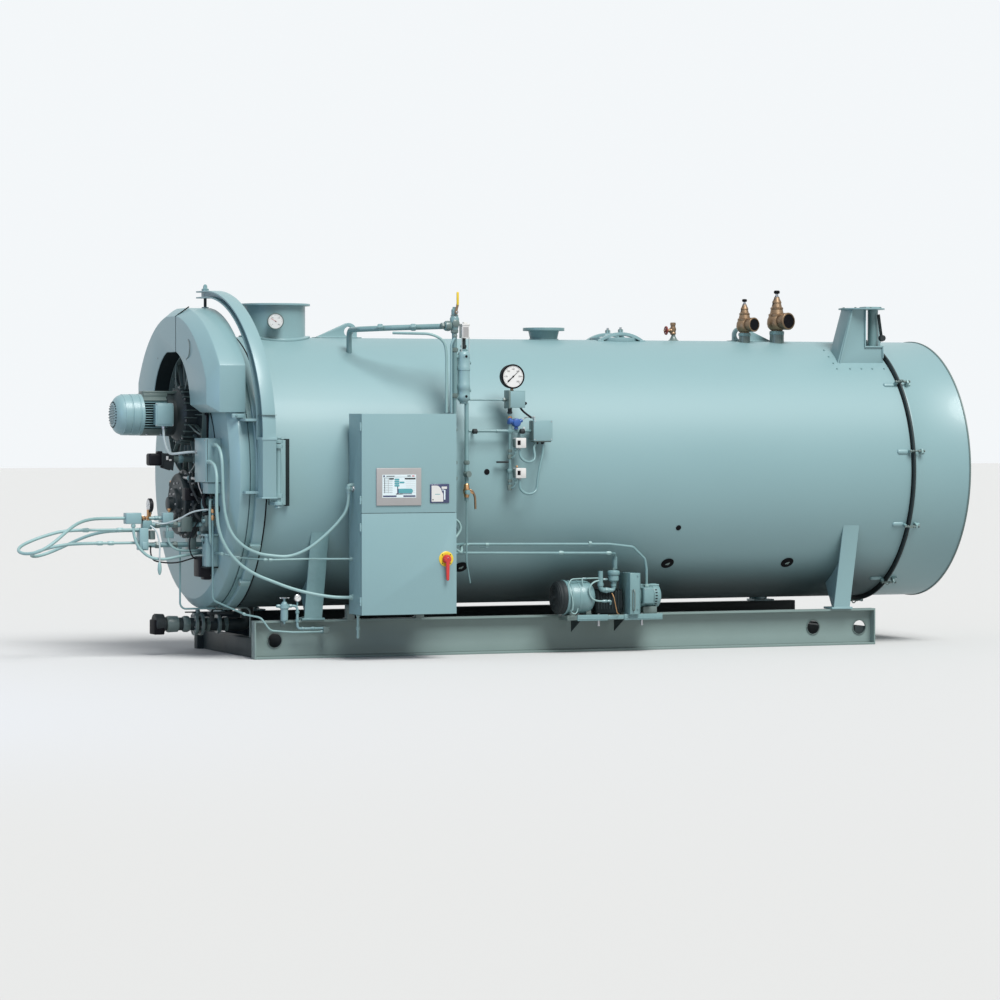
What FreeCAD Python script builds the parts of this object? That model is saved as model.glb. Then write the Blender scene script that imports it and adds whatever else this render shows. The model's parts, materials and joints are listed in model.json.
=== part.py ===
import FreeCAD, Part
import math
import os

# Packaged firetube boiler, millimetres. +X runs from the burner end to the rear end, +Y to the
# far side, +Z up. The origin is on the floor, midway along the skid, on the boiler's centre plane.

V = FreeCAD.Vector

# ---------------------------------------------------------------- driving sizes
# Boiler shell, lagging included
shell_r = 1295.0          # outside of the jacket
axis_z = 1740.0           # height of the boiler's axis
lagging = 60.0            # jacket, insulation and plate together
shell_front = -3250.0     # where the jacket starts, behind the front flange
shell_rear = 3485.0
flange_r = 1340.0         # front and rear flange rings
front_flange_x = -3358.0  # front face of the front flange
rear_flange_t = 18.0
rear_groove_t = 18.0
rear_groove_depth = 30.0
rear_end = 4141.0         # rear face of the rear head
rear_lip = 12.0
tube_sheet_t = 25.0
furnace_r = 480.0         # outside of the furnace tube
furnace_wall = 16.0
furnace_drop = 300.0      # furnace axis below the boiler's axis

# Skid
rail_h = 360.0
rail_y = 954.0            # outer face of each rail
rail_flange = 100.0
rail_web = 14.0
rail_flange_t = 20.0
rail_end = 3254.0         # half the rail length
rail_hole_r = 70.0
cross_h = 180.0
cross_w = 120.0

# Saddles
saddle_xs = (-2683.0, 2870.0)
saddle_w = 176.0
saddle_plate = 18.0
saddle_foot_t = 20.0
saddle_foot_y = 975.0
saddle_top_z = 1200.0     # where the leaning plate meets the shell

# Front head and the shroud on it
head_gap = 5.0            # head to front flange, at the gasket
head_rim_x = -3406.0      # back of the full-diameter part
head_shoulder_x = -3500.0
head_face_x = -3575.0
head_face_r = 1205.0
head_recess_r = 1240.0    # gasket groove behind the rim
shroud_front_x = -3773.0
shroud_chamfer_x = -3671.0
shroud_flat = 150.0       # half width of the flat top
shroud_side_y = 1107.0
shroud_side_z = 2600.0
shroud_top_z = 3225.0
shroud_bottom_z = 2384.0
shroud_back_r = 1571.0
shroud_back_y = 1204.0
shroud_back_z = 2291.0
shroud_mid_y = 774.0      # point on the front edge's round stretch
shroud_mid_z = 2975.0
arch_r = 615.0            # opening round the fan motor
motor_z = 2290.0

# Davit and hinge
pin_x = -3171.0
pin_y = -1400.0
pin_r = 25.0
pin_clear = 0.05
post_x = -3290.0
post_w = 130.0
post_inner_y = -1352.0    # side of the post next to the flange ring
post_depth = 160.0
post_z0 = 1521.0
arm_z = 2070.0            # height where the arm starts to curve
arm_r = 1400.0
arm_tip_z = 70.0          # depth of the arm at its tip
arm_flange_t = 14.0
arm_web_t = 20.0
bracket_z = (1454.0, 2056.0)
knuckle_t = 30.0
knuckle_gap = 6.0
lug_t = 40.0
knuckle_r = 44.0

# Fan motor
motor_r = 200.0
cowl_r = 197.0
cowl_x0 = -4357.0
cowl_x1 = -4083.0
motor_x1 = -3700.0

# Control cabinet
cab_x0 = -2443.0
cab_x1 = -1504.0
cab_y0 = -1660.0          # face of the doors
cab_depth = 350.0
cab_z0 = 432.0
cab_z1 = 2299.0
cab_split_z = 1377.0
cab_wall = 8.0
door_t = 30.0
door_gap = 5.0

# Stack, nozzle and lugs on top
stack_x = -2742.0
stack_r = 298.0
stack_wall = 10.0
stack_flange_r = 345.0
stack_top_z = 3355.0
stack_flange_t = 20.0
nozzle_x = 62.0
nozzle_r = 123.0
nozzle_flange_r = 206.0
nozzle_flange_t = 30.0
nozzle_top_z = 3150.0
nozzle_bore_r = 101.0
nozzle_pcd = 362.0
nozzle_bolts = 12
nozzle_hole_r = 12.7
lug_hole_r = 47.5
lug_hole_z = 3096.0
lug_boss_r = 84.0
lug_plate_t = 40.0
lug_xs = (-1988.0, 2209.0)
lug_len = 318.0

seam_clamps = 11

# Skid holes: distance along the rail and height
rail_holes = ((-3031.0, 170.0), (2603.0, 180.0), (3115.0, 170.0))

# Manway, vent valve and safety valves on the crown
manway_x = 822.0
yoke_y = 160.0
yoke_half = 250.0
vent_x = 1470.0
vent_stem_r = 7.0
vent_wheel_r = 46.0
safety_y = -180.0         # both safety valves stand on the near side of the crown

# Bracket of the rear head's davit
davit_base_y = -728.0
davit_base_w = 224.0
davit_pipe_r = 52.0

# Davit, worked out: outer face of the post, reach and direction of the arm
post_outer_y = post_inner_y - post_depth
tip_x = -3434.0
arm_len = math.hypot(tip_x - post_x, post_outer_y)
arm_dir = ((tip_x - post_x) / arm_len, -post_outer_y / arm_len)
strap_zs = (2230.0, 1560.0)

# Cabinet, worked out, and its disconnect switch
cab_y1 = cab_y0 + cab_depth
cab_front = cab_y0 + door_t + door_gap
door_pin_x = cab_x0 - 10
door_pin_y = cab_y0 + 8
door_pin_r = 5.0
door_knuckle_r = 9.0
door_knuckle_h = 20.0     # half the height of the door's own knuckle
upper_hinge_zs = (1500.0, 2180.0)
lower_hinge_zs = (560.0, 1250.0)
switch_x = -1609.0
switch_z = 944.0

# Water column, its legs and the controls beside it
col_x = -1320.0
col_y = -1370.0
col_r = 62.0
col_z = (2405.0, 2895.0)
pipe_y = col_y
main_pipe_z = 3125.0
leg_x = -1412.0
ball_z = 3255.0
ball_stem_r = 7.0
drain_leg_x = -1290.0
gauge_x = -832.0
gauge_z = 2652.0
gauge_r = 118.0
header_x = -850.0
header_r = 15.0

# Rigid conduits and tubes
run_y = -1310.0
tube_r = 9.0
tube_bend = 60.0
train_y = -450.0          # centre plane of the fuel train
train_block_x = -4235.0

# Air compressor module
comp_y = -1150.0
comp_base_z = 320.0
comp_base_t = 48.0

# Free lines: each route is a list of points, from its first fitting to its last
hose_r = 15.0
hose_upper_route = (
    (-4768, -480, 1215), (-4950, -480, 1215), (-5125, -480, 1172), (-5285, -500, 1120), (-5405, -565, 1072),
    (-5455, -695, 1030), (-5415, -835, 1010), (-5305, -925, 1035), (-5165, -915, 1120), (-5020, -815, 1220),
    (-4880, -680, 1290), (-4720, -540, 1320), (-4545, -450, 1322), (-4365, -450, 1322))
hose_lower_route = (
    (-4624, -450, 1090), (-4797, -450, 1090), (-4965, -455, 1079), (-5110, -430, 1048), (-5205, -330, 1005),
    (-5205, -190, 970), (-5110, -90, 960), (-4970, -65, 1000), (-4825, -120, 1070), (-4685, -235, 1150),
    (-4545, -350, 1195), (-4395, -415, 1205), (-4235, -415, 1205))
conduit_r = 15.0
conduit_upper_head_route = (
    (-3650, -945, 2009), (-3650, -1090, 2009), (-3649, -1195, 1905), (-3646, -1205, 1740),
    (-3640, -1200, 1540), (-3618, -1195, 1345), (-3560, -1205, 1180), (-3450, -1222, 1068),
    (-3310, -1240, 1000), (-3172, -1260, 980))
conduit_upper_boiler_route = (
    (-3170, -1260, 980), (-3028, -1281, 968), (-2870, -1320, 1028), (-2715, -1360, 1150),
    (-2580, -1400, 1290), (-2490, -1430, 1425), (-2490, -1430, 1560))
conduit_lower_head_route = (
    (-3700, -945, 1851), (-3700, -1105, 1851), (-3704, -1215, 1745), (-3710, -1225, 1590),
    (-3705, -1205, 1400), (-3680, -1190, 1210), (-3600, -1185, 1040), (-3480, -1190, 905),
    (-3330, -1212, 805), (-3172, -1240, 742))
conduit_lower_boiler_route = (
    (-3170, -1240, 741), (-3030, -1265, 685), (-2880, -1300, 640), (-2730, -1345, 608), (-2585, -1400, 588),
    (-2443, -1400, 588))
lead_r = 12.0
motor_lead_route = (
    (-3922, -240, 2180), (-3922, -240, 2080), (-3922, -325, 1985), (-3925, -420, 1930), (-3925, -520, 1922),
    (-3880, -605, 1928), (-3800, -650, 1942), (-3724, -650, 1942))


# ---------------------------------------------------------------- shape helpers
def box(x0, x1, y0, y1, z0, z1):
    return Part.makeBox(x1 - x0, y1 - y0, z1 - z0, V(x0, y0, z0))


def rod(p, q, r):
    """Cylinder from point p to point q."""
    d = V(*q) - V(*p)
    return Part.makeCylinder(r, d.Length, V(*p), d)


def cone(p, q, r1, r2):
    d = V(*q) - V(*p)
    return Part.makeCone(r1, r2, d.Length, V(*p), d)


def ring(p, q, r_out, r_in):
    return rod(p, q, r_out).cut(rod(p, q, r_in))


def union(shapes):
    first = shapes[0]
    return first.fuse(shapes[1:]).removeSplitter() if len(shapes) > 1 else first


def group(shapes):
    """Separate solids that share one node."""
    return Part.makeCompound(shapes)


def prism(points, along):
    """Closed polygon pushed along a vector."""
    face = Part.Face(Part.makePolygon([V(*p) for p in points] + [V(*points[0])]))
    return face.extrude(V(*along))


def extrude_wire(edges, along):
    return Part.Face(Part.Wire(edges)).extrude(V(*along))


def line(p, q):
    return Part.LineSegment(V(*p), V(*q)).toShape()


def arc(p, m, q):
    return Part.Arc(V(*p), V(*m), V(*q)).toShape()


def turned(profile, base, direction):
    """Stack of frustums: profile is a list of (distance along the axis, radius)."""
    d = V(*direction)
    d.normalize()
    parts = []
    for (s0, r0), (s1, r1) in zip(profile, profile[1:]):
        if s1 - s0 < 1e-6:
            continue
        a = V(*base) + d * s0
        if abs(r0 - r1) < 1e-6:
            parts.append(Part.makeCylinder(r0, s1 - s0, a, d))
        else:
            parts.append(Part.makeCone(r0, r1, s1 - s0, a, d))
    return union(parts)


def shell_cut(x0=-6000.0, x1=6000.0, r=shell_r):
    return rod((x0, 0, axis_z), (x1, 0, axis_z), r)


def on_shell(shape, r=shell_r):
    """Cut away what lies inside the shell, so that a piece seats on the jacket."""
    return shape.cut(shell_cut(r=r))


def mirrored(shape):
    return shape.mirror(V(0, 0, 0), V(0, 1, 0))


def corner_radius(a, b, c):
    """Tangent-arc radius at b: 0.45 of the shorter run over the tangent of half the turn."""
    u = b - a
    w = c - b
    turn = u.getAngle(w)
    return 0.45 * min(u.Length, w.Length) / math.tan(turn / 2.0)


def run_with_arcs(points, bend=None):
    """Wire of straight runs and tangent arcs; bend fixes the radius, else it follows the runs."""
    pts = [V(*p) for p in points]
    edges = []
    start = pts[0]
    for a, b, c in zip(pts, pts[1:], pts[2:]):
        u = (b - a)
        w = (c - b)
        turn = u.getAngle(w)
        longest = corner_radius(a, b, c)
        radius = min(bend, longest) if bend else longest
        u.normalize()
        w.normalize()
        back = radius * math.tan(turn / 2.0)
        p0 = b - u * back
        p1 = b + w * back
        toward = w - u
        toward.normalize()
        centre = b + toward * (radius / math.cos(turn / 2.0))
        mid = centre - toward * radius
        if (p0 - start).Length > 1e-6:
            edges.append(Part.LineSegment(start, p0).toShape())
        edges.append(Part.Arc(p0, mid, p1).toShape())
        start = p1
    edges.append(Part.LineSegment(start, pts[-1]).toShape())
    return Part.Wire(edges)


def pipe(points, r, bend=None):
    """Round bar swept along straight runs joined by tangent arcs."""
    path = run_with_arcs(points, bend)
    first = V(*points[1]) - V(*points[0])
    circle = Part.Wire(Part.makeCircle(r, V(*points[0]), first))
    return path.makePipeShell([circle], True, False)


def cord(name, points, r):
    """A flexible line's tube; prints its radii and compares its volume with area times length."""
    pts = [V(*p) for p in points]
    radii = [corner_radius(a, b, c) for a, b, c in zip(pts, pts[1:], pts[2:])]
    shape = pipe(points, r)
    path_length = run_with_arcs(points).Length
    ratio = shape.Volume / (math.pi * r * r * path_length)
    print(name, "length %.0f" % path_length, "least radius %.0f" % min(radii), "volume ratio %.4f" % ratio)
    return shape


# ---------------------------------------------------------------- skid and saddles
def skid_rail():
    """Near-side channel, toes outwards, closed by a plate at each end."""
    y0 = -rail_y
    y1 = y0 + rail_flange
    profile = [(-rail_end, y0, 0), (-rail_end, y1, 0), (-rail_end, y1, rail_h), (-rail_end, y0, rail_h),
               (-rail_end, y0, rail_h - rail_flange_t), (-rail_end, y1 - rail_web, rail_h - rail_flange_t),
               (-rail_end, y1 - rail_web, rail_flange_t), (-rail_end, y0, rail_flange_t)]
    rail = prism(profile, (2 * rail_end, 0, 0))
    ends = [box(x, x + rail_web, y0, y1, 0, rail_h) for x in (-rail_end, rail_end - rail_web)]
    rail = union([rail] + ends)
    for x, z in rail_holes:
        rail = rail.cut(rod((x, y0 - 10, z), (x, y1 + 10, z), rail_hole_r))
    return rail


def cross_members():
    inner = rail_y - rail_flange
    xs = (-rail_end + cross_w, saddle_xs[0], -1350.0, 0.0, 1350.0, saddle_xs[1], rail_end - cross_w)
    return group([box(x - cross_w / 2, x + cross_w / 2, -inner, inner, 0, cross_h) for x in xs])


def saddle_leg(x):
    """Leaning plate with a web behind it, standing on a foot plate on the near rail."""
    top_y = -math.sqrt(shell_r ** 2 - (axis_z - saddle_top_z) ** 2)
    foot_z = rail_h + saddle_foot_t
    half = saddle_w / 2
    plate = prism([(x - half, -saddle_foot_y, foot_z), (x - half, -saddle_foot_y + saddle_plate, foot_z),
                   (x - half, top_y + saddle_plate, saddle_top_z), (x - half, top_y, saddle_top_z)],
                  (saddle_w, 0, 0))
    web = prism([(x - 12, -saddle_foot_y + 5, foot_z), (x - 12, -770, foot_z), (x - 12, -620, 620),
                 (x - 12, -900, 1000), (x - 12, top_y + 5, saddle_top_z - 10)], (24, 0, 0))
    web = web.cut(rod((x - 50, -875, 470), (x + 50, -875, 470), 32))
    foot = box(x - half - 25, x + half + 25, -saddle_foot_y - 10, -rail_y + rail_flange + 60, rail_h, foot_z)
    return union([on_shell(plate), on_shell(web), foot])


def saddle(x):
    leg = saddle_leg(x)
    return group([leg, mirrored(leg)])


# ---------------------------------------------------------------- pressure vessel
def shell_jacket():
    return ring((shell_front, 0, axis_z), (shell_rear, 0, axis_z), shell_r, shell_r - lagging)


def front_flange_ring():
    return ring((front_flange_x, 0, axis_z), (shell_front, 0, axis_z), flange_r, shell_r - lagging)


def rear_flange_ring():
    x1 = shell_rear + rear_flange_t
    x2 = x1 + rear_groove_t
    return union([ring((shell_rear, 0, axis_z), (x1, 0, axis_z), flange_r, shell_r - lagging),
                  ring((x1, 0, axis_z), (x2, 0, axis_z), shell_r - rear_groove_depth, shell_r - lagging)])


def rear_head():
    x0 = shell_rear + rear_flange_t + rear_groove_t
    lip = ring((x0, 0, axis_z), (x0 + 24, 0, axis_z), shell_r + rear_lip, shell_r - 20)
    rim = ring((rear_end - 14, 0, axis_z), (rear_end, 0, axis_z), shell_r + 6, shell_r - 20)
    drum = rod((x0, 0, axis_z), (rear_end - 8, 0, axis_z), shell_r)
    hollow = rod((x0, 0, axis_z), (rear_end - 8 - lagging, 0, axis_z), shell_r - lagging)
    return union([drum.cut(hollow), lip, rim])


def front_tube_sheet():
    x0 = front_flange_x + 12
    sheet = rod((x0, 0, axis_z), (x0 + tube_sheet_t, 0, axis_z), shell_r - lagging)
    z = axis_z - furnace_drop
    return sheet.cut(rod((x0 - 1, 0, z), (x0 + tube_sheet_t + 1, 0, z), furnace_r))


def rear_tube_sheet():
    x1 = shell_rear - 20
    return rod((x1 - tube_sheet_t, 0, axis_z), (x1, 0, axis_z), shell_r - lagging)


def furnace_tube():
    z = axis_z - furnace_drop
    return ring((front_flange_x + 12, 0, z), (shell_rear - 20 - tube_sheet_t, 0, z), furnace_r,
                furnace_r - furnace_wall)


def rear_seam_clamps():
    """Eye bolt between a tab on the jacket and a lug on the rear head, repeated round the seam."""
    x_tab = shell_rear - 150
    x_lug = shell_rear + rear_flange_t + rear_groove_t + 40
    clamps = []
    for i in range(seam_clamps):
        tab = box(x_tab, shell_rear - 45, -32, 32, axis_z + shell_r - 20, axis_z + shell_r + 34)
        tab = union([tab, rod((x_tab, 0, axis_z + shell_r - 20), (x_tab, 0, axis_z + shell_r + 34), 32)])
        ear = box(shell_rear - 45, shell_rear, -22, 22, axis_z + shell_r - 20, axis_z + shell_r + 40)
        lug = box(x_lug, x_lug + 26, -30, 30, axis_z + shell_r - 20, axis_z + shell_r + 92)
        bolt = rod((x_tab + 20, 0, axis_z + flange_r + 26), (x_lug + 60, 0, axis_z + flange_r + 26), 11)
        post = box(x_tab + 20, x_tab + 50, -16, 16, axis_z + shell_r - 20, axis_z + flange_r + 44)
        clamp = on_shell(union([tab, ear, post, bolt, lug]))
        clamp = clamp.cut(rod((shell_rear, 0, axis_z), (shell_rear + rear_flange_t, 0, axis_z), flange_r))
        clamp.rotate(V(0, 0, axis_z), V(1, 0, 0), 180 + i * 360.0 / seam_clamps)
        clamps.append(clamp)
    return group(clamps)


# ---------------------------------------------------------------- fittings on top
def stack_outlet():
    tube = ring((stack_x, 0, axis_z + 600), (stack_x, 0, stack_top_z), stack_r, stack_r - stack_wall)
    flange = ring((stack_x, 0, stack_top_z - stack_flange_t), (stack_x, 0, stack_top_z), stack_flange_r,
                  stack_r - stack_wall)
    crown_z = axis_z + shell_r
    skirt = on_shell(rod((stack_x, 0, axis_z + 600), (stack_x, 0, crown_z + 60), stack_r + 45))
    skirt = skirt.common(shell_cut(r=shell_r + 16))
    skirt = skirt.cut(rod((stack_x, 0, axis_z), (stack_x, 0, stack_top_z), stack_r - stack_wall))
    return union([on_shell(tube), flange, skirt])


def stack_thermometer():
    """Dial on a stem that stands out of the stack's near side, turned towards the front corner."""
    a = math.radians(-62)
    d = (math.cos(a + math.pi) * 0.55, math.sin(a), 0)
    n = math.hypot(d[0], d[1])
    d = (d[0] / n, d[1] / n, 0)
    z = 3180.0
    start = stack_r - 2
    p = (stack_x + d[0] * start, d[1] * start, z)
    shape = turned([(0, 14), (60, 14), (60, 78), (96, 78)], p, d)
    return shape.cut(rod((stack_x, 0, z - 300), (stack_x, 0, z + 150), stack_r))


def lifting_lug(x, side):
    """Plate in the centre plane; side is +1 when its tail runs towards +X."""
    top = axis_z + shell_r
    boss = rod((x, -lug_plate_t / 2, lug_hole_z), (x, lug_plate_t / 2, lug_hole_z), lug_boss_r)
    tail = x + side * lug_len
    heel = x - side * lug_boss_r
    lean = math.radians(62)
    shoulder = (x + side * lug_boss_r * math.cos(lean), lug_hole_z + lug_boss_r * math.sin(lean))
    body = prism([(heel, -lug_plate_t / 2, top - 5), (heel, -lug_plate_t / 2, lug_hole_z),
                  (x, -lug_plate_t / 2, lug_hole_z), (shoulder[0], -lug_plate_t / 2, shoulder[1]),
                  (tail, -lug_plate_t / 2, top + 12), (tail, -lug_plate_t / 2, top - 5)],
                 (0, lug_plate_t, 0))
    pad = box(min(heel, tail) - 30, max(heel, tail) + 30, -75, 75, top - 10, top + 6)
    lug = on_shell(union([boss, body, pad]))
    return lug.cut(rod((x, -60, lug_hole_z), (x, 60, lug_hole_z), lug_hole_r))


def lifting_lugs():
    return group([lifting_lug(lug_xs[0], -1), lifting_lug(lug_xs[1], 1)])


def steam_nozzle():
    top = axis_z + shell_r
    neck = cone((nozzle_x, 0, top - 40), (nozzle_x, 0, nozzle_top_z - nozzle_flange_t), nozzle_r,
                nozzle_r + 30)
    flange = rod((nozzle_x, 0, nozzle_top_z - nozzle_flange_t), (nozzle_x, 0, nozzle_top_z), nozzle_flange_r)
    shape = on_shell(union([neck, flange]))
    shape = shape.cut(rod((nozzle_x, 0, top - 60), (nozzle_x, 0, nozzle_top_z + 1), nozzle_bore_r))
    for i in range(nozzle_bolts):
        a = 2 * math.pi * (i + 0.5) / nozzle_bolts
        x = nozzle_x + nozzle_pcd / 2 * math.cos(a)
        y = nozzle_pcd / 2 * math.sin(a)
        shape = shape.cut(rod((x, y, nozzle_top_z - 60), (x, y, nozzle_top_z + 1), nozzle_hole_r))
    return shape


def manway():
    """Oval rim with its cover, held by two bowed yokes with a bolt each."""
    top = axis_z + shell_r
    x = manway_x
    rim = ring((x, 0, top - 120), (x, 0, top + 22), 235, 200)
    cover = rod((x, 0, top - 60), (x, 0, top + 12), 200)
    parts = [on_shell(rim), on_shell(cover)]
    for y in (-yoke_y, yoke_y):
        seat = axis_z + math.sqrt(shell_r ** 2 - y ** 2)
        crown = top + 74
        outer = arc((x - yoke_half, y - 30, seat - 4), (x, y - 30, crown), (x + yoke_half, y - 30, seat - 4))
        inner = arc((x + yoke_half - 45, y - 30, seat - 4), (x, y - 30, crown - 32),
                    (x - yoke_half + 45, y - 30, seat - 4))
        right = line((x + yoke_half, y - 30, seat - 4), (x + yoke_half - 45, y - 30, seat - 4))
        left = line((x - yoke_half + 45, y - 30, seat - 4), (x - yoke_half, y - 30, seat - 4))
        yoke = extrude_wire([outer, right, inner, left], (0, 60, 0))
        stud = rod((x, y, seat - 20), (x, y, crown + 34), 12)
        nut = rod((x, y, crown - 4), (x, y, crown + 26), 24)
        parts += [on_shell(yoke), on_shell(stud), nut]
    return union(parts)


def vent_valve():
    """Bronze angle valve on a small boss on the crown."""
    top = axis_z + shell_r
    x = vent_x
    boss = on_shell(turned([(0, 58), (24, 40), (58, 20), (86, 20)], (x, 0, top - 14), (0, 0, 1)))
    body = box(x - 32, x + 24, -24, 24, top + 72, top + 128)
    outlet = rod((x - 4, 0, top + 120), (x - 4, 0, top + 156), 22)
    bonnet = rod((x - 32, 0, top + 100), (x - 62, 0, top + 100), 16)
    stem = rod((x - 62, 0, top + 100), (x - 96, 0, top + 100), vent_stem_r)
    return union([boss, body, outlet, bonnet, stem])


def vent_handwheel():
    """Handwheel on the vent valve's stem: rim, hub and four spokes."""
    z = axis_z + shell_r + 100
    x = vent_x - 80
    rim = Part.makeTorus(vent_wheel_r - 7, 7, V(x, 0, z), V(1, 0, 0))
    hub = ring((x - 9, 0, z), (x + 9, 0, z), 15, vent_stem_r + pin_clear)
    spokes = []
    for i in range(4):
        a = math.pi / 4 + i * math.pi / 2
        d = (0, math.cos(a), math.sin(a))
        p = (x, d[1] * 12, z + d[2] * 12)
        q = (x, d[1] * (vent_wheel_r - 7), z + d[2] * (vent_wheel_r - 7))
        spokes.append(rod(p, q, 4.5))
    return union([rim, hub] + spokes)


def safety_valve(x, y, z0, size, socket):
    """Angle safety valve: inlet, globe with a side outlet, spring bonnet, cap and lever."""
    s = size
    collar = rod((x, y, z0), (x, y, z0 + 0.12 * s), 0.17 * s)
    body = turned([(0, 0.17 * s), (0.12 * s, 0.29 * s), (0.34 * s, 0.29 * s), (0.44 * s, 0.2 * s),
                   (0.62 * s, 0.17 * s), (0.86 * s, 0.13 * s), (0.98 * s, 0.09 * s)],
                  (x, y, z0 + 0.1 * s), (0, 0, 1))
    a = math.radians(-48)
    d = (math.cos(a), math.sin(a), 0)
    zc = z0 + 0.34 * s
    outlet = rod((x, y, zc), (x + d[0] * 0.52 * s, y + d[1] * 0.52 * s, zc), 0.24 * s)
    bore = rod((x + d[0] * 0.34 * s, y + d[1] * 0.34 * s, zc), (x + d[0] * 0.6 * s, y + d[1] * 0.6 * s, zc),
               0.17 * s)
    cap = turned([(0, 0.05 * s), (0.1 * s, 0.05 * s), (0.1 * s, 0.1 * s), (0.2 * s, 0.08 * s)],
                 (x, y, z0 + 1.06 * s), (0, 0, 1))
    base = on_shell(rod((x, y, z0 - 250), (x, y, z0), socket))
    return union([collar, body, outlet, cap, base]).cut(bore)


def rear_davit_base():
    """Thin box bracket over the rear seam, with a leaning front and a stepped back, and its top plate."""
    y0 = davit_base_y
    y1 = y0 + davit_base_w
    outline = [(2941, 2700), (3451, 2700), (3451, 2976), (3252, 2976), (3252, 3346), (3094, 3346),
               (2941, 2813)]
    body = on_shell(prism([(x, y0, z) for x, z in outline], (0, davit_base_w, 0)))
    yc = (y0 + y1) / 2
    plate = rod((3266, yc, 3346), (3266, yc, 3360), 232)
    cap = box(3278, 3450, yc - 70, yc + 70, 3360, 3376)
    gusset = on_shell(prism([(3430, y1 - 30, 2700), (3560, y1 - 30, 2700), (3480, y1 - 30, 3346),
                             (3430, y1 - 30, 3346)], (0, 20, 0)))
    pipe_socket = on_shell(rod((3393, yc, 2700), (3393, yc, 3346), davit_pipe_r))
    davit = union([body, plate, cap, gusset, pipe_socket])
    davit = davit.cut(shell_cut(shell_rear, shell_rear + rear_flange_t, flange_r))
    return davit.cut(shell_cut(shell_rear, rear_end, shell_r + rear_lip))


# ---------------------------------------------------------------- front head body
def front_head():
    """Flat-faced door: gasket groove, full-diameter rim and a tapered shoulder."""
    back_x = front_flange_x - head_gap
    groove = rod((head_rim_x, 0, axis_z), (back_x, 0, axis_z), head_recess_r)
    rim = rod((head_shoulder_x, 0, axis_z), (head_rim_x, 0, axis_z), shell_r)
    shoulder = cone((head_face_x, 0, axis_z), (head_shoulder_x, 0, axis_z), head_face_r, shell_r)
    return union([groove, rim, shoulder])


def shroud_outline(x, side_y, side_z, top_z, mid, bottom_z):
    """Half-annular outline in the plane at x, flat at the top, straight at the sides."""
    inner_z = motor_z + math.sqrt(arch_r ** 2 - shroud_flat ** 2)
    leg_y = math.sqrt(arch_r ** 2 - (bottom_z - motor_z) ** 2)
    a = math.radians(40)
    crown = (arch_r * math.cos(a), motor_z + arch_r * math.sin(a))
    return Part.Wire([
        line((x, -shroud_flat, top_z), (x, shroud_flat, top_z)),
        arc((x, shroud_flat, top_z), (x, mid[0], mid[1]), (x, side_y, side_z)),
        line((x, side_y, side_z), (x, side_y, bottom_z)),
        line((x, side_y, bottom_z), (x, leg_y, bottom_z)),
        arc((x, leg_y, bottom_z), (x, crown[0], crown[1]), (x, shroud_flat, inner_z)),
        line((x, shroud_flat, inner_z), (x, -shroud_flat, inner_z)),
        arc((x, -shroud_flat, inner_z), (x, -crown[0], crown[1]), (x, -leg_y, bottom_z)),
        line((x, -leg_y, bottom_z), (x, -side_y, bottom_z)),
        line((x, -side_y, bottom_z), (x, -side_y, side_z)),
        arc((x, -side_y, side_z), (x, -mid[0], mid[1]), (x, -shroud_flat, top_z))])


def air_shroud():
    front = shroud_outline(shroud_front_x, shroud_side_y, shroud_side_z, shroud_top_z,
                           (shroud_mid_y, shroud_mid_z), shroud_bottom_z)
    back_top = axis_z + math.sqrt(shroud_back_r ** 2 - shroud_flat ** 2)
    side_z = axis_z + math.sqrt(shroud_back_r ** 2 - shroud_back_y ** 2)
    a = math.radians(65)
    mid = (shroud_back_r * math.cos(a), axis_z + shroud_back_r * math.sin(a))
    back = shroud_outline(shroud_chamfer_x, shroud_back_y, side_z, back_top, mid, shroud_back_z + 20)
    nose = Part.makeLoft([front, back], True, True)
    rear = Part.Face(back).extrude(V(head_rim_x - 14 - shroud_chamfer_x, 0, 0))
    shape = union([nose, rear])
    return shape.cut(front_head())


def in_arm_plane(s, z, t=0.0):
    """Point s along the davit's plane from the post, at height z, t to the side."""
    ux, uy = arm_dir
    return (post_x + ux * s - uy * t, post_outer_y + uy * s + ux * t, z)


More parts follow.
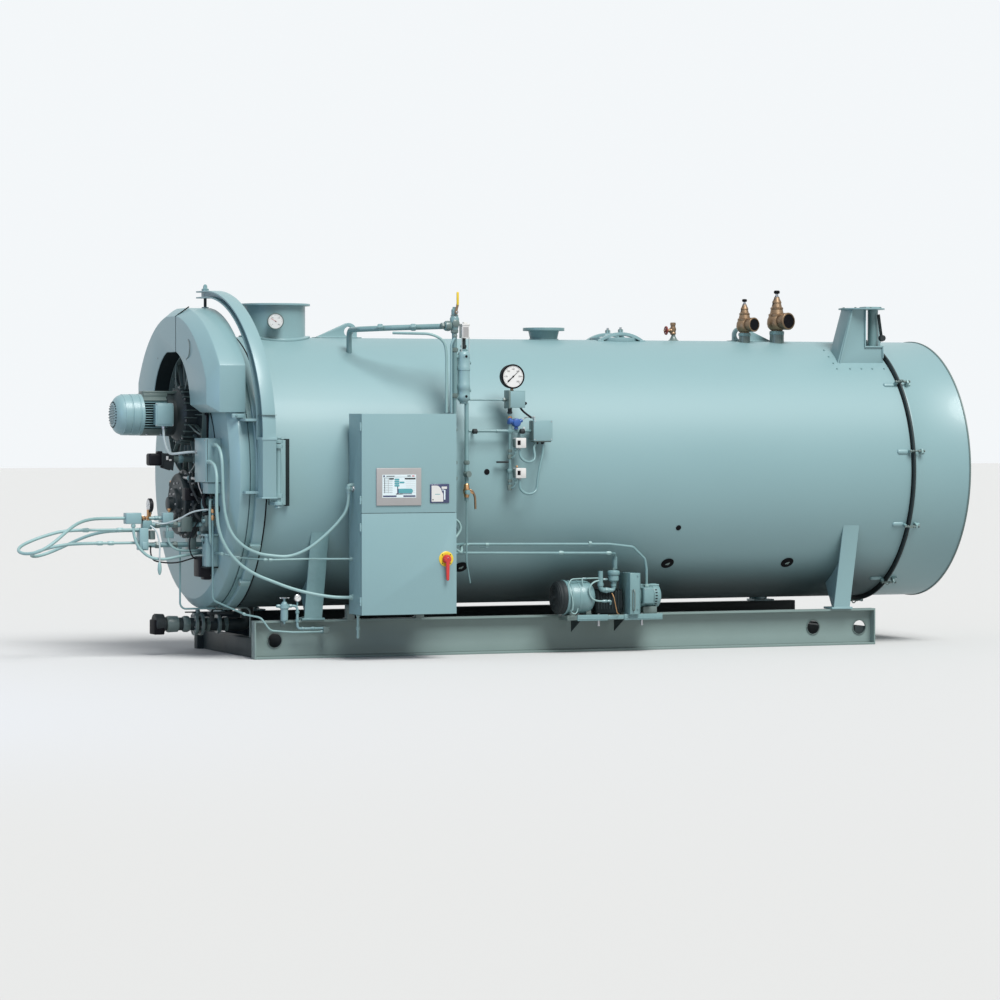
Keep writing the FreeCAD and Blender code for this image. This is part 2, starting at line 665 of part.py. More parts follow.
def davit_arm():
    """Curved I-section arm on a box post, with two lugs on the pin and a rod down to the shroud."""
    half = post_w / 2
    z_top = arm_z + arm_r
    c45 = math.cos(math.radians(45))
    s_end = arm_len + 70

    def curve(depth0, depth45, depth1):
        p = in_arm_plane(depth0, arm_z, -half)
        m = in_arm_plane(arm_r - (arm_r - depth45) * c45, arm_z + (arm_r - depth45) * c45, -half)
        q = in_arm_plane(arm_r, z_top - depth1, -half)
        return p, m, q

    ux, uy = arm_dir
    across = (-uy * post_w, ux * post_w, 0)

    def strip(outer, inner, z_out, z_in, width, shift):
        """Band between two curves, with its straight tip, width across the arm's plane."""
        po, mo, qo = outer
        pi, mi, qi = inner
        end_o = in_arm_plane(s_end, z_out, -half)
        end_i = in_arm_plane(s_end, z_in, -half)
        solid = extrude_wire([arc(po, mo, qo), line(qo, end_o), line(end_o, end_i), line(end_i, qi),
                              arc(qi, mi, pi), line(pi, po)],
                             (across[0] * width, across[1] * width, 0))
        solid.translate(V(across[0] * shift, across[1] * shift, 0))
        return solid

    t = arm_flange_t
    d0 = post_depth
    d45 = 88.0
    d1 = arm_tip_z
    top_flange = strip(curve(0, 0, 0), curve(t, t, t), z_top, z_top - t, 1.0, 0.0)
    low_flange = strip(curve(d0 - t, d45 - t, d1 - t), curve(d0, d45, d1), z_top - d1 + t, z_top - d1,
                       1.0, 0.0)
    web = strip(curve(t / 2, t / 2, t / 2), curve(d0 - t / 2, d45 - t / 2, d1 - t / 2), z_top - t / 2,
                z_top - d1 + t / 2, arm_web_t / post_w, 0.5 - arm_web_t / post_w / 2)
    post = box(post_x - half, post_x + half, post_outer_y, post_inner_y, post_z0, arm_z)
    joint = box(post_x - half - 8, post_x + half + 8, post_outer_y - 6, post_inner_y, arm_z - 12, arm_z + 12)
    lugs = []
    for z in (post_z0, bracket_z[1] - knuckle_t - knuckle_gap - lug_t):
        plate = box(post_x + half - 10, pin_x, pin_y - 30, pin_y + 30, z, z + lug_t)
        eye = rod((pin_x, pin_y, z), (pin_x, pin_y, z + lug_t), knuckle_r)
        hole = rod((pin_x, pin_y, z - 1), (pin_x, pin_y, z + lug_t + 1), pin_r + pin_clear)
        lugs.append(union([plate, eye]).cut(hole))
    straps = []
    for z in strap_zs:
        strap = box(head_rim_x - 70, post_x - half + 20, post_inner_y - 20, -900, z, z + 24)
        strap = strap.cut(shell_cut(r=shell_r))
        strap = strap.cut(shell_cut(front_flange_x - head_gap, 0, flange_r + 12))
        straps.append(strap)
    rod_top = z_top
    tip = (tip_x, 0)
    shroud_z = axis_z + math.sqrt(shroud_back_r ** 2 - shroud_flat ** 2)
    hanger = [rod((tip[0], tip[1], shroud_z), (tip[0], tip[1], rod_top + 60), 13),
              turned([(0, 32), (12, 32), (12, 20), (34, 20), (60, 10)], (tip[0], tip[1], rod_top), (0, 0, 1)),
              rod((tip[0], tip[1], shroud_z), (tip[0], tip[1], shroud_z + 14), 34)]
    return union([top_flange, low_flange, web, post, joint] + lugs + straps + hanger)


def hinge_bracket():
    """Back plate on the jacket, two knuckles and the pin that carries the front head's davit."""
    plate = box(pin_x - 49, pin_x + 107, -1320, -1200, bracket_z[0], bracket_z[1])
    plate = on_shell(plate)
    plate = plate.common(box(-4000, -2000, -1306, -1000, 0, 4000))
    parts = [plate]
    for z in (bracket_z[0], bracket_z[1] - knuckle_t):
        arm = box(pin_x - knuckle_r, pin_x + knuckle_r, pin_y, -1200, z, z + knuckle_t)
        eye = rod((pin_x, pin_y, z), (pin_x, pin_y, z + knuckle_t), knuckle_r)
        parts.append(on_shell(union([arm, eye])))
    parts.append(rod((pin_x, pin_y, bracket_z[0] - 12), (pin_x, pin_y, bracket_z[1] + 12), pin_r))
    return union(parts)


def fan_motor():
    """Finned motor with a domed fan cowl, on the front head's centre line."""
    body = rod((cowl_x1, 0, motor_z), (motor_x1, 0, motor_z), motor_r)
    cowl = turned([(0, 0.55 * cowl_r), (18, 0.8 * cowl_r), (52, cowl_r), (cowl_x1 - cowl_x0, cowl_r)],
                  (cowl_x0, 0, motor_z), (1, 0, 0))
    top = box(cowl_x1, motor_x1, -70, 70, motor_z + motor_r - 20, motor_z + motor_r + 28)
    mount = rod((motor_x1, 0, motor_z), (head_face_x, 0, motor_z), 285)
    return union([body, cowl, top, mount])


def motor_terminal_box():
    x0, x1 = -4012.0, -3832.0
    y = -math.sqrt(motor_r ** 2 - 90 ** 2)
    case = box(x0, x1, -290, y, motor_z - 110, motor_z + 110)
    return case.cut(rod((cowl_x1 - 1, 0, motor_z), (motor_x1 + 1, 0, motor_z), motor_r))


def burner_housing():
    """Burner drum on the furnace's axis, below the fan, with its stepped front cover."""
    z = axis_z - furnace_drop
    return turned([(0, 330), (90, 330), (90, 290), (150, 290), (150, 150), (190, 150), (190, 70), (240, 70)],
                  (head_face_x, 0, z), (-1, 0, 0))


def head_junction_box():
    case = box(-3724, head_face_x, -945, -600, 1659, 2072)
    lower = box(-3700, head_face_x, -930, -760, 1555, 1659)
    return union([case, lower])


def flame_scanner():
    """Scanner head on a stub and bracket on the head's centre line."""
    stub = rod((head_face_x, -120, 1868), (-3840, -120, 1868), 30)
    bracket = box(-3900, -3820, -170, -70, 1800, 1920)
    head = box(-4044, -3900, -182, -58, 1808, 1925)
    return union([stub, bracket, head])


def actuators():
    """Two dark drive boxes and the linkage plate on the burner's near side."""
    upper = box(-3790, head_face_x, -500, -400, 1480, 1600)
    lower = box(-3720, head_face_x, -700, -520, 770, 960)
    duct = box(-3690, head_face_x, -840, -705, 860, 1170)
    return group([upper, lower, duct])


def fuel_train():
    """Oil manifolds with their valves and blocks, standing out of the head on two pipes."""
    y = train_y
    pieces = [
        rod((head_face_x, y, 1256), (-4170, y, 1256), 24),
        rod((head_face_x, y, 1068), (-4170, y, 1068), 24),
        box(train_block_x, -4150, y - 60, y + 60, 1020, 1230),
        box(-4365, -4215, y - 50, y + 50, 1268, 1372),
        rod((-4215, y, 1320), (-3900, y, 1320), 17),
        box(-4010, -3905, y - 55, y + 55, 1262, 1372),
        box(-4200, -4110, y - 40, y + 40, 1215, 1300),
        box(-3830, -3720, y - 60, y + 60, 1190, 1330),
        box(-3760, -3680, y - 50, y + 50, 1010, 1130),
        rod((-4119, y, 1300), (-4119, y, 1385), 11),
        rod((-4137, y, 1440), (-4101, y, 1440), 66),
        rod((train_block_x, hose_upper_route[0][1], 1215), hose_upper_route[0], 13),
        rod((train_block_x, hose_lower_route[0][1], 1090), hose_lower_route[0], 13),
    ]
    return union(pieces)


def head_tubes():
    """Rigid tubes that leave the burner: fuel return, drain and atomizing air, each up to its union."""
    drop = pipe([(head_face_x, -880, 1410), (-3640, -880, 1410), (-3640, -880, 560), (-3336, -900, 424)],
                tube_r, tube_bend)
    drain = pipe([(-3827, train_y, 1044), (-3827, train_y, 462), (-3480, train_y, 462)], tube_r, tube_bend)
    air = pipe([(-3608, -840, 1000), (-3608, -1070, 1000), (-3460, -1108, 962), (-3180, -1108, 938)],
               tube_r, tube_bend)
    return group([drop, drain, air])


def low_lines():
    """The same tubes' boiler side: over the near rail, down to the skid, and to the cabinet."""
    block = box(-2600, -2540, -1032, -rail_y, 232, 300)
    drop = pipe([(-3324, -902, 419), (-3210, -1010, 395), (-3120, -1010, 272), (-2900, -1010, 252),
                 (-2600, -1010, 252)], tube_r, 40)
    drain_x = -rail_end + cross_w
    drain = pipe([(-3468, train_y, 462), (drain_x, train_y, 462), (drain_x, train_y, cross_h)], tube_r,
                 tube_bend)
    air = pipe([(-3168, -1108, 937), (-2800, -1180, 944), (-2500, -1400, 948), (cab_x0, -1400, 948)],
               tube_r, 30)
    return [union([drop, block]), drain, air]


# ---------------------------------------------------------------- bottom blowdown
def blowdown_piping():
    """Feed and drain line out of the shell's bottom front, with a flanged valve and a capped end."""
    z = 300.0
    pieces = [
        rod((-3850, 0, z), (-3180, 0, z - 20), 62),
        rod((-3560, 0, z - 8), (-3530, 0, z - 8), 110),
        rod((-3500, 0, z - 8), (-3470, 0, z - 8), 110),
        rod((-3330, 0, z - 14), (-3300, 0, z - 14), 95),
        box(-3968, -3850, -85, 85, 201, 386),
        rod((-3515, 0, z), (-3515, 0, 408), 16),
        box(-3640, -3500, -14, 14, 400, 412),
    ]
    low = 280.0
    riser = pipe([(-3180, 0, low), (-3020, 0, low), (-3020, 0, axis_z - shell_r + 40)], 62, 90)
    return union(pieces + [on_shell(riser)])


# ---------------------------------------------------------------- cabinet
def control_cabinet():
    """Sheet-metal case in two compartments, carried on two arms from the near rail."""
    w = cab_wall
    outer = box(cab_x0, cab_x1, cab_front, cab_y1, cab_z0, cab_z1)
    low = box(cab_x0 + w, cab_x1 - w, cab_front - 1, cab_y1 - w, cab_z0 + w, cab_split_z - w / 2)
    high = box(cab_x0 + w, cab_x1 - w, cab_front - 1, cab_y1 - w, cab_split_z + w / 2, cab_z1 - w)
    end = conduit_upper_boiler_route[-1]
    gland = union([rod((cab_x0, end[1], end[2] + 40), (end[0], end[1], end[2] + 40), 20),
                   rod(end, (end[0], end[1], end[2] + 60), 20)])
    hinges = []
    for z in upper_hinge_zs + lower_hinge_zs:
        h = door_knuckle_h
        px = door_pin_x
        py = door_pin_y
        hinges.append(rod((px, py, z - 2 * h), (px, py, z + 2 * h), door_pin_r))
        for z0 in (z - 2 * h, z + h + 1):
            z1 = z0 + h - 1
            hinges.append(rod((px, py, z0), (px, py, z1), door_knuckle_r))
            hinges.append(box(px - 4, cab_x0 - door_gap, py, cab_front + 40, z0, z1))
            hinges.append(box(px - 4, cab_x0, cab_front + door_gap, cab_front + 40, z0, z1))
    return union([outer.cut(low).cut(high), gland] + hinges)


def cabinet_arms():
    """Brackets from the cabinet's back to the near rail and to the shell."""
    xs = (cab_x0 + 120, cab_x1 - 120)
    low = []
    for x in xs:
        reach = box(x - 40, x + 40, cab_y1, -rail_y, cab_z0 + 30, cab_z0 + 70)
        post = box(x - 40, x + 40, -rail_y - 60, -rail_y, rail_h, cab_z0 + 30)
        foot = box(x - 40, x + 40, -rail_y - 60, -rail_y + 60, rail_h, rail_h + 12)
        low.append(union([reach, post, foot]))
    high = [on_shell(box(x - 30, x + 30, cab_y1, -1180, 2010, 2050)) for x in xs]
    return group(low + high)


def cabinet_door(z0, z1, hinge_zs):
    """Door leaf with a return all round, hollow behind, and its knuckles on the cabinet's hinge pins."""
    leaf = box(cab_x0, cab_x1, cab_y0, cab_y0 + door_t, z0, z1)
    pocket = box(cab_x0 + 12, cab_x1 - 12, cab_y0 + 6, cab_y0 + door_t + 1, z0 + 12, z1 - 12)
    knuckles = []
    for z in hinge_zs:
        low = z - door_knuckle_h
        high = z + door_knuckle_h
        barrel = rod((door_pin_x, door_pin_y, low), (door_pin_x, door_pin_y, high), door_knuckle_r)
        wing = box(door_pin_x, cab_x0, door_pin_y - 4, door_pin_y + 4, low, high)
        hole = rod((door_pin_x, door_pin_y, low), (door_pin_x, door_pin_y, high), door_pin_r + pin_clear)
        knuckles.append(union([barrel, wing]).cut(hole))
    return union([leaf.cut(pocket)] + knuckles)


def cabinet_screen():
    """Bezel of the operator screen and the smaller controller beside it, proud of the upper door."""
    screen = box(-2303, -1858, cab_y0 - 14, cab_y0, 1446, 1796)
    small = box(-1769, -1579, cab_y0 - 10, cab_y0, 1468, 1645)
    return group([screen, small])


def disconnect_plate():
    plate = rod((switch_x, cab_y0 - 6, switch_z), (switch_x, cab_y0, switch_z), 70)
    boss = rod((switch_x, cab_y0 - 22, switch_z), (switch_x, cab_y0 - 6, switch_z), 16)
    return union([plate, boss])


def disconnect_handle():
    """Rotary lever of the main disconnect, hanging down when it is on."""
    hub = ring((switch_x, cab_y0 - 46, switch_z), (switch_x, cab_y0 - 11, switch_z), 34, 16 + pin_clear)
    face = rod((switch_x, cab_y0 - 56, switch_z), (switch_x, cab_y0 - 46, switch_z), 34)
    grip = box(switch_x - 17, switch_x + 17, cab_y0 - 56, cab_y0 - 30, switch_z - 200, switch_z - 20)
    grip = grip.cut(rod((switch_x, cab_y0 - 70, switch_z), (switch_x, cab_y0, switch_z), 20))
    return union([hub, face, grip])


# ---------------------------------------------------------------- water column and gauge
def water_column():
    """Cast chamber with domed ends and plug bosses."""
    body = turned([(0, 40), (18, col_r), (col_z[1] - col_z[0] - 18, col_r), (col_z[1] - col_z[0], 40)],
                  (col_x, col_y, col_z[0]), (0, 0, 1))
    plugs = [rod((col_x, col_y, z), (col_x + 44, col_y - 62, z), 20) for z in (2445, 2850)]
    return union([body] + plugs)


def level_probe():
    """Electrode head above the column: dark neck, pale housing."""
    neck = rod((col_x, col_y, col_z[1]), (col_x, col_y, 3020), 20)
    case = box(col_x - 32, col_x + 48, col_y - 40, col_y + 40, 3020, 3163)
    return union([neck, case])


def column_piping():
    """Steam and water legs between the shell and the column, with the cross and its stop valve."""
    x = leg_x
    riser = rod((x, pipe_y, 2440), (x, pipe_y, 3210), 24)
    cross = turned([(0, 30), (50, 44), (110, 44), (150, 26)], (x, pipe_y, 3085), (0, 0, 1))
    steam = pipe([(x, pipe_y, main_pipe_z), (-1950, pipe_y + 250, 3108), (-2190, -900, 3098),
                  (-2190, -600, 3098), (-2190, -600, 2800)], 26, 60)
    steam = on_shell(steam)
    unions = [rod((x - 100, pipe_y, main_pipe_z), (x - 40, pipe_y, main_pipe_z), 40)]
    ties = [rod((x, pipe_y, z), (col_x, pipe_y, z), 20).cut(water_column()) for z in (2455, 2835)]
    fall = rod((x, pipe_y, 2440), (x, pipe_y, 1650), 18)
    wall = on_shell(rod((x, pipe_y, 2150), (x, -900, 2150), 24))
    return union([riser, cross, steam, fall, wall] + unions + ties)


def ball_valve():
    """Vent ball valve on top of the cross, with its stem towards the near side."""
    body = turned([(0, 26), (16, 30), (58, 30), (70, 18), (84, 18)], (leg_x, pipe_y, ball_z - 35), (0, 0, 1))
    stem = rod((leg_x, pipe_y, ball_z), (leg_x, pipe_y - 58, ball_z), ball_stem_r)
    neck = rod((leg_x, pipe_y, ball_z), (leg_x, pipe_y - 38, ball_z), 16)
    return union([body, stem, neck])


def ball_valve_lever():
    """Quarter-turn lever on the ball valve's stem, standing up in line with the pipe."""
    y0 = pipe_y - 54
    hub = ring((leg_x, y0, ball_z), (leg_x, y0 + 8, ball_z), 18, ball_stem_r + pin_clear)
    neck = prism([(leg_x - 9, y0, ball_z + 12), (leg_x + 9, y0, ball_z + 12), (leg_x + 20, y0, ball_z + 66),
                  (leg_x + 4, y0, ball_z + 66)], (0, 8, 0))
    grip = box(leg_x + 2, leg_x + 22, y0 - 4, y0 + 12, ball_z + 66, ball_z + 190)
    return union([hub, neck, grip])


def pressure_gauge():
    stem = rod((gauge_x + 20, col_y, 2516), (gauge_x + 20, col_y, gauge_z - gauge_r + 10), 14)
    case = rod((gauge_x, col_y - 45, gauge_z), (gauge_x, col_y + 35, gauge_z), gauge_r)
    return union([case, stem])


def pressure_manifold():
    """Vertical header under the gauge, with its siphon box, cross pipe and wall clamps."""
    x = header_x
    y = col_y
    box_top = box(-872, -718, y - 60, y + 60, 2356, 2516)
    header = rod((x, y, 1578), (x, y, 2356), header_r)
    link = rod((col_x, y, 2432), (-872, y, 2432), 9).cut(water_column())
    rail = rod((drain_leg_x + 20, y, 2137), (-628, y, 2137), 14)
    stand = [on_shell(rod((sx, y, 2137), (sx, -1000, 2137), 12)) for sx in (-1180, -700)]
    foot = on_shell(rod((x, y, 1760), (x, -1200, 1760), 12))
    return union([box_top, header, link, rail] + stand + [foot])


def pressure_controls():
    """Two pressure switches, the transmitter and the stubs that join them to the header."""
    y = col_y
    parts = []
    for z in (2023, 1738):
        stub = pipe([(-790, y - 50, z - 48), (-790, y - 50, z - 110), (header_x, y, z - 110)], 8, 20)
        parts.append(union([box(-822, -718, y - 90, y - 10, z - 48, z + 48), stub]))
    parts.append(union([rod((header_x, y, 2215), (-795, y - 20, 2215), 16),
                        rod((-790, y - 60, 2215), (-790, y + 30, 2215), 42)]))
    header = rod((header_x, y, 1578), (header_x, y, 2356), header_r)
    return group([part.cut(header) for part in parts])


def controls_junction_box():
    y = col_y
    case = box(-628, -440, y - 60, y + 50, 2045, 2236)
    stand = on_shell(box(-560, -510, y + 50, -1000, 2100, 2160))
    return union([case, stand])


def column_drain():
    """Bronze drain cock below the column and its tube down to the skid."""
    x = drain_leg_x
    y = col_y
    cock = union([rod((x, y, 1650), (x, y, 1480), 20), rod((x - 5, y - 60, 1560), (x - 5, y + 10, 1560), 22)])
    tube = pipe([(x, y, 1480), (x, y, 900), (x + 60, y + 60, 700)], 8, 60)
    return union([cock, tube])


def column_drops():
    """Second leg beside the cabinet's edge, from the column to the drain cock."""
    return union([rod((drain_leg_x, col_y, 1650), (drain_leg_x, col_y, col_z[0]), 20)])


# ---------------------------------------------------------------- rigid conduits along the shell
def conduit_runs():
    """Two conduits from the cabinet to the compressor, one over its motor and one to its tank."""
    upper = pipe([(cab_x1, -1500, 1070), (cab_x1 + 60, -1500, 1070), (-1300, run_y, 1068), (200, run_y, 1050),
                  (450, run_y, 1020), (590, -1280, 900), (614, -1265, 800), (614, -1265, 625)], 13, 60)
    lower = pipe([(cab_x1, -1480, 990), (cab_x1 + 60, -1480, 990), (-1300, run_y + 10, 984),
                  (190, run_y + 10, 964), (330, -1160, 950), (340, -1130, 860), (340, -1130, 620)], 13, 40)
    return group([upper, lower])


# ---------------------------------------------------------------- air compressor module
def compressor_base():
    """Two channel pieces on brackets bolted to the near rail."""
    z0 = comp_base_z
    z1 = z0 + comp_base_t
    plate = box(-211, 782, comp_y - 110, comp_y + 110, z0, z1)
    arms = [box(x - 40, x + 40, comp_y + 110, -rail_y, z0, z1) for x in (123, 576)]
    drops = [box(x - 12, x + 12, comp_y - 100, comp_y - 76, z0 - 50, z0) for x in (123, 576)]
    return union([plate] + arms + drops)


def compressor_tank():
    """Air-oil tank lying along the skid, with its saddle blocks."""
    z = comp_base_z + comp_base_t
    r = 160.0
    tank = turned([(0, 150), (14, r), (350, r), (392, 90)], (-300, comp_y, z + r + 10), (1, 0, 0))
    feet = [box(x - 30, x + 30, comp_y - 80, comp_y + 80, z, z + 60) for x in (-150, 0)]
    return union([tank] + feet)


def compressor_motor():
    z = 540.0
    body = rod((545, comp_y, z), (770, comp_y, z), 118)
    end = turned([(0, 118), (18, 90)], (770, comp_y, z), (1, 0, 0))
    foot = box(580, 740, comp_y - 90, comp_y + 90, comp_base_z + comp_base_t, z - 60)
    terminal = box(560, 668, comp_y - 170, comp_y - 60, 470, 625)
    return union([body, end, foot, terminal])


def compressor_pump():
    """Vane pump behind the guard, with its inlet and outlet elbows."""
    base = comp_base_z + comp_base_t
    block = box(100, 400, comp_y - 40, comp_y + 100, base, 620)
    elbow = pipe([(144, comp_y - 60, 790), (144, comp_y - 60, 600), (250, comp_y - 60, 600)], 24, 30)
    return union([block, elbow])


def compressor_filter():
    """Inlet filter: cap and bowl on a bent stub."""
    x = 275.0
    stub = pipe([(x - 25, comp_y - 60, 600), (x, comp_y - 60, 600), (x, comp_y - 60, 690)], 20, 18)
    bowl = turned([(0, 30), (10, 46), (60, 46), (60, 52), (100, 52), (112, 30)], (x, comp_y - 60, 680),
                  (0, 0, 1))
    return union([stub, bowl])


def belt_guard():
    return box(422, 523, comp_y - 165, comp_y + 100, comp_base_z + comp_base_t, 765)


# ---------------------------------------------------------------- air regulator
def air_regulator():
    """Filter-regulator on a line along the rail, with a small gauge beside it."""
    x = -2981.0
    y = -1010.0
    bowl = turned([(0, 8), (26, 8), (26, 34), (150, 34), (150, 44), (190, 44), (190, 12), (240, 12)],
                  (x, y, 330), (0, 0, 1))
    wheel = rod((x, y, 570), (x, y, 582), 34)
    left = rod((x - 80, y, 500), (x, y, 500), 12)
    line_right = pipe([(x, y, 500), (x + 128, y, 500), (x + 128, y, 284), (-2600, y, 284)], 12, 40)
    gauge = rod((x + 128, y - 20, 572), (x + 128, y + 16, 572), 34)
    neck = rod((x + 128, y, 500), (x + 128, y, 545), 8)
    stay = box(x - 20, x + 20, y, -rail_y, 400, 420)
    clip = box(x - 20, x + 20, -rail_y - 14, -rail_y, rail_h - 60, 420)
    return union([bowl, wheel, left, line_right, gauge, neck, stay, clip])


# ---------------------------------------------------------------- nodes
def build():
    rail = skid_rail()
    return {
        "skid_rail_near": rail,
        "skid_rail_far": mirrored(rail),
        "skid_cross_members": cross_members(),
        "front_saddle": saddle(saddle_xs[0]),
        "rear_saddle": saddle(saddle_xs[1]),
        "shell_jacket": shell_jacket(),
        "front_tube_sheet": front_tube_sheet(),
        "rear_tube_sheet": rear_tube_sheet(),
        "furnace_tube": furnace_tube(),
        "front_flange_ring": front_flange_ring(),
        "rear_flange_ring": rear_flange_ring(),
        "rear_head": rear_head(),
        "rear_seam_clamps": rear_seam_clamps(),
        "stack_outlet": stack_outlet(),
        "stack_thermometer": stack_thermometer(),
        "lifting_lugs": lifting_lugs(),
        "steam_nozzle": steam_nozzle(),
        "manway": manway(),
        "vent_valve": vent_valve(),
        "vent_handwheel": vent_handwheel(),
        "safety_valves": group([safety_valve(2173.0, safety_y, 3090.0, 290.0, 56.0),
                                safety_valve(2533.0, safety_y, 3105.0, 350.0, 72.0)]),
        "rear_davit_base": rear_davit_base(),
        "hinge_bracket": hinge_bracket(),
        "blowdown_piping": blowdown_piping(),
        "control_cabinet": control_cabinet(),
        "cabinet_arms": cabinet_arms(),
        "cabinet_upper_door": cabinet_door(cab_split_z + door_gap / 2, cab_z1, upper_hinge_zs),
        "cabinet_lower_door": union([cabinet_door(cab_z0, cab_split_z - door_gap / 2, lower_hinge_zs),
                                     disconnect_plate()]),
        "cabinet_screen": cabinet_screen(),
        "disconnect_handle": disconnect_handle(),
        "water_column": water_column(),
        "level_probe": level_probe(),
        "column_piping": union([column_piping(), ball_valve()]),
        "ball_valve_lever": ball_valve_lever(),
        "column_drain": union([column_drain(), column_drops()]),
        "pressure_gauge": pressure_gauge(),
        "pressure_manifold": pressure_manifold(),
        "pressure_controls": pressure_controls(),
        "controls_junction_box": controls_junction_box(),
        "conduit_runs": conduit_runs(),
        "compressor": union([compressor_base(), compressor_tank(), compressor_motor(), compressor_pump(),
                             compressor_filter(), belt_guard()]),
        "air_regulator_lines": group([air_regulator()] + low_lines()),
        "front_head": front_head(),
        "air_shroud": air_shroud(),
        "davit_arm": davit_arm(),
        "fan_motor": union([fan_motor(), motor_terminal_box()]),
        "burner_housing": burner_housing(),
        "head_junction_box": head_junction_box(),
        "fuel_train": fuel_train(),
        "burner_drives": group([flame_scanner(), actuators()]),
        "head_tubes": head_tubes(),
        "oil_hose_upper": cord("oil_hose_upper", hose_upper_route, hose_r),
        "oil_hose_lower": cord("oil_hose_lower", hose_lower_route, hose_r),
        "conduit_upper_head": cord("conduit_upper_head", conduit_upper_head_route, conduit_r),
        "conduit_upper_boiler": cord("conduit_upper_boiler", conduit_upper_boiler_route, conduit_r),
        "conduit_lower_head": cord("conduit_lower_head", conduit_lower_head_route, conduit_r),
        "conduit_lower_boiler": cord("conduit_lower_boiler", conduit_lower_boiler_route, conduit_r),
        "motor_lead": cord("motor_lead", motor_lead_route, lead_r),
    }


os.makedirs("parts", exist_ok=True)
nodes = build()
for name, shape in nodes.items():
    shape.exportStep("parts/%s.step" % name)
    print(name, "solids", len(shape.Solids), "volume %.0f" % (shape.Volume / 1e3), "valid", shape.isValid())
print("nodes", len(nodes))
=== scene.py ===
import json
import math

import bmesh
import bpy
import numpy as np
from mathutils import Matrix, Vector

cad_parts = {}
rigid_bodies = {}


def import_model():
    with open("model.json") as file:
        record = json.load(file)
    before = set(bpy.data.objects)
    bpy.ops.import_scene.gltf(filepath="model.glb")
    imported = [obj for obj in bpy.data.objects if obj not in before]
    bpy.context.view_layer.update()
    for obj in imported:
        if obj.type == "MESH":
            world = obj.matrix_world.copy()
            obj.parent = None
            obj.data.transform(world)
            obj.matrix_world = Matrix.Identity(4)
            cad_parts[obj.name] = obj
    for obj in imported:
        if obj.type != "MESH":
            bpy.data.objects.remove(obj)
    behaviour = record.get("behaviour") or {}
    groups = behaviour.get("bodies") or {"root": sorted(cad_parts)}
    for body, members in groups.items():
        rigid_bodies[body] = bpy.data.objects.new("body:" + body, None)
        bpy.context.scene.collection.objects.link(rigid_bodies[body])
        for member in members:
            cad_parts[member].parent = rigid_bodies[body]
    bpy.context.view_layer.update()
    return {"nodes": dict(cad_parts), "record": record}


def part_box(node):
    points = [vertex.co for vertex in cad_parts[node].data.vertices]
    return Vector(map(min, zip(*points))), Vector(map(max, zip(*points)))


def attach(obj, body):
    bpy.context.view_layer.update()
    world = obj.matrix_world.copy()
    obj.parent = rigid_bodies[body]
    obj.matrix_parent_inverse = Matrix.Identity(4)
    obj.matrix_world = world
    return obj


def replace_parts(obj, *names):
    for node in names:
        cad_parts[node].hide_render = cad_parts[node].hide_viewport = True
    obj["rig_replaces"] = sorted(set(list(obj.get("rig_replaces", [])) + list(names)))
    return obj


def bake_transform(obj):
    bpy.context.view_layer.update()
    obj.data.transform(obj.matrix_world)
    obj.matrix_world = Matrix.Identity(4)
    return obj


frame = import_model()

print("frame loaded,", len(frame["nodes"]), "nodes")

tau = 2 * math.pi
jacketBox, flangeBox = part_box("shell_jacket"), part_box("front_flange_ring")
axisZ = (jacketBox[0].z + jacketBox[1].z) / 2       # height of the boiler's axis
shellR = (jacketBox[1].z - jacketBox[0].z) / 2      # outside of the jacket
flangeR = (flangeBox[1].z - flangeBox[0].z) / 2     # outside of the flange rings
headFace = -3.575                                   # front of the head's plate

# Directions: the boiler's axis runs along x and its near side looks towards -y
toRear, toFar, upward = (1, 0, 0), (0, 1, 0), (0, 0, 1)
toFront, toNear, downward = (-1, 0, 0), (0, -1, 0), (0, 0, -1)


# Shader maths: one socket with Python's operators, and one method for any other node.
class Channel:
    def __init__(self, tree, socket=None):
        self.tree = tree
        self.socket = socket

    def node(self, kind, settings=None, inputs=None, out=0):
        made = self.tree.nodes.new("ShaderNode" + kind)
        for name, value in (settings or {}).items():
            if name == "stops":
                while len(made.color_ramp.elements) < len(value):
                    made.color_ramp.elements.new(1.0)
                for stop, (place, shade) in zip(made.color_ramp.elements, value):
                    stop.position = place
                    stop.color = (shade, shade, shade, 1)
            else:
                setattr(made, name, value)
        for name, value in (inputs or {}).items():
            if isinstance(value, Channel):
                self.tree.links.new(value.socket, made.inputs[name])
            else:
                made.inputs[name].default_value = value
        return Channel(self.tree, made.outputs[out])

    def maths(self, operation, first, second):
        return self.node("Math", {"operation": operation}, {0: first, 1: second})

    def __add__(self, other): return self.maths("ADD", self, other)
    def __radd__(self, other): return self.maths("ADD", other, self)
    def __sub__(self, other): return self.maths("SUBTRACT", self, other)
    def __rsub__(self, other): return self.maths("SUBTRACT", other, self)
    def __mul__(self, other): return self.maths("MULTIPLY", self, other)
    def __rmul__(self, other): return self.maths("MULTIPLY", other, self)
    def __truediv__(self, other): return self.maths("DIVIDE", self, other)
    def __rtruediv__(self, other): return self.maths("DIVIDE", other, self)
    def __gt__(self, other): return self.maths("GREATER_THAN", self, other)
    def __lt__(self, other): return self.maths("LESS_THAN", self, other)


def noise(pen, scale, detail=3.0, rough=0.5):
    # cloudy value from 0 to 1 over the object's own coordinates
    place = pen.node("TexCoord", out="Object")
    return pen.node("TexNoise", inputs={"Vector": place, "Scale": scale, "Detail": detail, "Roughness": rough})


def blendColours(pen, share, first, second):
    return pen.node("Mix", {"data_type": "RGBA"}, {0: share, 6: first, 7: second}, out=2)


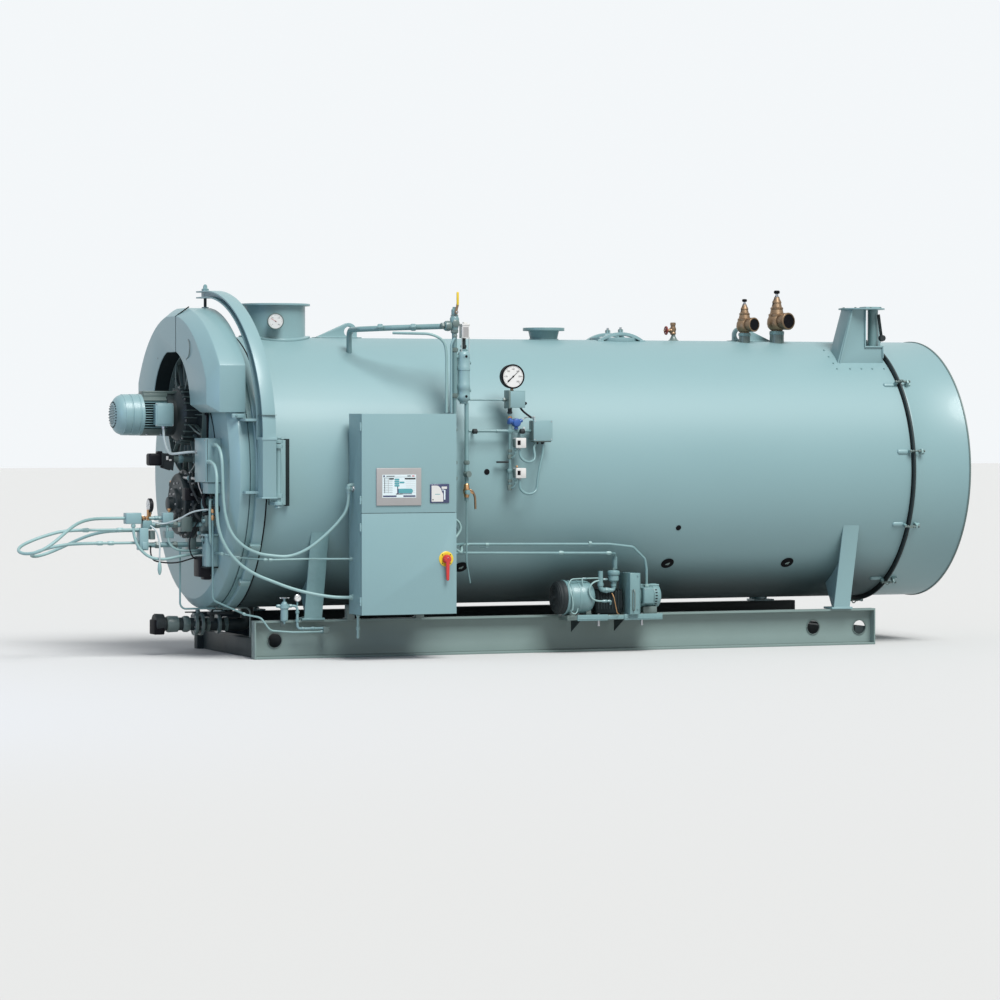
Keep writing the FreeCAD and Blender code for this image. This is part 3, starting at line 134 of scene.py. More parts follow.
# Each finish: main colour, second colour it wanders to, roughness, how far roughness wanders, metal, coat of
# clear lacquer, shine (0.5 unless it is given), size of the colour's patches and of the surface's grain per
# metre, and the grain's depth in metres. The shell's belly entry paints shade: it gives the heights on the
# shell between which the colour is darkened towards the belly, and the share of it that is left there.
finishes = {
    "enamel": dict(colour=(0.168, 0.28, 0.298), second=(0.184, 0.3, 0.318), rough=0.4, wander=0.1, coat=0.12,
        patch=0.9, grain=160.0, depth=0.0004),
    # enamel darkened to stand in for shade on parts in shadow (painted shade), also used on a few dark parts
    "enamelShade": dict(colour=(0.02, 0.031, 0.033), second=(0.014, 0.022, 0.024), rough=0.5, wander=0.12,
        shine=0.3, patch=5.0, grain=200.0, depth=0.0006),
    "enamelRail": dict(colour=(0.155, 0.218, 0.208), second=(0.135, 0.192, 0.184), rough=0.42, wander=0.12,
        coat=0.1, patch=3.0, grain=200.0, depth=0.0006),
    "enamelDark": dict(colour=(0.088, 0.128, 0.122), second=(0.105, 0.15, 0.143), rough=0.38, wander=0.12,
        coat=0.2, patch=1.6, grain=150.0, depth=0.0005),
    "enamelCast": dict(colour=(0.15, 0.262, 0.274), second=(0.112, 0.205, 0.216), rough=0.42, wander=0.14,
        coat=0.15, patch=14.0, grain=260.0, depth=0.0012),
    "enamelPale": dict(colour=(0.225, 0.35, 0.354), second=(0.19, 0.31, 0.315), rough=0.34, wander=0.1,
        coat=0.2, patch=9.0, grain=220.0, depth=0.0005),
    # the shell's colour is darkened smoothly towards its belly: painted shade
    "enamelShell": dict(colour=(0.17, 0.28, 0.298), second=(0.182, 0.298, 0.316), rough=0.5, wander=0.1,
        coat=0.06, under=(0.98, 0.56, 0.3), patch=0.7, grain=120.0, depth=0.0004),
    "redIron": dict(colour=(0.23, 0.03, 0.022), second=(0.15, 0.022, 0.018), rough=0.45, wander=0.14,
        patch=26.0, grain=300.0, depth=0.0008),
    "motorOlive": dict(colour=(0.09, 0.128, 0.12), second=(0.065, 0.096, 0.09), rough=0.42, wander=0.12,
        coat=0.1, patch=14.0, grain=280.0, depth=0.0008),
    # near-black for gaskets, seams, holes and dark bodies, and as painted shade in recesses and under parts
    "nearBlackAndPaintedShade": dict(colour=(0.007, 0.012, 0.013), second=(0.012, 0.02, 0.022), rough=0.6, wander=0.12,
        shine=0.15, patch=6.0, grain=200.0, depth=0.0008),
    "bronze": dict(colour=(0.3, 0.205, 0.125), second=(0.165, 0.11, 0.07), rough=0.4, wander=0.16, metal=0.85,
        patch=22.0, grain=420.0, depth=0.0009),
    "brass": dict(colour=(0.56, 0.33, 0.16), second=(0.4, 0.22, 0.11), rough=0.28, wander=0.12, metal=0.95,
        patch=30.0, grain=380.0, depth=0.0004),
    "steel": dict(colour=(0.42, 0.43, 0.44), second=(0.3, 0.31, 0.32), rough=0.32, wander=0.14, metal=0.9,
        patch=26.0, grain=300.0, depth=0.0004),
    "blackPlastic": dict(colour=(0.005, 0.005, 0.007), second=(0.009, 0.009, 0.012), rough=0.45, wander=0.1,
        shine=0.15, patch=20.0, grain=700.0, depth=0.0003),
    "blackIron": dict(colour=(0.012, 0.016, 0.018), second=(0.026, 0.033, 0.035), rough=0.58, wander=0.16,
        metal=0.1, shine=0.25, patch=12.0, grain=240.0, depth=0.0012),
    "whitePlastic": dict(colour=(0.56, 0.555, 0.54), second=(0.5, 0.495, 0.48), rough=0.36, wander=0.08,
        patch=16.0, grain=600.0, depth=0.0002),
    "greyBezel": dict(colour=(0.3, 0.292, 0.29), second=(0.265, 0.26, 0.258), rough=0.4, wander=0.06, patch=8.0,
        grain=500.0, depth=0.0002),
    "redPlastic": dict(colour=(0.48, 0.022, 0.02), second=(0.4, 0.016, 0.016), rough=0.3, wander=0.08, coat=0.3,
        patch=24.0, grain=500.0, depth=0.0002),
    "yellowVinyl": dict(colour=(0.64, 0.47, 0.03), second=(0.56, 0.39, 0.02), rough=0.4, wander=0.1, patch=20.0,
        grain=520.0, depth=0.0003),
    "blueCast": dict(colour=(0.018, 0.085, 0.3), second=(0.012, 0.055, 0.23), rough=0.4, wander=0.12, coat=0.2,
        patch=18.0, grain=320.0, depth=0.0006),
    "hoseSleeve": dict(colour=(0.225, 0.35, 0.348), second=(0.185, 0.3, 0.3), rough=0.48, wander=0.12,
        patch=12.0, grain=900.0, depth=0.0004),
    "paleLead": dict(colour=(0.38, 0.44, 0.45), second=(0.32, 0.38, 0.39), rough=0.42, wander=0.1, patch=12.0,
        grain=800.0, depth=0.0003),
    "dialWhite": dict(colour=(0.62, 0.62, 0.61), second=(0.58, 0.578, 0.57), rough=0.25, wander=0.05, coat=0.5,
        patch=14.0, grain=500.0, depth=0.0001),
    "inkBlack": dict(colour=(0.003, 0.003, 0.004), second=(0.006, 0.006, 0.008), rough=0.55, wander=0.06,
        shine=0.08, patch=30.0, grain=700.0, depth=0.0001),
    "screenPale": dict(colour=(0.56, 0.64, 0.66), second=(0.5, 0.59, 0.62), rough=0.12, wander=0.04, coat=0.8,
        patch=10.0, grain=400.0, depth=0.0001),
    "screenTeal": dict(colour=(0.06, 0.28, 0.31), second=(0.04, 0.22, 0.25), rough=0.14, wander=0.04, coat=0.8,
        patch=12.0, grain=400.0, depth=0.0001),
    "screenNavy": dict(colour=(0.015, 0.022, 0.075), second=(0.02, 0.03, 0.095), rough=0.14, wander=0.04,
        coat=0.8, patch=12.0, grain=400.0, depth=0.0001),
    "refractory": dict(colour=(0.3, 0.255, 0.205), second=(0.22, 0.185, 0.15), rough=0.85, wander=0.1,
        patch=6.0, grain=90.0, depth=0.004),
}
made = {}


def finish(name):
    # colour wanders between two shades, and a fine grain gives the bump
    if name in made:
        return made[name]
    look = finishes[name]
    material = bpy.data.materials.new(name)
    material.use_nodes = True
    tree = material.node_tree
    shader = tree.nodes["Principled BSDF"]
    pen = Channel(tree)
    cloud = noise(pen, look["patch"], 4.0, 0.6)
    speck = noise(pen, look["grain"], 2.0, 0.5)
    share = cloud * 1.3 - 0.15
    colour = blendColours(pen, share, (*look["colour"], 1), (*look["second"], 1))
    if "under" in look:
        # painted belly shade: share of the colour kept = 1 above the high level, falling smoothly to left at
        # the low one
        high, low, left = look["under"]
        height = pen.node("SeparateXYZ", out="Z", inputs={"Vector": pen.node("TexCoord", out="Object")})
        kept = pen.node("MapRange", {"interpolation_type": "SMOOTHSTEP"},
            {0: height, 1: low, 2: high, 3: left, 4: 1.0})
        colour = blendColours(pen, kept, (0, 0, 0, 1), colour)
    shader.inputs["Metallic"].default_value = look.get("metal", 0.0)
    shader.inputs["Coat Weight"].default_value = look.get("coat", 0.0)
    shader.inputs["Coat Roughness"].default_value = 0.12
    shader.inputs["Specular IOR Level"].default_value = look.get("shine", 0.5)
    tree.links.new(colour.socket, shader.inputs["Base Color"])
    roughness = look["rough"] + (cloud - 0.5) * look["wander"] + (speck - 0.5) * (look["wander"] * 0.4)
    tree.links.new(roughness.socket, shader.inputs["Roughness"])
    bump = pen.node("Bump", inputs={"Strength": 0.5, "Distance": look["depth"], "Height": speck})
    tree.links.new(bump.socket, shader.inputs["Normal"])
    made[name] = material
    return material


# Surfaces: every shape is a grid of points worked out from two parameters.
def unit(vector):
    vector = np.asarray(vector, float)
    return vector / np.linalg.norm(vector)


def sideAxes(direction):
    # two unit vectors square to a direction and to each other
    direction = unit(direction)
    helper = np.array((0.0, 0.0, 1.0)) if abs(direction[2]) < 0.9 else np.array((1.0, 0.0, 0.0))
    across = unit(np.cross(helper, direction))
    return across, np.cross(direction, across)


def spokeAt(turn):
    # unit vector square to the boiler's axis = (0, cos turn, sin turn)
    return np.array((0, math.cos(turn), math.sin(turn)))


def spokesRound(count, start=0):
    # evenly spread spokes, the first one at the start angle
    return [spokeAt(turn) for turn in np.arange(count) * tau / count + start]


def turnedGrid(profile, base, direction, sides=32):
    # point = base + direction * height(s) + radius(s) * (cos a * across + sin a * up)
    heights, radii = np.array(profile, float).T
    angles = np.linspace(0, tau, sides, endpoint=False)
    across, up = sideAxes(direction)
    circle = np.cos(angles)[:, None] * across + np.sin(angles)[:, None] * up
    spine = np.asarray(base, float) + heights[:, None] * unit(direction)
    return spine[:, None, :] + radii[:, None, None] * circle[None, :, :]


def frames(path):
    # tangents along a path; side vectors square to them, turned back by the running sum of the twist between
    # neighbours, so that they follow the path without twisting
    path = np.asarray(path, float)
    steps = np.diff(path, axis=0)
    steps /= np.linalg.norm(steps, axis=1)[:, None]
    tangents = np.vstack([steps[:1], steps[:-1] + steps[1:], steps[-1:]])
    tangents /= np.linalg.norm(tangents, axis=1)[:, None]
    side = np.cross(tangents, (0.36, 0.48, 0.8))
    side /= np.linalg.norm(side, axis=1)[:, None]
    other = np.cross(tangents, side)
    twist = np.arctan2((side[:-1] * other[1:]).sum(1), (side[:-1] * side[1:]).sum(1))
    turn = np.concatenate([[0.0], np.cumsum(twist)])[:, None]
    return tangents, np.cos(turn) * side + np.sin(turn) * other, np.cos(turn) * other - np.sin(turn) * side


def tubeGrid(path, radius, sides=12):
    # point = path(s) + radius * (cos a * side(s) + sin a * other(s)), with both ends drawn in to a pole
    path = np.asarray(path, float)
    _, side, other = frames(path)
    angles = np.linspace(0, tau, sides, endpoint=False)
    radii = np.broadcast_to(np.asarray(radius, float), (len(path),))
    ring = np.cos(angles)[None, :, None] * side[:, None, :] + np.sin(angles)[None, :, None] * other[:, None, :]
    body = path[:, None, :] + radii[:, None, None] * ring
    start = np.repeat(path[:1, None, :], sides, 1)
    end = np.repeat(path[-1:, None, :], sides, 1)
    return np.concatenate([start, body, end])


def roundedPath(points, bend, steps=6):
    # straight runs whose corners are cut by parabolas that start and end a bend's length from each corner
    points = np.asarray(points, float)
    path = [points[0]]
    for before, corner, after in zip(points, points[1:], points[2:]):
        back = min(bend, 0.49 * np.linalg.norm(corner - before), 0.49 * np.linalg.norm(after - corner))
        start = corner + unit(before - corner) * back
        end = corner + unit(after - corner) * back
        t = np.linspace(0, 1, steps + 1)[:, None]
        path.extend((1 - t) ** 2 * start + 2 * t * (1 - t) * corner + t ** 2 * end)
    path.append(points[-1])
    return np.array(path)


def blockGrid(low, high, rounding, steps=2):
    # a sphere's direction times the rounding, pushed out by the block's half size less the rounding
    low, high = np.asarray(low, float), np.asarray(high, float)
    half = (high - low) / 2
    rounding = min(rounding, 0.49 * float(half.min()) * 2)
    quarter = np.linspace(0, math.pi / 2, steps + 1)
    turn = np.concatenate([quarter + i * math.pi / 2 for i in range(4)])
    signX = np.repeat((1, -1, -1, 1), steps + 1)
    signY = np.repeat((1, 1, -1, -1), steps + 1)
    rise = np.concatenate([quarter - math.pi / 2, quarter])
    signZ = np.repeat((-1, 1), steps + 1)
    nx = np.cos(rise)[:, None] * np.cos(turn)[None, :]
    ny = np.cos(rise)[:, None] * np.sin(turn)[None, :]
    nz = np.broadcast_to(np.sin(rise)[:, None], nx.shape)
    normal = np.stack([nx, ny, nz], -1)
    sign = np.stack(np.broadcast_arrays(signX[None, :], signY[None, :], signZ[:, None]), -1)
    return (low + high) / 2 + sign * (half - rounding) + rounding * normal


class Gather:  # collects surfaces, each with its finish, and joins them into one piece
    def __init__(self):
        self.points, self.faces, self.slots, self.looks, self.count = [], [], [], [], 0

    def add(self, grid, look, closed=True, caps=True):
        # quads between neighbouring rows and columns; closed joins the last column to the first
        rows, columns = grid.shape[:2]
        index = np.arange(rows * columns).reshape(rows, columns) + self.count
        right = np.roll(index, -1, 1)
        if not closed:
            index, right = index[:, :-1], right[:, :-1]
        quads = np.stack([index[:-1], right[:-1], right[1:], index[1:]], -1).reshape(-1, 4)
        faces = quads.tolist()
        if closed and caps:
            ring = np.arange(rows * columns).reshape(rows, columns) + self.count
            faces.append(ring[0][::-1].tolist())
            faces.append(ring[-1].tolist())
        if look not in self.looks:
            self.looks.append(look)
        self.points.append(grid.reshape(-1, 3))
        self.faces.extend(faces)
        self.slots.extend([self.looks.index(look)] * len(faces))
        self.count += rows * columns
        return self

    def turned(self, profile, base, direction, look, sides=32):
        return self.add(turnedGrid(profile, base, direction, sides), look)

    def rod(self, start, end, radius, look, sides=20, edge=0.0):
        # bar from start to end, its rims eased by a small chamfer
        start, end = np.asarray(start, float), np.asarray(end, float)
        length = float(np.linalg.norm(end - start))
        edge = min(edge or radius * 0.15, length * 0.3)
        profile = [(0, radius - edge), (edge, radius), (length - edge, radius), (length, radius - edge)]
        return self.turned(profile, start, end - start, look, sides)

    def tube(self, path, radius, look, sides=12, bend=None):
        path = roundedPath(path, bend) if bend else path
        return self.add(tubeGrid(path, radius, sides), look)

    def block(self, low, high, look, rounding=0.004, steps=2):
        return self.add(blockGrid(low, high, rounding, steps), look)

    def turnedBlock(self, centre, along, up, size, look, rounding=0.004):
        # rounded block whose length runs along one direction and whose height runs along another
        along = unit(along)
        up = unit(np.asarray(up, float) - along * np.dot(unit(up), along) * np.linalg.norm(up))
        axes = np.array([along, np.cross(up, along), up])
        half = np.array(size, float) / 2
        return self.add(blockGrid(-half, half, rounding) @ axes + np.asarray(centre, float), look)

    def pill(self, centre, along, up, length, width, height, look):
        # stadium outline that shrinks by the cosine of the rise while it climbs by the height times its sine
        along, up = unit(along), unit(up)
        side = np.cross(up, along)
        turn = np.linspace(0, tau, 24, endpoint=False)[None, :, None]
        rise = np.linspace(-0.25, 0.5, 7)[:, None, None] * math.pi * 0.98
        ends = np.sign(np.cos(turn) + 1e-9) * (length - width) / 2
        spread = width / 2 * np.cos(rise)
        grid = np.asarray(centre, float) + along * (ends + spread * np.cos(turn)) + side * spread * np.sin(turn)
        return self.add(grid + up * height * np.sin(rise), look)

    def arcBand(self, base, direction, section, low, high, look, steps=24):
        # closed outline of (distance along the axis, radius) turned about the axis from one angle to another
        section = np.array(section, float)
        across, up = sideAxes(direction)
        turn = np.linspace(math.radians(low), math.radians(high), steps)[:, None, None]
        spoke = np.cos(turn) * across + np.sin(turn) * up
        grid = np.asarray(base, float) + section[None, :, :1] * unit(direction) + section[None, :, 1:] * spoke
        return self.add(grid, look)

    def plate(self, outline, origin, u, v, thickness, look, easing=0.002):
        # outline of (u, v) points at four depths, drawn in by the easing at the first and the last
        outline = np.array(outline, float)
        before, after = np.roll(outline, 1, 0), np.roll(outline, -1, 0)
        first = (outline - before) / np.linalg.norm(outline - before, axis=1)[:, None]
        second = (after - outline) / np.linalg.norm(after - outline, axis=1)[:, None]
        area = np.sum(before[:, 0] * outline[:, 1] - outline[:, 0] * before[:, 1])
        inward = np.sign(area) * np.stack([-(first + second)[:, 1], (first + second)[:, 0]], 1)
        inward /= np.maximum(1.0 + (first * second).sum(1), 0.35)[:, None]
        u, v = np.asarray(u, float), np.asarray(v, float)
        w = np.cross(u, v)
        step = math.copysign(easing, thickness)
        depths = np.array((0.0, step, thickness - step, thickness))[:, None, None]
        insets = np.array((easing, 0.0, 0.0, easing))[:, None, None]
        flat = outline[None] + insets * inward[None]
        return self.add(np.asarray(origin, float) + flat[..., :1] * u + flat[..., 1:] * v + depths * w, look)

    def wheel(self, centre, direction, radius, thick, look, spokes=4, hub=0.012):
        # rim: point = centre + (radius + thick cos b) * spoke(a) + thick sin b * direction; spokes are rods
        direction = unit(direction)
        across, up = sideAxes(direction)
        centre = np.asarray(centre, float)
        a = np.linspace(0, tau, 33)[:, None, None]
        b = np.linspace(0, tau, 8, endpoint=False)[None, :, None]
        spoke = np.cos(a) * across + np.sin(a) * up
        self.add(centre + (radius + thick * np.cos(b)) * spoke + thick * np.sin(b) * direction, look,
            caps=False)
        for turn in np.arange(spokes) * tau / spokes + 0.6:
            ray = math.cos(turn) * across + math.sin(turn) * up
            self.rod(centre + ray * hub * 0.5, centre + ray * radius, thick * 0.75, look, 8)
        return self.rod(centre - direction * hub * 0.8, centre + direction * hub * 0.8, hub, look, 16)

    def nut(self, place, direction, radius, look, length=None):
        # six-sided coupling with a round collar at each end
        length = length or radius * 1.5
        start = np.asarray(place, float) - unit(direction) * length / 2
        self.turned([(0, radius * 0.8), (length * 0.12, radius * 0.86), (length, radius * 0.8)], start,
            direction, look, 16)
        return self.turned([(0, radius * 0.94), (length * 0.08, radius * 1.06), (length * 0.64, radius * 1.06),
            (length * 0.72, radius * 0.94)], start + unit(direction) * length * 0.14, direction, look, 6)

    def text(self, words, centre, right, up, size, look):
        # the built-in font's letters as a thin mesh, centred on a point and laid along two directions
        curve = bpy.data.curves.new("text", "FONT")
        curve.body, curve.size, curve.extrude, curve.resolution_u = words, size, 0.0004, 3
        curve.align_x, curve.align_y = "CENTER", "CENTER"
        holder = bpy.data.objects.new("text", curve)
        mesh = bpy.data.meshes.new_from_object(holder)
        flat = np.zeros(len(mesh.vertices) * 3)
        mesh.vertices.foreach_get("co", flat)
        faces = [[corner + self.count for corner in face.vertices] for face in mesh.polygons]
        right, up = unit(right), unit(up)
        flat = flat.reshape(-1, 3) @ np.array([right, up, np.cross(right, up)])
        if look not in self.looks:
            self.looks.append(look)
        self.points.append(flat + np.asarray(centre, float))
        self.faces.extend(faces)
        self.slots.extend([self.looks.index(look)] * len(faces))
        self.count += len(flat)
        bpy.data.objects.remove(holder)
        bpy.data.meshes.remove(mesh)
        bpy.data.curves.remove(curve)
        return self

    def bolt(self, place, direction, size, look, shank=0.0):
        # six-sided head with a domed washer under it
        direction = unit(direction)
        place = np.asarray(place, float)
        self.turned([(0, size * 1.15), (size * 0.16, size * 1.15), (size * 0.2, size * 1.0)], place, direction,
            look, 16)
        self.turned([(0, size * 0.98), (size * 0.62, size * 0.98), (size * 0.72, size * 0.86)],
            place + direction * size * 0.18, direction, look, 6)
        if shank:
            self.turned([(0, size * 0.5), (shank - 0.002, size * 0.5), (shank, size * 0.42)],
                place + direction * size * 0.85, direction, look, 10)
        return self

    def make(self, name, body, *nodes, slot="boiler_paint", smoothAngle=35.0):
        mesh = bpy.data.meshes.new(name)
        mesh.from_pydata(np.concatenate(self.points), [], self.faces)
        mesh.polygons.foreach_set("material_index", np.array(self.slots, np.int32))
        for look in self.looks:
            mesh.materials.append(finish(look))
        closeUp(mesh)
        return place(name, mesh, body, nodes, slot, smoothAngle)


def closeUp(mesh):
    # merges doubled points, drops faces without area and turns every shell's faces outwards
    work = bmesh.new()
    work.from_mesh(mesh)
    bmesh.ops.remove_doubles(work, verts=work.verts, dist=0.00002)
    bmesh.ops.dissolve_degenerate(work, edges=work.edges, dist=0.00001)
    bmesh.ops.recalc_face_normals(work, faces=work.faces)
    work.to_mesh(mesh)
    work.free()


def place(name, mesh, body, nodes, slot, smoothAngle):
    mesh.polygons.foreach_set("use_smooth", np.ones(len(mesh.polygons), bool))
    mesh.set_sharp_from_angle(angle=math.radians(smoothAngle))
    piece = bpy.data.objects.new(name, mesh)
    bpy.context.scene.collection.objects.link(piece)
    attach(piece, body)
    if nodes:
        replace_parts(piece, *nodes)
    return piece


bodyOf = {node: body for body, members in frame["record"]["behaviour"]["bodies"].items() for node in members}
slotOf = {row["node"]: row["material_slot"] for row in frame["record"]["subparts"]}


def finishNode(node, look, easing=0.003, zones=()):
    # the node's own shape, with merged points, flat faces joined up, eased edges and a finish; a zone is
    # another finish for the faces whose middle lies in a box, given as its lowest and its highest corner
    mesh = frame["nodes"][node].data.copy()
    work = bmesh.new()
    work.from_mesh(mesh)
    bmesh.ops.remove_doubles(work, verts=work.verts, dist=0.00002)
    bmesh.ops.dissolve_limit(work, angle_limit=math.radians(1.0), verts=work.verts, edges=work.edges)
    if easing:
        sharp = [e for e in work.edges if len(e.link_faces) == 2 and e.calc_face_angle() > math.radians(32)]
        bmesh.ops.bevel(work, geom=sharp, offset=easing, offset_type="OFFSET", segments=2, profile=0.6,
            affect="EDGES", clamp_overlap=True)
    work.to_mesh(mesh)
    work.free()
    mesh.materials.clear()
    mesh.materials.append(finish(look))
    middles = np.zeros(len(mesh.polygons) * 3)
    mesh.polygons.foreach_get("center", middles)
    middles = middles.reshape(-1, 3)
    chosen = np.zeros(len(middles), np.int32)
    for order, (zoneLook, low, high) in enumerate(zones):
        mesh.materials.append(finish(zoneLook))
        chosen[((middles >= low) & (middles <= high)).all(1)] = order + 1
    mesh.polygons.foreach_set("material_index", chosen)
    return place(node + "_finished", mesh, bodyOf[node], (node,), slotOf[node], 40.0)


# Stage, light and camera
stageLook = dict(floorSize=260.0, floorShade=0.52, worldTint=(0.95, 0.98, 1, 1), worldLight=0.44,
    worldSeen=0.95)


def makeStage():
    bpy.ops.mesh.primitive_plane_add(size=stageLook["floorSize"], location=(0, 0, -0.001))
    floor = bpy.context.object
    floor.name = "floor"
    material = bpy.data.materials.new("paleFloor")
    material.use_nodes = True
    shader = material.node_tree.nodes["Principled BSDF"]
    shade = stageLook["floorShade"]
    shader.inputs["Base Color"].default_value = (shade, shade, shade, 1)
    shader.inputs["Roughness"].default_value = 0.9
    floor.data.materials.append(material)
    # the sky lights the boiler at one strength; the camera and the paint's shine see it at another, paler one
    world = bpy.data.worlds.new("softSky")
    world.use_nodes = True
    background = world.node_tree.nodes["Background"]
    background.inputs["Color"].default_value = stageLook["worldTint"]
    pen = Channel(world.node_tree)
    seen = pen.node("LightPath", out="Is Camera Ray") + pen.node("LightPath", out="Is Glossy Ray")
    strength = stageLook["worldLight"] + seen * (stageLook["worldSeen"] - stageLook["worldLight"])
    world.node_tree.links.new(strength.socket, background.inputs["Strength"])
    bpy.context.scene.world = world


# One broad soft sun from high on the near side, and a bluish panel for the head's face
lights = {
    "softSun": dict(kind="SUN", place=(1.5, -9.0, 12.5), aim=(0, 0, 0), power=4.3, spread=32.0,
        colour=(1, 1, 0.98)),
    "headPanel": dict(kind="AREA", place=(-14.0, -6.0, 3.8), aim=(-3.5, 0, 1.3), power=270.0, spread=5.0,
        colour=(0.3, 0.52, 1)),
}


def makeLights():
    for name, light in lights.items():
        data = bpy.data.lights.new(name, light["kind"])
        if light["kind"] == "SUN":
            data.angle = math.radians(light["spread"])
        else:
            data.size = light["spread"]
        data.energy = light["power"]
        data.color = light["colour"]
        lamp = bpy.data.objects.new(name, data)
        lamp.location = light["place"]
        toward = Vector(light["aim"]) - Vector(light["place"])
        lamp.rotation_euler = toward.to_track_quat("-Z", "Y").to_euler()
        bpy.context.scene.collection.objects.link(lamp)


cameraLook = dict(place=(-14.28055, -34.68981, 2.267577), turn=21.80465, dip=1.2520187, lens=136.51,
    sensor=36.0)


def makeCamera():
    turn, dip = math.radians(cameraLook["turn"]), math.radians(cameraLook["dip"])
    data = bpy.data.cameras.new("viewCamera")
    data.sensor_width, data.lens, data.clip_end = cameraLook["sensor"], cameraLook["lens"], 400.0
    camera = bpy.data.objects.new("viewCamera", data)
    camera.location = cameraLook["place"]
    camera.rotation_euler = (math.pi / 2 - dip, 0, -turn)
    bpy.context.scene.collection.objects.link(camera)
    bpy.context.scene.camera = camera


bpy.context.scene.view_settings.view_transform = "Standard"
makeStage()
makeLights()
makeCamera()
print("stage, lights and camera")


# Free lines. Routes are in metres from the first fitting to the last.
freeLines = {
    "oilHoseUpper": dict(nodes=("oil_hose_upper",), bodies=("front_head",), length=2.245, diameter=0.03,
        look="hoseSleeve", stiffness="stiff", route=((-4.768, -0.48, 1.215), (-4.95, -0.48, 1.215),
        (-5.125, -0.48, 1.172), (-5.285, -0.5, 1.12), (-5.405, -0.565, 1.072), (-5.455, -0.695, 1.03),
        (-5.415, -0.835, 1.01), (-5.305, -0.925, 1.035), (-5.165, -0.915, 1.12), (-5.02, -0.815, 1.22),
        (-4.88, -0.68, 1.29), (-4.72, -0.54, 1.32), (-4.545, -0.45, 1.322), (-4.365, -0.45, 1.322))),
    "oilHoseLower": dict(nodes=("oil_hose_lower",), bodies=("front_head",), length=1.915, diameter=0.03,
        look="hoseSleeve", stiffness="stiff", route=((-4.624, -0.45, 1.09), (-4.797, -0.45, 1.09),
        (-4.965, -0.455, 1.079), (-5.11, -0.43, 1.048), (-5.205, -0.33, 1.005), (-5.205, -0.19, 0.97),
        (-5.11, -0.09, 0.96), (-4.97, -0.065, 1.0), (-4.825, -0.12, 1.07), (-4.685, -0.235, 1.15),
        (-4.545, -0.35, 1.195), (-4.395, -0.415, 1.205), (-4.235, -0.415, 1.205))),
    "conduitUpper": dict(nodes=("conduit_upper_head", "conduit_upper_boiler"), bodies=("front_head", "boiler"),
        length=2.479, diameter=0.03, look="hoseSleeve", stiffness="stiff",
        route=((-3.65, -0.945, 2.009), (-3.65, -1.09, 2.009), (-3.649, -1.195, 1.905), (-3.646, -1.205, 1.74),
        (-3.64, -1.2, 1.54), (-3.618, -1.195, 1.345), (-3.56, -1.205, 1.18), (-3.45, -1.222, 1.068),
        (-3.31, -1.24, 1.0), (-3.171, -1.26, 0.98), (-3.028, -1.281, 0.968), (-2.87, -1.32, 1.028),
        (-2.715, -1.36, 1.15), (-2.58, -1.4, 1.29), (-2.49, -1.43, 1.425), (-2.49, -1.43, 1.56))),
    "conduitLower": dict(nodes=("conduit_lower_head", "conduit_lower_boiler"), bodies=("front_head", "boiler"),
        length=2.328, diameter=0.03, look="hoseSleeve", stiffness="stiff",
        route=((-3.7, -0.945, 1.851), (-3.7, -1.105, 1.851), (-3.704, -1.215, 1.745), (-3.71, -1.225, 1.59),
        (-3.705, -1.205, 1.4), (-3.68, -1.19, 1.21), (-3.6, -1.185, 1.04), (-3.48, -1.19, 0.905),
        (-3.33, -1.212, 0.805), (-3.171, -1.24, 0.7415), (-3.03, -1.265, 0.685), (-2.88, -1.3, 0.64),
        (-2.73, -1.345, 0.608), (-2.585, -1.4, 0.588), (-2.443, -1.4, 0.588))),
    "motorLead": dict(nodes=("motor_lead",), bodies=("front_head",), length=0.691, diameter=0.024,
        look="paleLead", stiffness="medium", route=((-3.922, -0.24, 2.18), (-3.922, -0.24, 2.08),
        (-3.922, -0.325, 1.985), (-3.925, -0.42, 1.93), (-3.925, -0.52, 1.922), (-3.88, -0.605, 1.928),
        (-3.8, -0.65, 1.942), (-3.724, -0.65, 1.942))),
}


def smoothLine(route):
    # points read along the NURBS spline that has the route as its control points
    curve = bpy.data.curves.new("route", "CURVE")
    curve.dimensions = "3D"
    curve.resolution_u = 10
    spline = curve.splines.new("NURBS")
    spline.points.add(len(route) - 1)
    spline.points.foreach_set("co", np.c_[np.array(route), np.ones(len(route))].ravel())
    spline.order_u = 3
    spline.use_endpoint_u = True
    holder = bpy.data.objects.new("route", curve)
    line = bpy.data.meshes.new_from_object(holder)
    points = np.zeros(len(line.vertices) * 3)
    line.vertices.foreach_get("co", points)
    bpy.data.objects.remove(holder)
    bpy.data.meshes.remove(line)
    bpy.data.curves.remove(curve)
    return points.reshape(-1, 3)


def makeFreeLines():
    for name, line in freeLines.items():
        path = smoothLine(line["route"])
        radius = line["diameter"] / 2
        gather = Gather().tube(path, radius, line["look"], 20)
        piece = gather.make(name, line["bodies"][0], *line["nodes"], slot="hose_paint")
        if len(line["bodies"]) == 2:
            piece.parent = None
            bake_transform(piece)


makeFreeLines()
print("free lines")


# Fan motor: grille and cowl, finned frame between a top rail and a belly, terminal box, flange to the fan
motor = dict(height=2.29, tail=-4.357, cowlEnd=-4.083, frameEnd=-3.86, bellEnd=-3.7, face=-3.58, fins=11,
    finPitch=0.0235, finThickness=0.008, finReach=0.197, core=0.158, ribs=14)


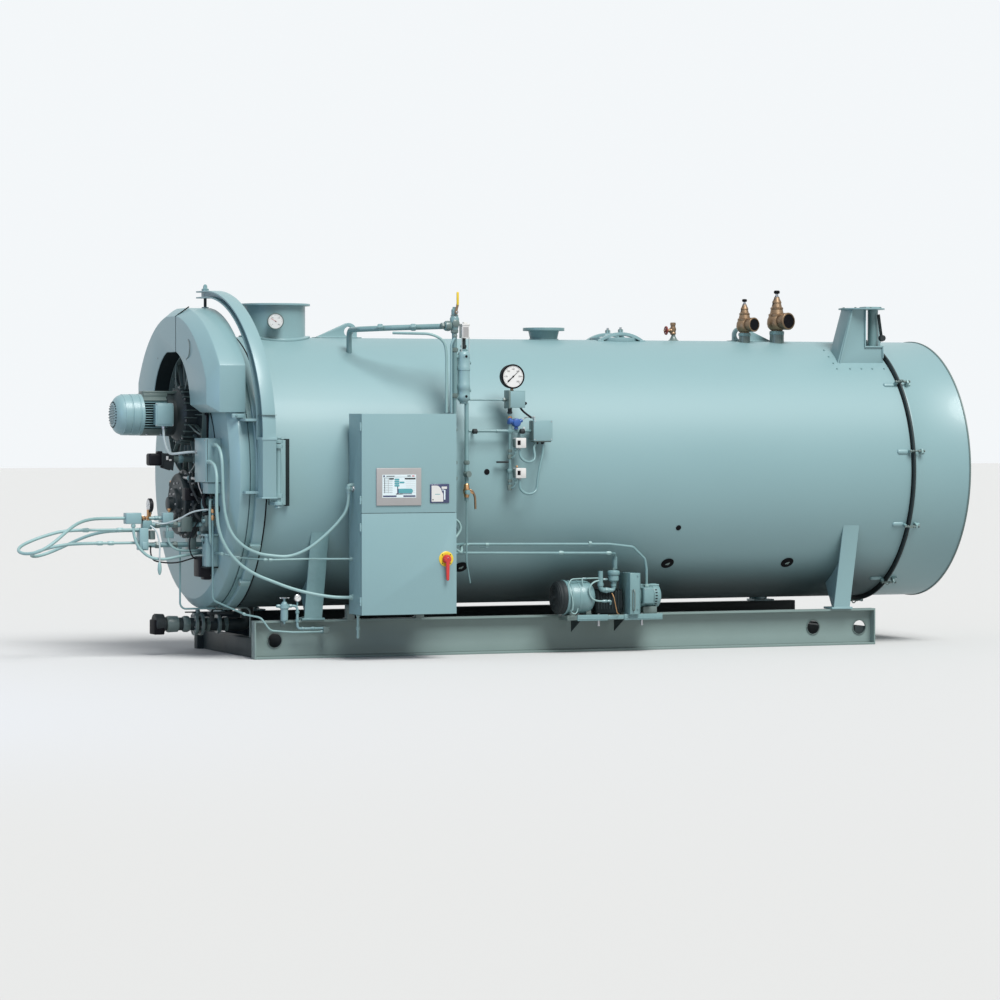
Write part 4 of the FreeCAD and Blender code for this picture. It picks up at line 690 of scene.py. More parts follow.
def makeMotor():
    m = motor
    middle = np.array((0.0, 0.0, m["height"]))
    tail = middle + (m["tail"], 0, 0)
    x = toRear
    g = Gather()
    g.turned([(0.0, 0.092), (0.004, 0.108), (0.014, 0.132), (0.03, 0.158), (0.05, 0.176), (0.072, 0.186),
        (0.084, 0.189), (0.088, 0.194), (0.15, 0.195), (0.154, 0.19), (0.162, 0.19), (0.166, 0.196),
        (0.226, 0.197), (0.23, 0.192), (0.238, 0.192), (0.242, 0.197), (0.27, 0.197), (0.274, 0.193)], tail, x,
        "enamel", 72)
    for ring, count in ((0.02, 5), (0.042, 10), (0.064, 15), (0.084, 20)):
        for turn in np.arange(count) * tau / count + ring * 20:
            hole = tail + (-0.0012, ring * math.cos(turn), ring * math.sin(turn))
            g.turned([(0, 0.0058), (0.0012, 0.0064)], hole, x, "inkBlack", 8)
    for spoke in spokesRound(26):
        g.turned([(0, 0.0066), (0.004, 0.007)], tail + spoke * 0.119 + (0.0065, 0, 0), toFront + spoke,
            "inkBlack", 8)
    g.turned([(0, m["core"]), (m["bellEnd"] - m["cowlEnd"] + 0.02, m["core"])],
        middle + (m["cowlEnd"] - 0.01, 0, 0), x, "inkBlack", 48)
    for fin in range(m["fins"]):
        rise = (fin - (m["fins"] - 1) / 2) * m["finPitch"]
        reach = math.sqrt(m["finReach"] ** 2 - rise ** 2)
        half = m["finThickness"] / 2
        for side in (-1, 1):
            near, far = sorted((side * 0.1, side * reach))
            g.block((m["cowlEnd"] - 0.006, near, m["height"] + rise - half),
                (m["frameEnd"], far, m["height"] + rise + half), "enamelCast", 0.002, 1)
    for low, high in ((43, 137), (223, 317)):
        g.arcBand(middle, x, [(m["cowlEnd"] - 0.006, 0.15), (m["cowlEnd"] - 0.006, 0.196),
            (m["cowlEnd"], 0.199), (m["frameEnd"], 0.199), (m["frameEnd"], 0.15)], low, high, "motorOlive", 20)
    g.block((m["cowlEnd"] + 0.004, -0.105, 2.44), (m["frameEnd"] + 0.02, 0.105, 2.492), "motorOlive", 0.008)
    g.block((m["cowlEnd"] + 0.01, -0.07, 2.486), (-3.72, 0.07, 2.516), "motorOlive", 0.006)
    g.turned([(0, 0.19), (0.006, 0.203), (0.06, 0.205), (0.066, 0.198), (0.09, 0.2), (0.12, 0.232),
        (0.15, 0.252), (0.16, 0.262), (0.278, 0.264), (0.28, 0.3)], middle + (m["frameEnd"], 0, 0), x,
        "enamelShade", 64)
    for ray in spokesRound(24, 0.1):
        g.turnedBlock(middle + ray * 0.262 + (m["bellEnd"] + 0.04, 0, 0), x, ray, (0.125, 0.01, 0.03),
            "motorOlive", 0.003)
    for turn in np.arange(8) * tau / 8 + 0.2:
        place = middle + (m["bellEnd"] - 0.004, 0.265 * math.cos(turn), 0.265 * math.sin(turn))
        g.bolt(place, toFront, 0.012, "steel")
    for spot in ((-4.04, -0.196), (-3.9, -0.196)):
        g.bolt((spot[0], -0.08, m["height"] + spot[1] + 0.012), (0, -0.3, -1), 0.011, "steel")
    # terminal box: foot, case, raised rim and the cover inside it
    g.block((-4.0, -0.262, 2.196), (-3.844, -0.15, 2.384), "enamelCast", 0.006)
    g.block((-4.012, -0.284, 2.18), (-3.832, -0.252, 2.4), "enamel", 0.012)
    g.block((-3.996, -0.29, 2.198), (-3.848, -0.276, 2.384), "enamel", 0.01)
    for dx, dz in ((-4.003, 2.19), (-3.841, 2.19), (-4.003, 2.391), (-3.841, 2.391)):
        g.turned([(0, 0.006), (0.003, 0.006), (0.004, 0.003)], (dx, -0.283, dz), toNear, "steel", 8)
    g.nut((-3.922, -0.24, 2.172), downward, 0.02, "steel", 0.034)
    g.make("fanMotor", "front_head", "fan_motor", slot="motor_paint")


makeMotor()

# Fan inlet inside the shroud's arch: dark plate (painted shade deep in the arch), scroll rim, radial ribs and
# struts
inlet = dict(plateX=-3.592, rimX=-3.64, rim=0.56, ribStart=0.29, ribEnd=0.548, ribs=18)


def makeInlet():
    c = inlet
    middle = np.array((0.0, 0.0, motor["height"]))
    g = Gather()
    # dark plate over the head's face deep in the arch: painted shade
    g.turned([(0, 0.3), (0, c["rim"]), (0.012, c["rim"]), (0.016, 0.3)], middle + (c["plateX"] - 0.002, 0, 0),
        toRear, "nearBlackAndPaintedShade", 96)
    g.arcBand(middle, toRear, [(c["rimX"], c["rim"]), (c["rimX"], c["rim"] + 0.01),
        (c["plateX"] + 0.01, c["rim"] + 0.01), (c["plateX"] + 0.01, c["rim"])], 0, 360, "enamelDark", 96)
    for ray in spokesRound(c["ribs"]):
        centre = middle + ray * (c["ribStart"] + c["ribEnd"]) / 2 + ((c["rimX"] + c["plateX"]) / 2 + 0.006, 0,
            0)
        g.turnedBlock(centre, ray, toRear, (c["ribEnd"] - c["ribStart"], 0.007, 0.04), "enamelDark", 0.002)
    for turn in (62, 118, 200, 340):
        ray = spokeAt(math.radians(turn))
        g.tube([middle + ray * 0.27 + (-3.675, 0, 0), middle + ray * 0.44 + (-3.668, 0, 0),
            middle + ray * 0.552 + (-3.64, 0, 0)], 0.008, "enamelDark", 10, 0.05)
    g.make("fanInlet", "front_head")


makeInlet()

# Shroud: seams, bent rod, plugs, the arch's lining and the tab at its lower corner
shroud = dict(front=-3.773)


def makeShroudDetail():
    s = shroud
    g = Gather()
    # seam down the front face and over the chamfer, a thin bent rod and two plugs on the face
    g.block((s["front"] - 0.0025, -0.149, 2.88), (s["front"] + 0.003, -0.143, 3.222), "nearBlackAndPaintedShade", 0.001, 1)
    g.tube([(-3.774, -0.146, 3.222), (-3.672, -0.246, 3.312)], 0.006, "nearBlackAndPaintedShade", 8)
    g.tube([(-3.774, -0.544, 2.997), (-3.781, -0.6, 2.975), (-3.781, -0.625, 2.925), (-3.781, -0.598, 2.842),
        (-3.774, -0.5, 2.815)], 0.0045, "enamelDark", 8, 0.03)
    for y, z in ((-0.488, 2.812), (0.441, 2.833)):
        g.turned([(0, 0.01), (0.004, 0.008)], (s["front"] + 0.001, y, z), toFront, "enamelDark", 12)
    # painted shade just inside the arch: a thin dark lining
    g.arcBand((0, 0, motor["height"]), toRear, [(-3.766, 0.6115), (-3.766, 0.6145), (-3.58, 0.6145),
        (-3.58, 0.6115)], 9, 171, "nearBlackAndPaintedShade", 48)
    # tab at the lower corner and its bolt
    g.block((-3.56, -1.236, 2.262), (-3.44, -1.205, 2.3), "enamel", 0.003)
    g.bolt((-3.52, -1.236, 2.281), toNear, 0.011, "enamelCast")
    g.make("shroudDetail", "front_head")


makeShroudDetail()

# Davit arm: black rod above the junction box, tip nut, joint line and foot plate; then the hinge's detail
davit = dict(jointZ=2.287)


def makeDavitDetail():
    d = davit
    g = Gather()
    g.tube([(-3.61, -0.56, 2.296), (-3.612, -0.63, 2.29), (-3.614, -0.646, 2.26), (-3.614, -0.64, 2.076)],
        0.011, "inkBlack", 10, 0.02)
    g.block((-3.362, -1.516, d["jointZ"] - 0.002), (-3.22, -1.3, d["jointZ"] + 0.002), "enamelDark", 0.001, 1)
    g.block((-3.366, -1.518, 1.516), (-3.214, -1.35, 1.53), "enamel", 0.003)
    g.turned([(0, 0.034), (0.016, 0.036), (0.022, 0.022), (0.045, 0.02), (0.06, 0.01)], (-3.434, 0, 3.474),
        upward, "enamelCast", 6)
    g.rod((-3.434, 0, 3.31), (-3.434, 0, 3.4), 0.0145, "blackIron", 16)
    g.make("davitDetail", "front_head")
    h = Gather()
    # hinge bracket's dark back plate and edge strip, painted shadow in the recess behind the pin, and the pin's
    # caps
    h.block((-3.206, -1.262, 1.448), (-3.066, -1.238, 2.062), "nearBlackAndPaintedShade", 0.003)
    h.block((-3.066, -1.312, 1.444), (-3.03, -1.236, 2.066), "nearBlackAndPaintedShade", 0.003)
    h.turned([(0, 0.03), (0.01, 0.034), (0.018, 0.024)], (-3.171, -1.4, 2.066), upward, "enamel", 20)
    h.turned([(0, 0.03), (0.01, 0.034), (0.018, 0.024)], (-3.171, -1.4, 1.444), downward, "enamel", 20)
    h.make("hingeDetail", "boiler")


makeDavitDetail()

# Burner drum, its cover rings, sight port and bolts
burner = dict(height=1.44, face=headFace)


def makeBurner():
    b = burner
    base = np.array((b["face"], 0.0, b["height"]))
    out = toFront
    g = Gather()
    # drum and cover rings in the darkened enamel: painted shade
    g.turned([(0, 0.352), (0.01, 0.352), (0.014, 0.332), (0.08, 0.328), (0.09, 0.318), (0.092, 0.292),
        (0.14, 0.29), (0.15, 0.28), (0.152, 0.262), (0.146, 0.25), (0.146, 0.16), (0.152, 0.15), (0.184, 0.148),
        (0.19, 0.14), (0.19, 0.078), (0.194, 0.07), (0.236, 0.068), (0.24, 0.062)], base, out, "enamelShade",
        72)
    for ray in spokesRound(16):
        g.bolt(base + ray * 0.306 + (-0.091, 0, 0), out, 0.012, "steel")
    for ray in spokesRound(12, 0.2):
        g.bolt(base + ray * 0.204 + (-0.146, 0, 0), out, 0.011, "steel")
    for ray in spokesRound(6):
        g.bolt(base + ray * 0.108 + (-0.19, 0, 0), out, 0.01, "steel")
    sight = base + (-0.15, 0.215, 0.15)
    g.turned([(0, 0.034), (0.03, 0.034), (0.034, 0.04), (0.05, 0.04), (0.054, 0.032)],
        base + (-0.09, 0.225, 0.18), out, "brass", 24)
    g.turned([(0, 0.026), (0.002, 0.026)], base + (-0.1445, 0.225, 0.18), out, "inkBlack", 24)
    g.tube([sight + (0, 0.0, -0.36), sight + (-0.07, 0, -0.36), sight + (-0.07, -0.1, -0.36),
        sight + (0, -0.1, -0.36)], 0.009, "blackIron", 10, 0.02)
    # long dark gasket edge of the burner's door and its hinge side on the head's face
    g.arcBand((0, 0, 1.8), toRear, [(-3.5805, 0.792), (-3.5805, 0.806), (-3.572, 0.806), (-3.572, 0.792)], 98,
        262, "nearBlackAndPaintedShade", 60)
    g.make("burnerDrum", "front_head", "burner_housing")


makeBurner()

# Scanner, drive boxes, duct, lever shaft and linkages on the burner's near side
drives = dict(scannerY=-0.12, scannerZ=1.868, shaftX=-3.69, shaftZ=1.69)


def makeDrives():
    d = drives
    y, z = d["scannerY"], d["scannerZ"]
    g = Gather()
    g.tube([(headFace, y, z), (-3.84, y, z)], 0.03, "enamelDark", 20)
    g.turned([(0, 0.048), (0.014, 0.05), (0.018, 0.036)], (-3.577, y, z), toFront, "enamelCast", 24)
    g.nut((-3.72, y, z), toRear, 0.038, "enamelCast", 0.05)
    g.block((-4.044, y - 0.062, z - 0.06), (-3.916, y + 0.062, z + 0.056), "blackPlastic", 0.02, 3)
    g.block((-3.955, y - 0.04, z + 0.044), (-3.905, y + 0.04, z + 0.078), "blackPlastic", 0.012)
    g.block((-3.924, y - 0.058, z - 0.064), (-3.896, y + 0.058, z + 0.06), "blackIron", 0.006)
    slant = [(-3.902, z - 0.08), (-3.808, z - 0.108), (-3.8, z - 0.04), (-3.8, z + 0.056), (-3.902, z + 0.056)]
    g.plate(slant, (0, y - 0.056, 0), toRear, upward, -0.008, "blackIron")
    g.plate(slant, (0, y + 0.056, 0), toRear, upward, -0.008, "blackIron")
    g.block((-3.88, y - 0.068, z - 0.006), (-3.858, y - 0.056, z + 0.03), "whitePlastic", 0.003)
    g.block((-3.85, y - 0.064, z - 0.016), (-3.826, y - 0.056, z + 0.002), "whitePlastic", 0.003)
    for dz in (-0.032, 0.032):
        g.bolt((-3.9175, y - 0.03, z + dz), toFront, 0.007, "steel")
    # upper drive box on its bracket
    g.block((-3.79, -0.505, 1.482), (-3.668, -0.395, 1.6), "blackPlastic", 0.01, 3)
    g.block((-3.69, -0.48, 1.5), (headFace, -0.42, 1.582), "blackIron", 0.004)
    g.turned([(0, 0.014), (0.03, 0.014)], (-3.73, -0.505, 1.541), toNear, "steel", 12)
    # lower drive box
    g.block((-3.72, -0.7, 0.77), (-3.6, -0.53, 0.96), "blackPlastic", 0.014, 3)
    g.block((-3.66, -0.676, 0.742), (-3.59, -0.56, 0.785), "blackPlastic", 0.01)
    g.block((-3.61, -0.69, 0.79), (headFace, -0.54, 0.94), "blackIron", 0.004)
    # air duct with its folded top edge and dark lower end
    g.block((-3.69, -0.84, 0.862), (headFace, -0.705, 1.17), "enamel", 0.006)
    g.block((-3.7, -0.85, 1.155), (headFace, -0.695, 1.176), "enamel", 0.004)
    g.block((-3.698, -0.848, 0.856), (headFace, -0.697, 0.872), "nearBlackAndPaintedShade", 0.003)
    # lever shaft across the face with its bearings and levers, then links, bosses and valve bodies
    sx, sz = d["shaftX"], d["shaftZ"]
    g.rod((sx, 0.03, sz), (sx, -0.78, sz), 0.015, "steel", 16)
    g.rod((sx, -0.3, sz), (sx, -0.33, sz), 0.026, "enamelCast", 16)
    for yb in (-0.02, -0.56):
        g.block((-3.712, yb - 0.018, 1.66), (headFace, yb + 0.018, 1.712), "enamelCast", 0.006)
    for ya, za in ((-0.42, 1.745), (-0.5, 1.64), (-0.66, 1.738)):
        g.turnedBlock((sx, ya, (sz + za) / 2), (0, 0.001, 1), toRear, (abs(za - sz) + 0.03, 0.02, 0.014),
            "blackIron", 0.003)
        g.turned([(0, 0.011), (0.02, 0.011), (0.024, 0.007)], (-3.704, ya, za), toFront, "steel", 12)
    links = (([(-3.712, -0.5, 1.64), (-3.73, -0.545, 1.56), (-3.7, -0.64, 1.47)], 0.008, "blackIron"),
        ([(-3.712, -0.42, 1.74), (-3.74, -0.48, 1.7), (-3.752, -0.56, 1.61), (-3.7, -0.6, 1.5)], 0.01,
        "blackIron"), ([(-3.712, -0.66, 1.738), (-3.725, -0.7, 1.64), (-3.69, -0.72, 1.54)], 0.007, "steel"),
        ([(-3.66, -0.56, 1.47), (-3.74, -0.59, 1.42), (-3.72, -0.64, 1.33), (-3.65, -0.66, 1.29)], 0.016,
        "blackIron"), ([(-3.62, -0.74, 1.56), (-3.7, -0.79, 1.53), (-3.7, -0.8, 1.43), (-3.62, -0.8, 1.38)],
        0.018, "blackPlastic"), ([(-3.6, -0.6, 1.66), (-3.66, -0.64, 1.6), (-3.66, -0.66, 1.44),
        (-3.6, -0.66, 1.4)], 0.013, "blackPlastic"))
    for path, radius, look in links:
        g.tube(path, radius, look, 10, 0.05)
    for yc, zc, size in ((-0.64, 1.47, 0.03), (-0.6, 1.5, 0.026), (-0.72, 1.54, 0.022), (-0.76, 1.36, 0.036)):
        g.turned([(0, size), (0.014, size * 1.05), (0.04, size * 0.9), (0.1, size * 0.5)], (-3.6, yc, zc),
            toFront, "blackIron", 20)
    for yc, zc, h in ((-0.7, 1.26, 0.06), (-0.8, 1.3, 0.05), (-0.64, 1.18, 0.055), (-0.76, 1.12, 0.045)):
        g.block((-3.69, yc - 0.03, zc - h), (headFace, yc + 0.03, zc + h), "enamelDark", 0.008)
        g.nut((-3.7, yc, zc), toRear, 0.018, "enamelCast", 0.03)
    # butterfly valve body and pilot line beside the shaft
    g.turned([(0, 0.07), (0.012, 0.074), (0.06, 0.074), (0.072, 0.062), (0.11, 0.06)], (headFace, -0.72, 1.455),
        toFront, "enamelCast", 28)
    g.tube([(-3.62, -0.82, 1.5), (-3.66, -0.868, 1.5), (-3.668, -0.88, 1.3), (-3.66, -0.872, 1.11),
        (-3.62, -0.83, 1.06)], 0.013, "hoseSleeve", 12, 0.06)
    g.make("burnerDrives", "front_head", "burner_drives", slot="black_plastic")


makeDrives()

# Fuel train: two manifolds with blocks, unions, gauge on a brass stem, looping lines and the sensing bulb
train = dict(y=-0.45, upper=1.256, lower=1.068, end=-4.17, face=headFace)


def makeFuelTrain():
    t = train
    y = t["y"]
    g = Gather()
    for z, radius in ((t["upper"], 0.024), (t["lower"], 0.024)):
        g.tube([(t["face"], y, z), (t["end"], y, z)], radius, "enamelCast", 18)
        g.turned([(0, 0.046), (0.01, 0.048), (0.014, 0.034)], (t["face"] - 0.001, y, z), toFront, "enamelCast",
            20)
        for x in (-3.88, -4.05):
            g.nut((x, y, z), toRear, 0.034, "enamelDark", 0.05)
    boxes = (((-4.235, -0.06, 1.02), (-4.15, 0.06, 1.23), "enamel"),
        ((-4.215, -0.07, 1.03), (-4.165, 0.07, 1.1), "enamel"),
        ((-4.365, -0.05, 1.268), (-4.215, 0.05, 1.372), "enamel"),
        ((-4.01, -0.055, 1.262), (-3.905, 0.055, 1.372), "enamel"),
        ((-4.2, -0.04, 1.215), (-4.11, 0.04, 1.3), "enamelCast"),
        ((-3.83, -0.06, 1.19), (-3.72, 0.06, 1.33), "enamelDark"),
        ((-3.76, -0.05, 1.01), (-3.68, 0.05, 1.13), "enamelDark"),
        ((-4.13, -0.045, 1.12), (-4.08, 0.045, 1.205), "enamelDark"),
        ((-3.98, -0.05, 1.13), (-3.9, 0.05, 1.2), "enamelCast"))
    for low, high, look in boxes:
        g.block((low[0], y + low[1], low[2]), (high[0], y + high[1], high[2]), look, 0.007)
    g.tube([(-4.235, -0.48, 1.215), (-4.768, -0.48, 1.215)], 0.013, "hoseSleeve", 14)
    g.tube([(-4.235, -0.45, 1.09), (-4.624, -0.45, 1.09)], 0.013, "hoseSleeve", 14)
    for x, yh, z in ((-4.75, -0.48, 1.215), (-4.42, -0.48, 1.215), (-4.606, -0.45, 1.09), (-4.5, -0.45, 1.09)):
        g.nut((x, yh, z), toRear, 0.022, "hoseSleeve", 0.06)
    g.tube([(-4.215, y, 1.32), (-3.9, y, 1.32)], 0.017, "enamelPale", 14)
    g.nut((-4.19, y, 1.32), toRear, 0.024, "brass", 0.03)
    g.nut((-4.06, y, 1.32), toRear, 0.024, "enamelCast", 0.04)
    # gauge seen edge on, its dial towards the front
    g.tube([(-4.119, y, 1.29), (-4.119, y, 1.385)], 0.01, "brass", 12)
    g.nut((-4.119, y, 1.365), upward, 0.016, "brass", 0.024)
    g.turned([(0, 0.06), (0.004, 0.066), (0.03, 0.066), (0.034, 0.062)], (-4.137, y, 1.44), toRear,
        "blackPlastic", 40)
    g.turned([(0, 0.056), (0.001, 0.056)], (-4.138, y, 1.44), toRear, "dialWhite", 40)
    g.turned([(0, 0.062), (0.006, 0.05)], (-4.103, y, 1.44), toRear, "blackPlastic", 40)
    g.turnedBlock((-4.1385, y - 0.012, 1.45), (0, -0.9, 0.8), toRear, (0.052, 0.003, 0.001), "inkBlack", 0.0004)
    for turn in np.radians(np.linspace(-45, 225, 10)):
        ray = spokeAt(turn)
        g.turnedBlock(np.array((-4.1385, y, 1.44)) + ray * 0.047, ray, toRear, (0.01, 0.002, 0.001), "inkBlack",
            0.0003)
    g.tube([(-4.145, y - 0.02, 1.3), (-4.145, y - 0.02, 1.4)], 0.012, "brass", 12)
    # lines that leave the blocks and curve down and back to the head
    lines = (([(-4.29, y - 0.03, 1.268), (-4.29, y - 0.035, 1.18), (-4.262, y - 0.06, 1.06),
        (-4.16, y - 0.085, 0.955), (-4.02, y - 0.1, 0.93), (-3.85, y - 0.1, 0.965), (-3.69, y - 0.06, 0.985),
        (-3.58, y, 0.99)], 0.014, "hoseSleeve", 0.12), ([(-3.958, y - 0.02, 1.262), (-3.958, y - 0.03, 1.17),
        (-3.95, y - 0.05, 1.075), (-3.88, y - 0.07, 1.02), (-3.76, y - 0.07, 1.01), (-3.6, y - 0.03, 1.015)],
        0.012, "hoseSleeve", 0.1), ([(-4.105, y - 0.055, 1.285), (-4.05, y - 0.075, 1.27),
        (-3.99, y - 0.09, 1.27), (-3.9, y - 0.2, 1.31), (-3.8, y - 0.3, 1.385), (-3.7, y - 0.38, 1.405),
        (-3.655, y - 0.4, 1.405)], 0.008, "paleLead", 0.1),
        ([(-4.13, y - 0.05, 1.25), (-4.085, y - 0.09, 1.21), (-4.06, y - 0.11, 1.1), (-4.06, y - 0.12, 1.04),
        (-4.062, y - 0.12, 0.91)], 0.008, "paleLead", 0.08),
        ([(-4.125, y - 0.04, 1.06), (-4.13, y - 0.05, 0.99), (-4.105, y - 0.05, 0.925), (-4.05, y - 0.06, 0.91),
        (-3.96, y - 0.08, 0.898), (-3.86, y - 0.1, 0.905), (-3.77, y - 0.12, 0.935), (-3.69, y - 0.12, 0.955)],
        0.007, "blackPlastic", 0.07), ([(-3.7, y - 0.16, 1.29), (-3.77, y - 0.17, 1.18),
        (-3.79, y - 0.16, 1.06), (-3.76, y - 0.16, 0.96), (-3.7, y - 0.14, 0.93)], 0.007, "blackPlastic", 0.07))
    for path, radius, look, bend in lines:
        g.tube(path, radius, look, 12, bend)
    g.turned([(0, 0.008), (0.016, 0.016), (0.07, 0.02), (0.096, 0.016), (0.12, 0.007)],
        (-4.062, y - 0.12, 0.91), downward, "hoseSleeve", 18)
    g.nut((-4.29, y - 0.03, 1.25), upward, 0.021, "hoseSleeve", 0.034)
    g.nut((-3.958, y - 0.02, 1.244), upward, 0.019, "hoseSleeve", 0.03)
    for x, z in ((-4.19, 1.306), (-4.16, 1.306), (-3.94, 1.378)):
        g.turned([(0, 0.012), (0.01, 0.012), (0.014, 0.02), (0.03, 0.02), (0.034, 0.012)], (x, y - 0.03, z),
            upward, "brass", 14)
    for x in (-3.7, -3.84):
        g.turned([(0, 0.022), (0.04, 0.022), (0.045, 0.036), (0.075, 0.036), (0.08, 0.02)], (x, y, 1.326),
            upward, "blackIron", 18)
    g.make("fuelTrain", "front_head", "fuel_train", slot="motor_paint")
    h = Gather()
    # brass elbow and unions at the top of the return line, and couplings on the lines below it
    h.nut((-3.64, -0.88, 1.392), upward, 0.019, "brass", 0.036)
    h.nut((-3.64, -0.88, 1.33), upward, 0.017, "brass", 0.05)
    h.turned([(0, 0.016), (0.02, 0.017), (0.04, 0.012)], (-3.64, -0.868, 1.41), toFar, "brass", 14)
    h.nut((-3.6, -0.88, 1.41), toRear, 0.017, "brass", 0.04)
    h.turned([(0, 0.03), (0.03, 0.032), (0.06, 0.022)], (-3.578, -0.88, 1.41), toFront, "blackIron", 20)
    h.nut((-3.827, y, 0.462 + 0.58), upward, 0.017, "enamelCast", 0.03)
    h.nut((-3.34, -0.9, 0.426), (264, -20, -136), 0.014, "enamelPale", 0.036)
    h.nut((-3.612, -1.06, 1.0), toFar, 0.016, "hoseSleeve", 0.05)
    h.nut((-3.47, -1.104, 0.964), (150, -38, -27), 0.016, "hoseSleeve", 0.06)
    h.nut((-3.2, -1.108, 0.939), toRear, 0.015, "hoseSleeve", 0.04)
    h.make("headFittings", "front_head", slot="bronze")


makeFuelTrain()

# Junction box on the head: lid with a rolled edge, screws, the lower box's line and the conduits' connectors
headBox = dict(low=(-3.724, -0.945, 1.659), high=(headFace, -0.6, 2.072))


def makeHeadBox():
    low, high = headBox["low"], headBox["high"]
    g = Gather()
    g.block((low[0] - 0.004, low[1] + 0.004, low[2] + 0.004),
        (low[0] + 0.006, high[1] - 0.004, high[2] - 0.004), "enamel", 0.003)
    g.block((low[0] + 0.012, low[1] - 0.0008, low[2] + 0.01), (low[0] + 0.016, low[1] + 0.002, high[2] - 0.01),
        "nearBlackAndPaintedShade", 0.0006, 1)
    g.block((-3.702, -0.932, 1.652), (-3.58, -0.758, 1.66), "nearBlackAndPaintedShade", 0.001, 1)
    for y in (-0.925, -0.62):
        for z in (1.68, 2.052):
            g.turned([(0, 0.007), (0.003, 0.007), (0.0045, 0.004)], (low[0] - 0.004, y, z), toFront, "steel",
                10)
    for x, z in ((-3.65, 2.009), (-3.7, 1.851)):
        g.turned([(0, 0.021), (0.008, 0.022), (0.012, 0.018), (0.04, 0.018), (0.044, 0.02), (0.066, 0.02),
            (0.072, 0.0165), (0.088, 0.0155)], (x, low[1] - 0.001, z), toNear, "hoseSleeve", 20)
    g.nut((-3.724, -0.65, 1.942), toFront, 0.019, "steel", 0.03)
    g.nut((-3.64, -0.846, 1.551), upward, 0.022, "blackIron", 0.03)
    g.tube([(-3.64, -0.846, 1.555), (-3.65, -0.85, 1.48), (-3.64, -0.87, 1.43)], 0.014, "blackIron", 12, 0.03)
    g.make("headBoxDetail", "front_head")


makeHeadBox()
print("front of the boiler")

# Cabinet: operator screen, controller, disconnect switch, modules inside, glands and the pipe below
cabinet = dict(x0=-2.443, x1=-1.504, face=-1.66, back=-1.31, low=0.432, high=2.299, split=1.377)
screen = dict(low=(-2.303, 1.446), high=(-1.858, 1.796), glassLow=(-2.246, 1.52), glassHigh=(-1.912, 1.734))


def facePlate(g, x0, x1, z0, z1, y0, y1, look, rounding=0.0006):
    return g.block((x0, y0, z0), (x1, y1, z1), look, rounding, 1)


